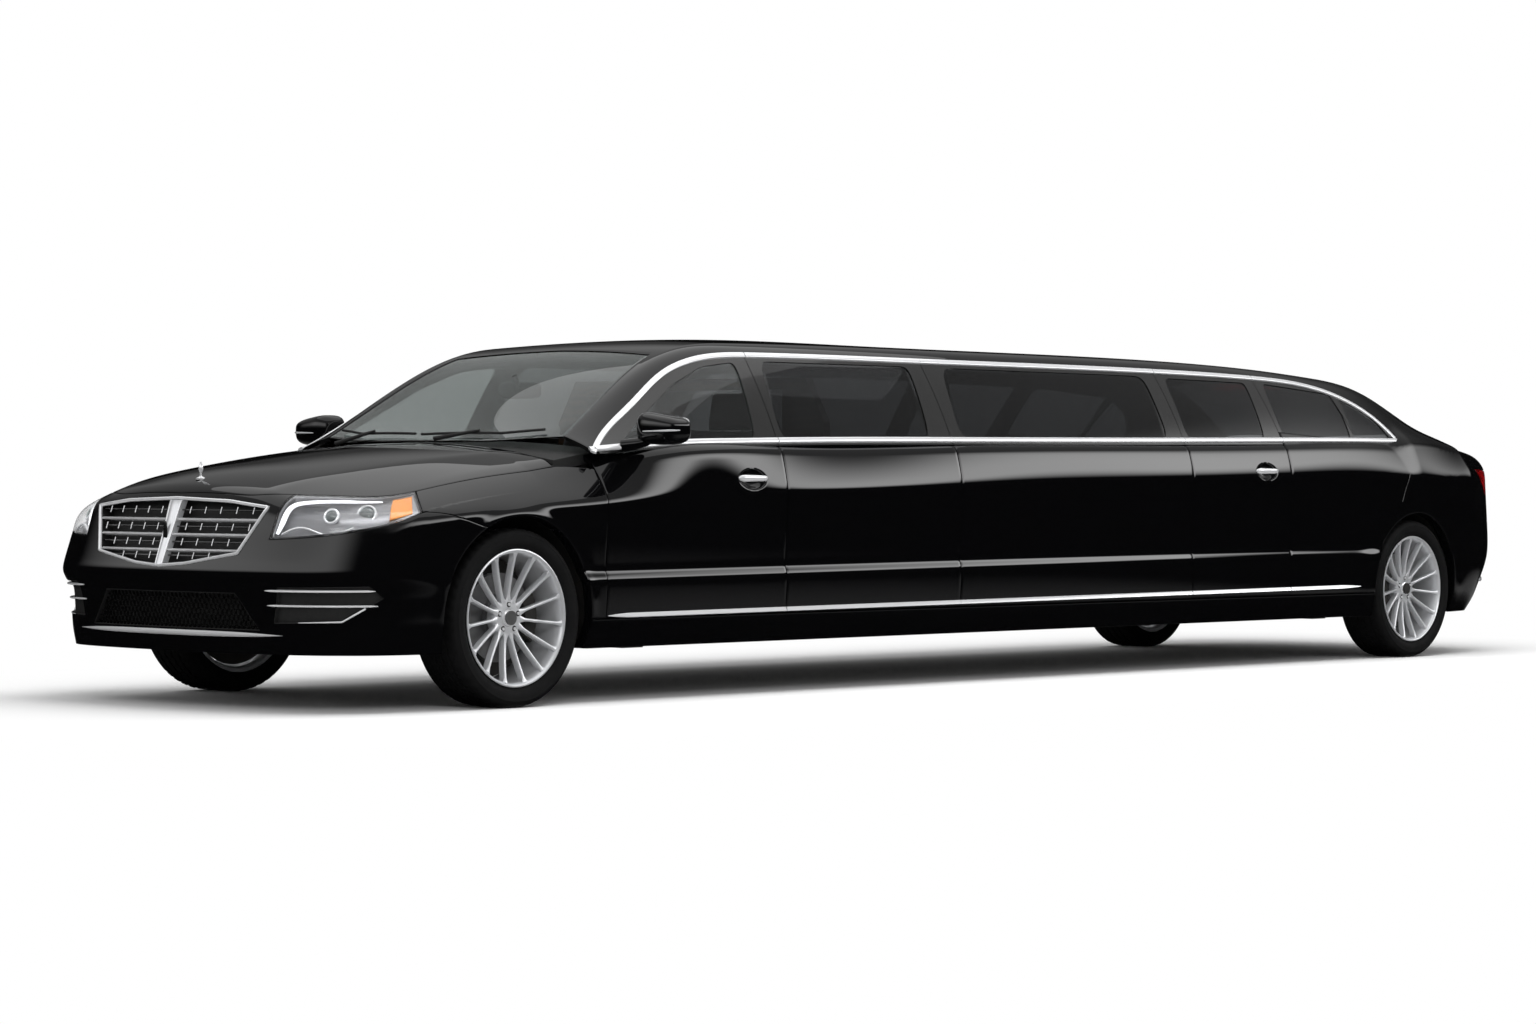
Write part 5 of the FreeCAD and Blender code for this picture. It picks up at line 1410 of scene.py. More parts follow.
back_grid = back_grid - 0.003 * gradient(green_field, back_grid)
Piece("rear_window_pane").panel([back_grid, other_half(back_grid)], green_field, 0.005, 0.001, 0.001).build(
    smoked_glass.material, "body", "screen_glass", ("rear_window",))
print("glass done: %d bays a side, windscreen and rear window" % len(BAYS))

# %% [markdown]
# ## Bright mouldings
# On the car these are strips of polished steel rolled to a bowed profile and clipped over the joints, one
# length to each door or panel. Here too a profile is carried along a line on the skin, split at the shut
# lines, and each length rides with its own door, so that the strips part when a door opens.

# %% Mouldings round the windows and along the sills
def sweep(line, normal, profile, size=1.0, closed=False):
    """Carries a profile along a line. Each of its points lies a distance across the line, along the skin,
    and a distance out along the normal; size shrinks both where a strip tapers."""
    line = np.asarray(line, float)
    along = np.roll(line, -1, axis=0) - np.roll(line, 1, axis=0) if closed else np.gradient(line, axis=0)
    along /= np.linalg.norm(along, axis=1, keepdims=True)
    across = np.cross(along, normal)
    across /= np.linalg.norm(across, axis=1, keepdims=True)
    size = np.broadcast_to(np.asarray(size, float), (len(line),))[:, None, None]
    profile = np.asarray(profile, float)
    shape = profile[None, :, :1] * across[:, None] + profile[None, :, 1:] * normal[:, None]
    rings = line[:, None] + size * shape
    if closed:
        rings = np.concatenate([rings, rings[:1]])
    return rings.swapaxes(0, 1)


def dome(width, height, power=1.0, count=9):
    """A bowed profile that stands on the skin: half an oval, or with a power below one a flat with round
    edges."""
    a = np.linspace(0, np.pi, count)
    bow = np.stack([-width / 2 * np.sign(np.cos(a)) * np.abs(np.cos(a))**power, height * np.sin(a)**power],
                   axis=1)
    return np.vstack([bow, [(width / 2, -0.003), (-width / 2, -0.003)]])


def strip(piece, line, field, profile, size=1.0, closed=False):
    return piece.grid(sweep(line, gradient(field, line), profile, size, closed), wrap=True, caps=not closed)


SILL_STRIP = (SEAM_5 - 0.63, S1 - 0.01)
SILL_WEDGE = [(-0.0090, -0.003), (-0.0090, 0.005), (-0.0080, 0.0078), (-0.0060, 0.0088), (0.0075, 0.0022),
              (0.0090, 0.0008), (0.0090, -0.003)]
STRETCHES = [("body", TIP_X, S5 - HALF_GAP), ("rear_door", S5 + HALF_GAP, S4 - HALF_GAP),
             ("body", S4 + HALF_GAP, S3 - 0.001), ("body", S3 + 0.001, S2 - HALF_GAP),
             ("front_door", S2 + HALF_GAP, S1 - HALF_GAP), ("body", S1 + HALF_GAP, S1 + 0.020)]
strips = {rider: Piece(rider + "_mouldings_left") for rider in ("body", "front_door", "rear_door")}
for rider, x1, x2 in STRETCHES:
    count = max(6, int((x2 - x1) / 0.016))
    x = np.linspace(x1, x2, count)
    strip(strips[rider], on_side(x, belt_z(x) + 0.016, green_field), green_field, dome(0.024, 0.0095, 0.5))
    strip(strips[rider], rail_points(x1, x2, count), green_field, dome(0.025, 0.0070, 0.5))
    x = np.linspace(max(x1, SILL_STRIP[0]), min(x2, SILL_STRIP[1]), count)
    if x[0] < x[-1]:
        z = 0.350 + 0.024 * (S1 - x) / (S1 - SILL_STRIP[0])
        taper = np.clip(np.minimum((x - SILL_STRIP[0]) / 0.16, (SILL_STRIP[1] - x) / 0.12), 0.03, 1) ** 0.6
        strip(strips[rider], on_side(x, z), lower_field, SILL_WEDGE, taper)
strips["body"].with_mirror().build(chrome.material, "body", "chrome")
for rider in ("front_door", "rear_door"):
    both(strips[rider], chrome.material, (rider + "_left", rider + "_right"), "chrome")

# %% [markdown]
# ## Door handles and mirrors
# A handle is a cast strap that bridges the bowl pressed into the door. The mirror is a moulded shell on an
# arm from the window's front corner. It is made as a sphere whose coordinates are raised to a power below
# one, which squares it up, cut flat where its glass sits and lowered towards its outer end.

# %% Handles, mirrors, wipers and fine lines
def rounded_block(centre, radii, power, count=(56, 36)):
    """A sphere's points with each factor v replaced by sign(v) * |v|^power, scaled by three radii."""
    def bend(v):
        return np.sign(v) * np.abs(v) ** power
    a = np.linspace(0, 2 * np.pi, count[0], endpoint=False)[:, None]
    b = np.linspace(-np.pi / 2, np.pi / 2, count[1])[None]
    return stack(bend(np.cos(a)) * bend(np.cos(b)), bend(np.sin(b)) + 0 * a,
                 bend(np.sin(a)) * bend(np.cos(b))) * np.array(radii) + np.array(centre)


t = np.linspace(-1, 1, 49)
a = np.linspace(0, 2 * np.pi, 24, endpoint=False)[:, None]
for (x_handle, z_handle), rider in zip(HANDLES, ("front_door", "rear_door")):
    x = x_handle + 0.092 * t
    foot = on_side(x, z_handle + 0.004 + 0 * t)
    swell = np.sqrt(np.clip(1 - t**8, 0.0004, 1))
    y = foot[:, 1] - 0.002 + 0.019 * (1 - t**4)
    strap = stack(x + 0 * a, y + 0.0080 * swell * np.cos(a),
                  foot[:, 2] + (0.0132 + 0.0018 * t) * swell * np.sin(a))
    both(Piece(rider + "_handle_left").grid(strap, wrap=True, caps=True), chrome.material,
         (rider + "_left", rider + "_right"), "chrome")

FRONT_DOORS = ("front_door_left", "front_door_right")
mirror_at = np.array([S1 - 0.240, 1.028, 1.104])
MIRROR = np.array([0.080, 0.108, 0.067])  # half lengths of its shell
shell = rounded_block(mirror_at, MIRROR, 0.60)
rise = np.clip((shell[..., 2] - mirror_at[2]) / MIRROR[2], 0, 1)
shell[..., 2] -= 0.018 * rise * (shell[..., 1] - mirror_at[1] + 0.05) / MIRROR[1]
shell[..., 0] = np.maximum(shell[..., 0], mirror_at[0] - 0.056)
mirror = Piece("mirror_shell_left").grid(shell, wrap=True)
mirror.tube(curve([(S1 - 0.150, 0.885, 1.034), (S1 - 0.170, 0.925, 1.040), (S1 - 0.200, 0.960, 1.050),
                   (S1 - 0.220, 0.990, 1.066)], 24), np.linspace(0.026, 0.019, 24), 20)
both(mirror, paint.material, FRONT_DOORS, "body_paint",
     (("mirror_left",), ("mirror_right",)))
mirror_face = rounded_block(mirror_at + [-0.0565, 0.002, -0.005], (0.0025, 0.088, 0.050), 0.42)
mirror_glass = Piece("mirror_glass_left").grid(mirror_face, wrap=True)
mirror_band = Piece("mirror_band_left")
turn_out = np.radians(np.linspace(-12, 84, 40))
band = stack(mirror_at[0] + (MIRROR[0] + 0.0005) * np.cos(turn_out) ** 0.60,
             mirror_at[1] + (MIRROR[1] + 0.0005) * np.sign(turn_out) * np.abs(np.sin(turn_out)) ** 0.60,
             mirror_at[2] - 0.013 + 0.004 * np.linspace(0, 1, 40))
mirror_band.tube(band, 0.0046 * np.sin(np.linspace(0.15, np.pi - 0.15, 40)) ** 0.5, 10)
both(mirror_band, alloy.material, FRONT_DOORS, "chrome")
both(mirror_glass, chrome.material, FRONT_DOORS, "chrome")

wipers = Piece("wipers")
for y1, y2, pivot in ((-0.02, 0.60, 0.10), (-0.62, -0.06, -0.50)):
    y = np.linspace(y1, y2, 40)
    x = np.interp(np.abs(y), [0, 0.420, 0.703], [S1 + 0.108, S1 + 0.070, S1 - 0.030])
    blade = on_top(x, y, green_field, 0.70) + np.array([0.0, 0.0, 0.012])
    wipers.tube(blade, 0.0055, 8)
    heel = on_top(np.array([S1 + 0.150]), np.array([pivot]), green_field,
                  0.70)[0] + np.array([0.0, 0.0, 0.012])
    wipers.tube(path([heel, blade[20] + np.array([0.0, 0.0, 0.010])], 16), np.linspace(0.010, 0.006, 16), 10)
wipers.build(plastic.material, "body", "plastic")

lines = Piece("flap_and_seam_lines")
flap_turn = np.linspace(0, 2 * np.pi, 60)
flap_x = REAR_AXLE - 0.085 + 0.085 * np.sign(np.cos(flap_turn)) * np.abs(np.cos(flap_turn)) ** 0.4
flap_z = 1.020 + 0.034 * np.sign(np.sin(flap_turn)) * np.abs(np.sin(flap_turn)) ** 0.4
lines.tube(on_side(flap_x, flap_z), 0.0011, 6)
lines.build(trim.material, "body", "plastic")
seam_down = curve([(TIP_X - 0.004, 1.086), (TIP_X - 0.018, 1.030), (TIP_X + 0.030, 0.930),
                   (TIP_X + 0.105, 0.800)], 60)
seams = Piece("quarter_seams").tube(side_points(seam_down), 0.0009, 6)
seams.with_mirror().build(trim.material, "body", "plastic")

flanges = Piece("arch_flanges")
FLANGE = [(-0.001, -0.0015), (0.002, -0.0015), (0.002, -0.045), (-0.001, -0.045)]
for axle, radius in ((FRONT_AXLE, ARCH_RADIUS), (REAR_AXLE, ARCH_REAR)):
    line = side_points(arc(axle, ARCH_CENTRE_Z, radius, -18.0, 198.0, 150))
    flanges.grid(sweep(line, np.tile([0, 1.0, 0], (150, 1)), FLANGE), wrap=True, caps=True)
flanges.with_mirror().build(paint.material, "body", "body_paint")

tail_strip = Piece("rear_bumper_strip")
reach = TAIL_VIEW.flat(on_side(np.array([TAIL + 0.36]), np.array([0.385])))[0, 0]
angle = np.linspace(-reach, reach, 260)
tail_z = 0.418 - 0.036 * np.abs(angle / reach) ** 3
taper = np.clip((1 - np.abs(angle / reach)) / 0.03, 0.03, 1) ** 0.6
strip(tail_strip, TAIL_VIEW.solid(stack(angle, tail_z)), lower_field, dome(0.022, 0.012), taper)
tail_strip.build(alloy.material, "body", "chrome")
ends, pipe_shade_plates = Piece("exhaust_finishers"), Piece("exhaust_shadows")
for side in (-1, 1):
    centre = TAIL_VIEW.solid(np.array([[math.atan2(0.330, 0.85), 0.262]]))[0] * np.array([1, side, 1])
    loop = np.linspace(0, 2 * np.pi, 48, endpoint=False)
    rim_line = centre + stack(0 * loop - 0.012, 0.058 * np.cos(loop), 0.030 * np.sin(loop))
    ends.grid(sweep(rim_line, np.tile([-1.0, 0, 0], (48, 1)), dome(0.012, 0.012), 1.0, True), wrap=True)
    # Painted shade: a flat dark block inside each finisher stands for the dark inside of the pipe opening.
    pipe_shade_plates.grid(rounded_block(centre + [-0.004, 0, 0], (0.006, 0.055, 0.028), 0.9), wrap=True)
ends.build(chrome.material, "body", "chrome")
pipe_shade_plates.build(underbody.material, "body", "plastic")
print("trim done")

# %% [markdown]
# ## Openings in the front
# Behind each opening is a box: a wall that follows the opening's edge inwards, and a dark back. What the
# real car carries in it, bars or honeycomb, then stands in front of that back and throws its own small
# shadows.

# %% Boxes behind the openings, and the honeycomb
FORWARD = np.array([1.0, 0.0, 0.0])


def box_behind(name, loop, back, depth, mirror=False, replaces=()):
    """Wall and back of an opening; the loop runs once round it and the back is a grid over it."""
    box = Piece(name)
    wall = [(-0.002, -0.003), (0.002, -0.003), (0.002, -depth - 0.004), (-0.002, -depth - 0.004)]
    box.grid(sweep(loop, np.tile(FORWARD, (len(loop), 1)), wall, 1.0, True), wrap=True)
    box.panel([g - depth * FORWARD for g in back], lower_field, 0.006, -0.004)
    if mirror:
        box.with_mirror()
    box.build(plastic.material, "body", "plastic", replaces)


def honeycomb(y, z, cell, thick, depth):
    """Three edges of every hexagon, so that neighbours share theirs; each edge is a flat bar."""
    a = np.radians([30, 90, 150, 210])
    corner = np.stack([np.cos(a), np.sin(a)], axis=1) * cell / math.sqrt(3)
    centre = np.stack([y, z], axis=-1).reshape(-1, 1, 2)
    start, end = centre + corner[None, :3], centre + corner[None, 1:]
    start, end = start.reshape(-1, 2), end.reshape(-1, 2)
    step = end - start
    side = np.stack([-step[:, 1], step[:, 0]], axis=1)
    side = side / np.linalg.norm(side, axis=1, keepdims=True) * thick / 2
    flat = np.stack([start - side, end - side, end + side, start + side], axis=1)
    front = on_front(flat[..., 0], flat[..., 1]) - depth * FORWARD
    verts = np.concatenate([front, front - 0.010 * FORWARD], axis=1)
    cell_faces = np.array([(0, 1, 2, 3), (7, 6, 5, 4), (0, 4, 5, 1), (1, 5, 6, 2), (2, 6, 7, 3),
                           (3, 7, 4, 0)])
    return verts, (cell_faces[None] + 8 * np.arange(len(verts))[:, None, None]).reshape(-1, 4)


rise = straight(VIEW, P["intake_low"], P["intake_high"], 16)
half = joined(runs["intake_floor"], rise, runs["intake_roof"][::-1])
loop = np.concatenate([half, other_half(half[::-1])[1:-1]])
back = coons(VIEW, runs["intake_floor"], runs["intake_roof"], rows=12)
box_behind("intake_box", loop, [back, other_half(back)], 0.070, replaces=("intake_screens",))
CELL = 0.024
rows, columns = np.meshgrid(np.arange(8), np.arange(-22, 23), indexing="ij")
y, z = (columns + 0.5 * (rows % 2)) * CELL, 0.318 + rows * CELL * math.sqrt(3) / 2
inside = (z < 0.452) & (np.abs(y) < 0.492 - (z - 0.316) * 0.79)
Piece("intake_honeycomb").add(*honeycomb(y[inside], z[inside], CELL, 0.0028, 0.016)).build(
    trim.material, "body", "plastic", sharp=25)

inner = straight(VIEW, P["side_e"], P["side_a"], 12)
loop = joined(runs["c_low"], side_end, runs["c_high"][::-1], inner)[:-1]
back = coons(VIEW, runs["c_low"], runs["c_high"], None, side_end, rows=len(side_end))
box_behind("side_intake_boxes", loop, [back], 0.018, mirror=True)
bars = Piece("bumper_bright_bars")
for z_bar in (0.468, 0.411):
    line = straight(VIEW, front_point(0.540, z_bar), front_point(0.872, z_bar), 60)
    taper = np.clip(np.minimum(np.arange(60), np.arange(60)[::-1]) / 4.0, 0.1, 1) ** 0.5
    strip(bars, line, lower_field, dome(0.0085, 0.006), taper)
low_edge = joined(runs["c_low"][12:], side_end[:5])
strip(bars, path(low_edge, 50), lower_field, dome(0.008, 0.004), np.linspace(0.15, 1, 50) ** 0.5)
bars.with_mirror()
y = np.linspace(-0.60, 0.60, 161)
fade = 1 - np.abs(y / 0.60) ** 4
rows = []
for z_row, proud in ((0.309, 0.001), (0.308, 0.008), (0.302, 0.013), (0.295, 0.012), (0.289, 0.006),
                     (0.286, -0.002), (0.297, -0.008)):
    z_row = 0.297 + (z_row - 0.297) * np.clip(fade, 0.04, 1)
    rows.append(on_front(y, z_row) + (proud * fade)[:, None] * FORWARD)
bars.grid(np.stack(rows), wrap=True, caps=True)
bars.build(chrome.material, "body", "chrome")

# %% [markdown]
# ## Radiator grille
# A bright frame round the shield-shaped opening, three bright blades on each side of a broad middle bar, and
# thin dark rods with short upright ticks between them. The middle bar's field is left bare.

# %% Grille
rise = front_run_of([(0, 0.555), (0, 0.816)], 24)
face = coons(nose_free, grille_floor, path(brow, len(grille_floor)), rise, grille_side)
half = joined(grille_floor, grille_side, brow[::-1])
loop = path(half, 150)
loop = np.concatenate([loop, other_half(loop[::-1])[1:-1]])
box_behind("grille_box", loop, [face, other_half(face)], 0.060, replaces=("radiator_grille",))
grille = Piece("grille_frame_and_blades")
strip(grille, loop, lower_field, dome(0.012, 0.009), 1.0, True)
BLADE = [(0.0055, 0.002), (0.0050, 0.0055), (0.0035, 0.0060), (-0.0050, -0.002), (-0.0055, -0.005),
         (-0.003, -0.024), (0.003, -0.024)]
rods = Piece("grille_rods")
levels = [0.805, 0.735, 0.677, 0.617, 0.572]
for z_blade in levels[1:-1]:
    y = np.linspace(0.018, np.interp(z_blade, [0.607, 0.784], [0.410, 0.500]) - 0.003, 40)
    line = on_front(y, z_blade + 0 * y) - 0.008 * FORWARD
    blade = sweep(line, gradient(lower_field, line), BLADE)
    grille.grid(blade, wrap=True, caps=True).grid(other_half(blade), wrap=True, caps=True)
for high, low in zip(levels, levels[1:]):
    z_rod = (high + low) / 2
    reach = np.interp(z_rod, [0.572, 0.607, 0.784], [0.200, 0.410, 0.500]) - 0.004
    y = np.linspace(0.018, reach, 30)
    line = on_front(y, z_rod + 0 * y) - 0.016 * FORWARD
    rods.tube(line, 0.0032, 8).tube(other_half(line), 0.0032, 8)
    for y_tick in np.arange(0.085, reach - 0.02, 0.085):
        foot = on_front(np.array([y_tick, y_tick]),
                        np.array([z_rod - 0.013, z_rod + 0.013])) - 0.010 * FORWARD
        for side in (foot, other_half(foot)):
            grille.tube(path(side, 4), 0.0018, 6)
z = np.linspace(0.560, 0.808, 40)[None, :]
width = np.interp(z, [0.560, 0.660, 0.808], [0.019, 0.023, 0.033])
s = np.linspace(-1, 1, 15)[:, None]
x = on_front(0 * z[0], z[0])[:, 0][None, :]
front = stack(x + 0.003 + 0.008 * (1 - s**2), width * s, z + 0 * s)
middle_bar = Piece("grille_middle_bar")
middle_bar.grid(np.concatenate([front, (front - 0.030 * FORWARD)[::-1]]), wrap=True, caps=True)
for side in (-1, 1):
    grille.tube(stack(x[0] + 0.004, side * width[0], z[0]), 0.0026, 8)
middle_bar.build(alloy.material, "body", "chrome")
grille.build(chrome.material, "body", "chrome")
rods.build(trim.material, "body", "plastic")
spot = on_front(np.array([0.0]), np.array([0.672]))[0]
Piece("grille_bare_field").grid(rounded_block(spot + [0.0110, 0, 0], (0.0035, 0.0125, 0.056), 0.8),
                                wrap=True).build(
    trim.material, "body", "chrome")


def turned(profile, centre, count=40):
    """Spins (radius, height) points about an upright line."""
    profile = np.asarray(profile, float)
    a = np.linspace(0, 2 * np.pi, count, endpoint=False)[:, None]
    return stack(profile[:, 0] * np.cos(a), profile[:, 0] * np.sin(a),
                 profile[:, 1] + 0 * a) + np.asarray(centre)


seat = on_top(np.array([NOSE - 0.220]), np.array([0.0]))[0]
Piece("hood_ornament").grid(turned([
    (0, -0.004), (0.020, -0.004), (0.020, 0.002), (0.012, 0.006), (0.0045, 0.010), (0.004, 0.020),
    (0.0085, 0.034), (0.0095, 0.043), (0.006, 0.056), (0.0025, 0.066), (0, 0.070)], seat), wrap=True).build(
    chrome.material, "hood", "chrome")

# %% [markdown]
# ## Headlamps
# A clear moulded lens closes a tray. In it are a light guide that follows the inner and upper edges like an
# eyebrow, two round lamps with bright rings, and an amber field towards the wheel. Everything inside is
# placed by how far it is along and across the lens, and by its depth behind it, so it follows the lens round
# the car's corner.

# %% Lenses and what is in them
lamp_low = path(np.vstack([lamp_a, lamp_b[1:]]), 60)
lamp_line = hood_line[(hood_line[:, 1] >= 0.5449) & (hood_line[:, 0] >= LAMP_REAR)]
lamp_high = path(np.vstack([hood_at_lamp[None], on_top(lamp_line[1:, 0], lamp_line[1:, 1])]), 60)
lamp_end = straight(SHOULDER_VIEW, lamp_low[-1], lamp_high[-1], 24)
lamp_face = coons(nose_free, lamp_low, lamp_high, path(lamp_inner, 24), lamp_end)
lens = Piece("headlamp_lenses").panel([lamp_face], lower_field, 0.003, 0.0012, 0.001)
lens.with_mirror().build(lamp_glass.material, "body", "lamp_lens", ("headlamps", "headlamp_units"))


def in_lamp(u, v, depth):
    """Place in the lamp: u along it from its inner end, v up across it, and a depth behind the lens."""
    u, v, depth = np.broadcast_arrays(*[np.asarray(k, float) for k in (u, v, depth)])
    i, j = np.clip(u * 59, 0, 58.999), np.clip(v * 23, 0, 22.999)
    k, m = i.astype(int), j.astype(int)
    fu, fv = (i - k)[..., None], (j - m)[..., None]
    low = lamp_face[k, m] * (1 - fu) + lamp_face[k + 1, m] * fu
    high = lamp_face[k, m + 1] * (1 - fu) + lamp_face[k + 1, m + 1] * fu
    place = low * (1 - fv) + high * fv
    return place - depth[..., None] * gradient(lower_field, place)


tray_finish = Finish("lamp_tray", Metallic=0.8)
tray_finish.set(Base_Color=tray_finish.noise(14.0).mix(rgb(0.20, 0.20, 0.21), rgb(0.30, 0.30, 0.31)))
tray_finish.set(Roughness=0.34 + 0.08 * tray_finish.noise(12.0))
guide = Finish("white_light_guide", Emission_Strength=0.75, Roughness=0.3)
guide.set(Base_Color=guide.noise(50.0).mix(rgb(0.85, 0.86, 0.88), rgb(0.95, 0.95, 0.96)))
guide.set(Emission_Color=guide.noise(20.0).mix(rgb(0.9, 0.93, 1.0), rgb(1.0, 1.0, 1.0)))
amber = Finish("amber_signal", Coat_Weight=0.25, Roughness=0.25, Emission_Strength=0.16)
amber.set(Base_Color=amber.cells(260.0).mix(rgb(0.95, 0.33, 0.004), rgb(0.60, 0.15, 0.001)))
amber.set(Emission_Color=amber.cells(260.0).mix(rgb(1.0, 0.38, 0.004), rgb(0.8, 0.24, 0.001)))

u, v = np.linspace(0.012, 0.985, 50)[:, None], np.linspace(0.03, 0.97, 16)[None, :]
deep = 0.050 * np.clip(1.15 - u, 0.25, 1)
tray = Piece("lamp_trays").grid(in_lamp(u, v, deep))
edge_u = np.concatenate([u[:, 0], 0 * v[0, 1:] + u[-1, 0], u[::-1, 0][1:], 0 * v[0, 1:-1] + u[0, 0]])
edge_v = np.concatenate([0 * u[:, 0] + v[0, 0], v[0, 1:], 0 * u[1:, 0] + v[0, -1], v[0, ::-1][1:-1]])
edge_deep = 0.050 * np.clip(1.15 - edge_u, 0.25, 1)
tray.grid(in_lamp(edge_u[:, None], edge_v[:, None],
                  0.005 + (edge_deep[:, None] - 0.005) * np.linspace(0, 1, 5)),
          wrap=True)
tray.with_mirror().build(tray_finish.material, "body", "lamp_inside", solidify=-0.0015, outward=False)
brow_line = curve([(0.030, 0.10), (0.055, 0.45), (0.12, 0.76), (0.30, 0.865), (0.52, 0.88), (0.70, 0.86)],
                  70)
brow_at = in_lamp(brow_line[:, 0], brow_line[:, 1], 0.014)
brow_size = np.interp(np.arange(70), [0, 12, 55, 69], [0.6, 1.0, 0.8, 0.35])
light = Piece("lamp_light_guides")
light.grid(sweep(brow_at, gradient(lower_field, brow_at), dome(0.024, 0.006), brow_size), wrap=True,
           caps=True)
light.with_mirror().build(guide.material, "body", "lamp_inside")
rings, bulbs = Piece("lamp_rings"), Piece("lamp_projectors")
for u_lamp, v_lamp, radius in ((0.60, 0.47, 0.036), (0.37, 0.42, 0.027)):
    centre = in_lamp(u_lamp, v_lamp, 0.026)
    axis = gradient(lower_field, in_lamp(u_lamp, v_lamp, 0.0)[None])[0]
    axis = axis * 0.4 + np.array([0.9, 0.25, 0.0]) * 0.6
    axis /= np.linalg.norm(axis)
    first = np.cross(axis, [0, 0, 1.0])
    first /= np.linalg.norm(first)
    second = np.cross(first, axis)
    spin = np.linspace(0, 2 * np.pi, 48, endpoint=False)[:, None]
    circle = centre + radius * (np.cos(spin) * first + np.sin(spin) * second)
    rings.grid(sweep(circle, np.tile(axis, (48, 1)), dome(0.011, 0.008), 1.0, True), wrap=True)
    lobe = np.linspace(0, np.pi / 2, 12)[None, :, None]
    outward = np.cos(spin)[:, None] * first + np.sin(spin)[:, None] * second
    ball = centre + 0.9 * radius * (np.cos(lobe) * outward + 0.55 * np.sin(lobe) * axis)
    bulbs.grid(ball, wrap=True)
blade_at = in_lamp(np.linspace(0.06, 0.52, 40), 0.10 + 0.10 * np.sin(np.linspace(0, 2 * np.pi, 40)), 0.020)
rings.grid(sweep(blade_at, gradient(lower_field, blade_at), dome(0.008, 0.006)), wrap=True, caps=True)
rings.with_mirror().build(chrome.material, "body", "lamp_inside")
bulbs.with_mirror().build(clear_glass.material, "body", "lamp_inside", solidify=0.004)
u, v = np.linspace(0.77, 0.945, 26)[:, None], np.linspace(0.12, 0.86, 14)[None, :]
Piece("lamp_amber_fields").grid(in_lamp(u + 0.05 * (v - 0.5), v, 0.009)).with_mirror().build(
    amber.material, "body", "lamp_inside", solidify=0.003)
print("front done: grille, intakes and lamps")

# %% [markdown]
# ## Wheels
# The rim is a casting: a spun barrel, a hub, and fifteen slender spokes that widen into both. The tyre is
# spun from its section with four grooves round it, and cross cuts are made by lowering tread points at even
# angles. Both are built for one wheel and set at all four axle ends.

# %% Tyre, rim, bolts and brakes
def round_y(count):
    return np.linspace(0, 2 * np.pi, count, endpoint=False)


side_wall = [(0.0995, 0.2590), (0.1008, 0.2665), (0.1045, 0.2740), (0.1115, 0.2850), (0.1128, 0.2858),
             (0.1150, 0.2880), (0.1195, 0.3000), (0.1222, 0.3130), (0.1214, 0.3240), (0.1222, 0.3262),
             (0.1195, 0.3290), (0.1158, 0.3370), (0.1095, 0.3440), (0.1010, 0.3492), (0.0920, 0.3514)]
tread = []
for c in (0.058, 0.020, -0.020, -0.058):
    tread += [(c + 0.0055, 0.352), (c + 0.0042, 0.3452), (c - 0.0042, 0.3452), (c - 0.0055, 0.352)]
tread = [(0.078, 0.352)] + tread + [(-0.078, 0.352)]
inner_wall = [(-w, r) for w, r in side_wall[::-1]]
liner = [(-0.092, 0.268), (-0.108, 0.300), (-0.100, 0.330), (0.100, 0.330), (0.108, 0.300), (0.092, 0.268)]
section = np.array(side_wall + tread + inner_wall + liner + side_wall[:1])
section[:, 1] *= np.where(section[:, 1] > 0.345, TYRE_RADIUS / 0.352, 1.0)
STEPS = 200
grid = lathe(section, (0, 0, 0), STEPS)
step = np.arange(STEPS)[:, None] + np.round(np.abs(section[:, 0]) * 40)[None, :]
cut = (step % 4 == 0) & (np.abs(section[:, 0]) < 0.102)[None, :] & (section[:, 1] > 0.3485)[None, :]
CUT_DEPTH = 0.0048
shrink = 1 - CUT_DEPTH / TYRE_RADIUS * cut
tyre_grid = grid * np.stack([shrink, 1 + 0 * shrink, shrink], axis=-1)

barrel = lathe([(0.1020, 0.2600), (0.1028, 0.2685), (0.1060, 0.2715), (0.1098, 0.2708), (0.1108, 0.2665),
                (0.1085, 0.2622), (0.1030, 0.2575), (0.0950, 0.2545), (0.0600, 0.2505), (0, 0.2485),
                (-0.0900, 0.2485), (-0.1050, 0.2560), (-0.1100, 0.2700), (-0.1080, 0.2715),
                (-0.1030, 0.2700), (-0.1000, 0.2600), (-0.0900, 0.2575), (0, 0.2560), (0.0900, 0.2575),
                (0.1020, 0.2600)], (0, 0, 0), 120)
hub = lathe([(0.018, 0), (0.018, 0.076), (0.046, 0.0765), (0.057, 0.0735), (0.0625, 0.068), (0.0635, 0.062),
             (0.0635, 0.035), (0.0600, 0.0335), (0.0600, 0.0315), (0.0665, 0.0295), (0.0695, 0.020),
             (0.0705, 0)], (0, 0, 0), 60)
SPOKES, BOLTS = 15, 5
HUB_RADIUS, BARREL_RADIUS = 0.062, 0.257
r = np.linspace(HUB_RADIUS, BARREL_RADIUS, 21)
flare_in, flare_out = np.exp(-((r - HUB_RADIUS) / 0.020) ** 2), np.exp(-((BARREL_RADIUS - r) / 0.010) ** 2)
width = 0.0125 + 0.016 * flare_in + 0.016 * flare_out
height = 0.0605 + 0.040 * np.clip((r - HUB_RADIUS) / (BARREL_RADIUS - HUB_RADIUS), 0, 1) ** 1.5
profile = np.array([(-0.5, 0), (-0.42, 0.0026), (-0.12, 0.0046), (0.12, 0.0046), (0.42, 0.0026), (0.5, 0),
                    (0.30, -0.028), (-0.30, -0.028)])
across, up = profile[:, :1] * width[None, :], profile[:, 1:] + height[None, :]


def set_at(grid, centre, mirror):
    """Moves a wheel part built about the origin to its place; the right side is its mirror image."""
    if mirror:
        grid = grid * np.array([1.0, -1.0, 1.0])
    return grid + centre


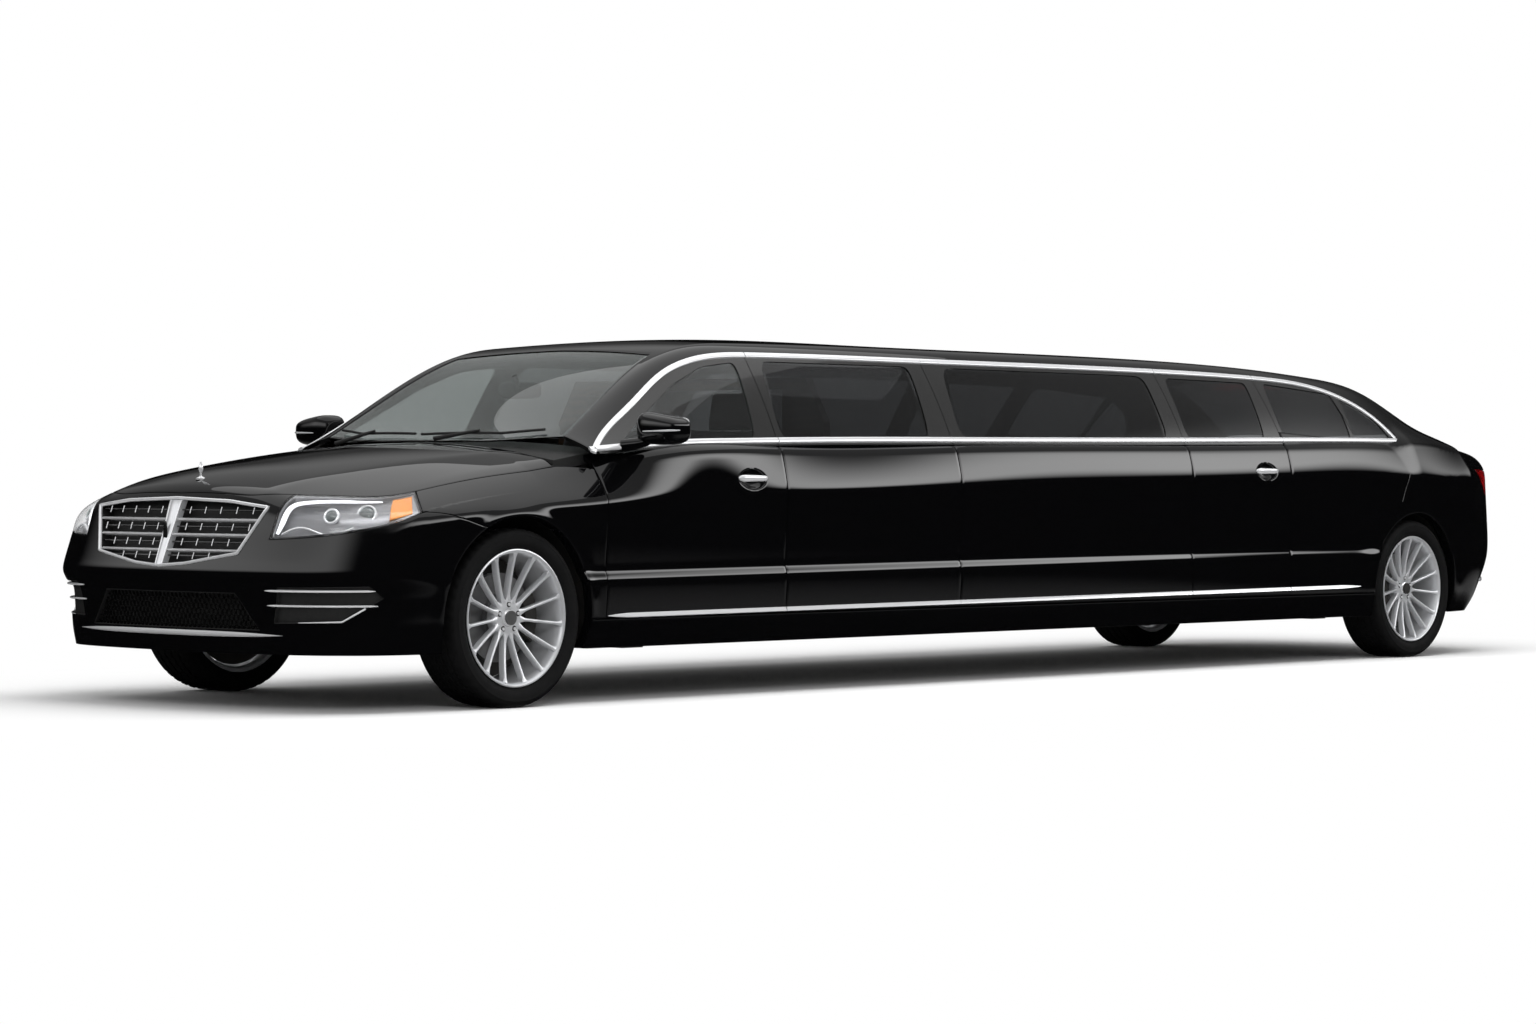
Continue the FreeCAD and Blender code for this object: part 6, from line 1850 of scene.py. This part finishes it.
for axle in ("front", "rear"):
    for side in ("left", "right"):
        name, right = "%s_%s" % (axle, side), side == "right"
        low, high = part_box("tyre_" + name)
        centre = (np.array(low) + np.array(high)) / 2
        wheel = "wheel_" + name
        Piece("road_tyre_" + name).grid(set_at(tyre_grid, centre, right), wrap=True).build(
            tyre_rubber.material, wheel, "tyre", ("tyre_" + name,), sharp=28)
        rim = Piece("spoked_rim_" + name).grid(set_at(barrel, centre, right), wrap=True)
        rim.grid(set_at(hub, centre, right), wrap=True)
        bolts, pocket_shades = Piece("wheel_bolts_" + name), Piece("bolt_pockets_" + name)
        for a in np.pi / 2 + round_y(SPOKES):
            spoke = stack(r * np.cos(a) - across * np.sin(a), up, r * np.sin(a) + across * np.cos(a))
            rim.grid(set_at(spoke, centre, right), wrap=True, caps=True)
        bolts.grid(set_at(lathe([(0.050, 0), (0.050, 0.0335), (0.0640, 0.0335), (0.0675, 0.0325),
                                 (0.0700, 0.028), (0.0712, 0.018), (0.0716, 0)], (0, 0, 0), 60), centre,
                                 right), wrap=True)
        for a in np.pi / 2 + round_y(BOLTS):
            spot = 0.0530 * np.array([math.cos(a), 0, math.sin(a)])
            # Painted shade: a flat dark disc on the hub face round each bolt stands for the shadowed bolt
            # hole, which is not cut into the hub.
            pocket_shades.grid(set_at(lathe([(0.060, 0), (0.060, 0.0115), (0.0641, 0.0115), (0.0641, 0)], spot,
                                      24), centre,
                                right), wrap=True)
            bolts.grid(set_at(lathe([(0.060, 0), (0.060, 0.0078), (0.0685, 0.0074), (0.0695, 0.0060),
                                     (0.0695, 0)],
                                    spot, 6), centre, right), wrap=True)
        rim.build(alloy.material, wheel, "alloy", ("rim_" + name,), sharp=30)
        bolts.build(chrome.material, wheel, "chrome")
        pocket_shades.build(trim.material, wheel, "plastic")
        disc = lathe([(-0.022, 0.070), (-0.022, 0.176), (-0.012, 0.1765), (-0.012, 0.100), (-0.004, 0.100),
                      (-0.004, 0.1765), (0.006, 0.176), (0.006, 0.092), (0.018, 0.088), (0.018, 0.070),
                      (-0.022, 0.070)],
                     (0, 0, 0), 96)
        Piece("brake_disc_" + name).grid(set_at(disc, centre, right), wrap=True).build(steel.material, wheel,
                                                                                       "steel")
        start_angle = math.radians(150 if axle == "front" else -35)
        block = lathe([(-0.045, 0.120), (-0.045, 0.186), (-0.030, 0.194), (0.018, 0.194), (0.034, 0.184),
                       (0.036, 0.120), (0.012, 0.114), (0.012, 0.182), (-0.028, 0.182), (-0.028, 0.114),
                       (-0.045, 0.120)],
                      (0, 0, 0), 24, start_angle, math.radians(62))
        caliper = Piece("brake_caliper_" + name)
        caliper.grid(set_at(block.swapaxes(0, 1)[:-1], centre, right), wrap=True, caps=True)
        rider = "knuckle_" + side if axle == "front" else "body"
        shield = lathe([(-0.078, 0.080), (-0.078, 0.236), (-0.070, 0.240), (-0.074, 0.080), (-0.078, 0.080)],
                       (0, 0, 0), 72)
        caliper.grid(set_at(shield, centre, right), wrap=True).build(iron.material, rider, "iron")
print("wheels done; tyre grid", tyre_grid.shape[:2])

# %% [markdown]
# ## Seats and cabin fittings
# A seat is foam under leather: cushion, back and head restraint are separate pads. Each is crowned, pinched
# at the piping that joins its two covers, drawn down along sewn channels, and its sides pull in between the
# corners. Both covers are built over one outline, so they meet exactly at the piping.

# %% Padded seats
PAD_POINTS = (19, 37)  # along and across a cushion's cover
PIPING_RADIUS = 0.0028


def pad(name, node, middle, along, across, up, thick, channels=6, bolster=0.0):
    """Two covers over u and v from -1 to 1 stand off a middle plane by thick * ((1 - |u|^5) (1 -
    |v|^5))^0.45. The upper one is thicker at the bolsters and 6 mm lower at each channel; the lower one has
    0.9 of the thickness. The outline pulls in by 3 in 100 half way along each side."""
    middle, along, across, up = (np.array(v, float) for v in (middle, along, across, up))
    normal = np.cross(along, across)
    normal *= np.sign(normal @ up) / np.linalg.norm(normal)
    u, v = np.meshgrid(*(np.sin(np.linspace(-np.pi / 2, np.pi / 2, n)) for n in PAD_POINTS), indexing="ij")
    rise = np.clip((1 - np.abs(u)**5) * (1 - np.abs(v)**5), 0, 1) ** 0.45
    waist_u, waist_v = 1 - 0.03 * (1 - v**2), 1 - 0.03 * (1 - u**2)
    plan = middle + (u * waist_u)[..., None] * along + (v * waist_v)[..., None] * across
    phase = (v / 2 + 0.5) * channels
    groove = np.exp(-((phase - np.round(phase)) / 0.11) ** 2) * (channels > 0)
    groove = groove * np.clip((0.86 - np.abs(u)) / 0.12, 0, 1)
    upper = thick * rise * (1 + bolster * np.exp(-((np.abs(v) - 0.80) / 0.13) ** 2)) / (1
            + bolster) - 0.006 * rise * groove
    piece = Piece(name).grid(plan + upper[..., None] * normal)
    piece.grid(plan - (0.9 * thick * rise)[..., None] * normal, flip=True)
    thing = piece.build(leather.material, "body", "leather", (node,))
    rim = np.concatenate([plan[:-1, 0], plan[-1, :-1], plan[:0:-1, -1], plan[0, ::-1]])
    piping[node].tube(rim[::2], PIPING_RADIUS, 6)


piping = {node: Piece(node + "_piping") for node in ("front_seats", "rear_bench", "side_bench")}
SEAT_X = S1 - 0.955
for side, y in (("left", 0.380), ("right", -0.380)):
    pad("front_cushion_" + side, "front_seats", (SEAT_X, y, 0.512), (0.258, 0, 0.012), (0, 0.250, 0),
        (0, 0, 1), 0.074, bolster=0.3)
    pad("front_back_" + side, "front_seats", (SEAT_X - 0.324, y, 0.829), (-0.094, 0, 0.283), (0, 0.245, 0),
        (1, 0, 0), 0.058, bolster=0.3)
    pad("head_restraint_" + side, "front_seats", (SEAT_X - 0.423, y, 1.192), (-0.016, 0, 0.080),
        (0, 0.125, 0), (1, 0, 0), 0.042, channels=0)
BENCH_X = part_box("rear_bench")[1][0] - 0.242
for k, y in enumerate((-0.460, 0.0, 0.460)):
    pad("rear_cushion_%d" % (k + 1), "rear_bench", (BENCH_X, y, 0.515), (0.232, 0, 0.008), (0, 0.224, 0),
        (0, 0, 1), 0.072)
    pad("rear_back_%d" % (k + 1), "rear_bench", (BENCH_X - 0.235, y, 0.811), (-0.035, 0, 0.250),
        (0, 0.224, 0), (1, 0, 0), 0.058)
SIDE_SEATS = 5
SIDE_PITCH = (S2 - 0.480 - S4 - 0.060) / SIDE_SEATS
for k in range(SIDE_SEATS):
    x = S4 + 0.060 + SIDE_PITCH * (k + 0.5)
    pad("side_cushion_%d" % (k + 1), "side_bench", (x, -0.560, 0.513), (0, 0.240, 0),
        (SIDE_PITCH / 2 - 0.004, 0, 0), (0, 0, 1), 0.073)
    pad("side_back_%d" % (k + 1), "side_bench", (x, -0.769, 0.800), (0, -0.018, 0.218),
        (SIDE_PITCH / 2 - 0.004, 0, 0), (0, 1, 0), 0.041)

bases = {"front_seats": [((SEAT_X - 0.005, y, 0.366), (0.218, 0.178, 0.064)) for y in (0.380, -0.380)],
         "rear_bench": [((BENCH_X - 0.010, 0, 0.366), (0.198, 0.636, 0.064))],
         "side_bench": [(((S4 + S2 - 0.420) / 2, -0.580, 0.366), ((S2 - S4 - 0.660) / 2, 0.198, 0.064))]}
for node, blocks in bases.items():
    base = Piece(node + "_base")
    for centre, radii in blocks:
        base.grid(rounded_block(centre, radii, 0.22), wrap=True)
        if node == "front_seats":
            for y in (-0.055, 0.055):
                base.tube(np.array([(SEAT_X - 0.415, centre[1] + y, 1.075),
                                    (SEAT_X - 0.423, centre[1] + y, 1.140)]),
                          0.0065, 12)
    base.build(plastic.material, "body", "plastic", (node,))
    piping[node].build(leather.material, "body", "leather", (node,))

hang = on_top(np.array([S1 - 0.430]), np.array([0.0]), green_field, 0.70)[0]
inside_mirror = Piece("inside_mirror").grid(
    rounded_block(hang + [-0.020, 0.0, -0.078], (0.016, 0.118, 0.036), 0.45), wrap=True)
inside_mirror.tube(np.array([hang + [0.016, 0, -0.016], hang + [-0.014, 0, -0.070]]), 0.011, 14)
inside_mirror.build(plastic.material, "body", "plastic")
print("seats: 12 pads at the front and rear, %d on the side bench" % (2 * SIDE_SEATS))

# %% [markdown]
# ## CAD pieces that keep their own shape
# What is seen only from below or through glass keeps its CAD solid and gets one of the finishes above.

# %% Finishes for the CAD nodes
CAD_FINISH = {
    underbody: ["floor_pan", "wheelhouses", "front_frame", "rear_bulkhead", "firewall", "headlamp_units"],
    iron: ["engine", "rear_axle", "driveline", "exhaust"],
    steel: ["front_subframe", "knuckle_left", "knuckle_right"],
    plastic: ["cowl_panel", "intake_screens", "dashboard", "steering_wheel"],
    walnut: ["bar_cabinet", "divider"],
    leather: ["front_seats", "rear_bench", "side_bench"],
}
for finish, names in CAD_FINISH.items():
    for name in names:
        cad_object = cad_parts[name]
        if not cad_object.hide_render:
            for material_slot in cad_object.material_slots:
                material_slot.material = finish.material

# %% [markdown]
# ## Camera, floor and light
# The car stands on white in soft light. Black lacquer shows its form only by what it mirrors, so a dark
# ring, seen by reflections alone, stands round the car: the upright sides mirror its dark foot and stay
# black, and the shoulders, which look further up, mirror its bright upper half. A dark disc does the same
# for the floor.

# %% Camera
def look(position, yaw, pitch, roll):
    """Camera matrix from its heading, lift and roll in degrees; yaw is measured from -Y towards -X."""
    yaw, pitch, roll = (math.radians(a) for a in (yaw, pitch, roll))
    ahead = np.array([-math.sin(yaw) * math.cos(pitch), -math.cos(yaw) * math.cos(pitch), math.sin(pitch)])
    right = np.cross(ahead, [0, 0, 1])
    right /= np.linalg.norm(right)
    up = np.cross(right, ahead)
    turned_right = right * math.cos(roll) + up * math.sin(roll)
    turned_up = -right * math.sin(roll) + up * math.cos(roll)
    matrix = mathutils.Matrix.Identity(4)
    for column, axis in enumerate((turned_right, turned_up, -ahead, np.asarray(position))):
        for row in range(3):
            matrix[row][column] = float(axis[row])
    return matrix


scene = bpy.context.scene
camera = bpy.data.objects.new("camera", bpy.data.cameras.new("camera"))
scene.collection.objects.link(camera)
camera.data.sensor_width = 36.0
camera.data.lens = 91.76
camera.data.clip_end = 200.0
camera.matrix_world = look((14.141, 11.801, 0.909), 48.54, -0.51, 0.31)
scene.camera = camera


# %% Floor, ring and sky
def stage_mesh(name, verts, faces, material):
    mesh = bpy.data.meshes.new(name)
    mesh.from_pydata(verts, [], faces)
    mesh.materials.append(material)
    thing = bpy.data.objects.new(name, mesh)
    scene.collection.objects.link(thing)
    thing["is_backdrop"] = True
    return thing


def plain_tree(name):
    material = bpy.data.materials.new(name)
    material.use_nodes = True
    material.node_tree.nodes.clear()
    start = Value(material.node_tree, None)
    place = start.out(start.node("ShaderNodeTexCoord"), "Object")
    parts = start.node("ShaderNodeSeparateXYZ", None, Vector=place)
    return material, start, [start.out(parts, k) for k in range(3)]


def smooth_step(value, low, high):
    """Zero below low, one above high, with a smooth rise between: t * t * (3 - 2 t)."""
    t = ((value - low) / (high - low)).clip()
    return t * t * (3.0 - 2.0 * t)


floor_finish, start, (px, py, pz) = plain_tree("studio_floor")
far_x = start.math("MAXIMUM", start.math("ABSOLUTE", px) - 4.2, 0.0)
far_y = start.math("MAXIMUM", start.math("ABSOLUTE", py) - 0.85, 0.0)
away = (far_x * far_x + far_y * far_y) ** 0.5
white_share = smooth_step(away, 0.15, 1.7)
diffuse = start.node("ShaderNodeBsdfDiffuse", None, Color=rgb(0.93, 0.93, 0.93))
glow = start.node("ShaderNodeEmission", None, Color=rgb(1, 1, 1), Strength=1.0)
mixed = start.node("ShaderNodeMixShader", None, _0=white_share, _1=start.out(diffuse), _2=start.out(glow))
start.node("ShaderNodeOutputMaterial", None, Surface=start.out(mixed))
REACH = 60.0
stage_mesh("floor", [(-REACH, -REACH, 0), (REACH, -REACH, 0), (REACH, REACH, 0), (-REACH, REACH, 0)],
           [(0, 1, 2, 3)], floor_finish)

ring_finish, start, (px, py, pz) = plain_tree("studio_ring")


def emission(value):
    return start.out(start.node("ShaderNodeEmission", None, Color=rgb(value, value, value), Strength=1.0))


def shaders(share, first, second):
    return start.out(start.node("ShaderNodeMixShader", None, _0=share, _1=first, _2=second))


left = smooth_step(py, 1.0, 5.0) * (1.0 - smooth_step(px, 0.0, 4.0))
upper = shaders(smooth_step(pz, 3.3, 5.4), shaders(left, emission(0.05), emission(4.2)), emission(0.30))
whole = shaders(smooth_step(pz, 2.5, 3.1), emission(0.004), upper)
ahead = smooth_step(px, 5.5, 8.0) * smooth_step(pz, 1.4, 2.4) * (1.0 - smooth_step(pz, 3.2, 5.0))
whole = shaders(ahead, whole, emission(1.6))
start.node("ShaderNodeOutputMaterial", None, Surface=whole)
RING_RADIUS, RING_TOP, SIDES = 9.0, 9.0, 96
turn = np.linspace(0, 2 * math.pi, SIDES, endpoint=False)
wall = [(RING_RADIUS * math.cos(a), RING_RADIUS * math.sin(a), z) for z in (0.0, RING_TOP) for a in turn]
ring = stage_mesh("studio_ring", wall,
                  [(k, (k + 1) % SIDES, SIDES + (k + 1) % SIDES, SIDES + k) for k in range(SIDES)],
                  ring_finish)

disc_finish, start, (px, py, pz) = plain_tree("dark_floor")
far_x = start.math("MAXIMUM", start.math("ABSOLUTE", px) - 4.2, 0.0)
far_y = start.math("MAXIMUM", start.math("ABSOLUTE", py) - 0.85, 0.0)
away = (far_x * far_x + far_y * far_y) ** 0.5
glimmer = smooth_step(away, 0.5,
                      1.6) * (1.0 - smooth_step(away, 2.5, 3.9)) * (1.0 - smooth_step(px, 1.5, 3.5))
whole = shaders(glimmer, emission(0.004), emission(0.20))
start.node("ShaderNodeOutputMaterial", None, Surface=whole)
disc = stage_mesh("dark_floor",
                  [(RING_RADIUS * math.cos(a), RING_RADIUS * math.sin(a), 0.012) for a in turn],
                  [tuple(range(SIDES))], disc_finish)
for thing in (ring, disc):
    thing.visible_camera = thing.visible_diffuse = thing.visible_shadow = thing.visible_transmission = False
    thing.visible_volume_scatter = False

world = bpy.data.worlds.new("studio")
scene.world = world
world.use_nodes = True
world.node_tree.nodes.clear()
sky = Value(world.node_tree, None)
rays = sky.node("ShaderNodeLightPath")
seen = (sky.out(rays, "Is Camera Ray") + sky.out(rays, "Is Glossy Ray") + sky.out(rays,
        "Is Transmission Ray")).clip()
strength = 0.62 + 0.38 * seen
background = sky.node("ShaderNodeBackground", None, Color=rgb(1, 1, 1), Strength=strength)
sky.node("ShaderNodeOutputWorld", None, Surface=sky.out(background))


def soft_light(name, place, aim, size, power):
    lamp = bpy.data.lights.new(name, "AREA")
    lamp.shape, lamp.size, lamp.size_y, lamp.energy = "RECTANGLE", size[0], size[1], power
    thing = bpy.data.objects.new(name, lamp)
    scene.collection.objects.link(thing)
    direction = mathutils.Vector(aim) - mathutils.Vector(place)
    thing.location = place
    thing.rotation_euler = direction.to_track_quat("-Z", "Y").to_euler()
    thing.visible_camera = thing.visible_glossy = False
    return thing


soft_light("overhead", (0.0, 1.5, 6.0), (0.0, 0.0, 0.0), (10.0, 4.0), 420.0)
soft_light("front_left", (9.0, 7.0, 4.5), (2.0, 0.5, 0.6), (4.0, 2.0), 160.0)

scene.view_settings.view_transform = "Standard"
scene.view_settings.look = "None"

# %% Sizes, and the end
new_bounds = [list(corner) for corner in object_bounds()]
print("CAD box", [[round(v, 3) for v in c] for c in cad_bounds])
print("visual box", [[round(v, 3) for v in c] for c in new_bounds])
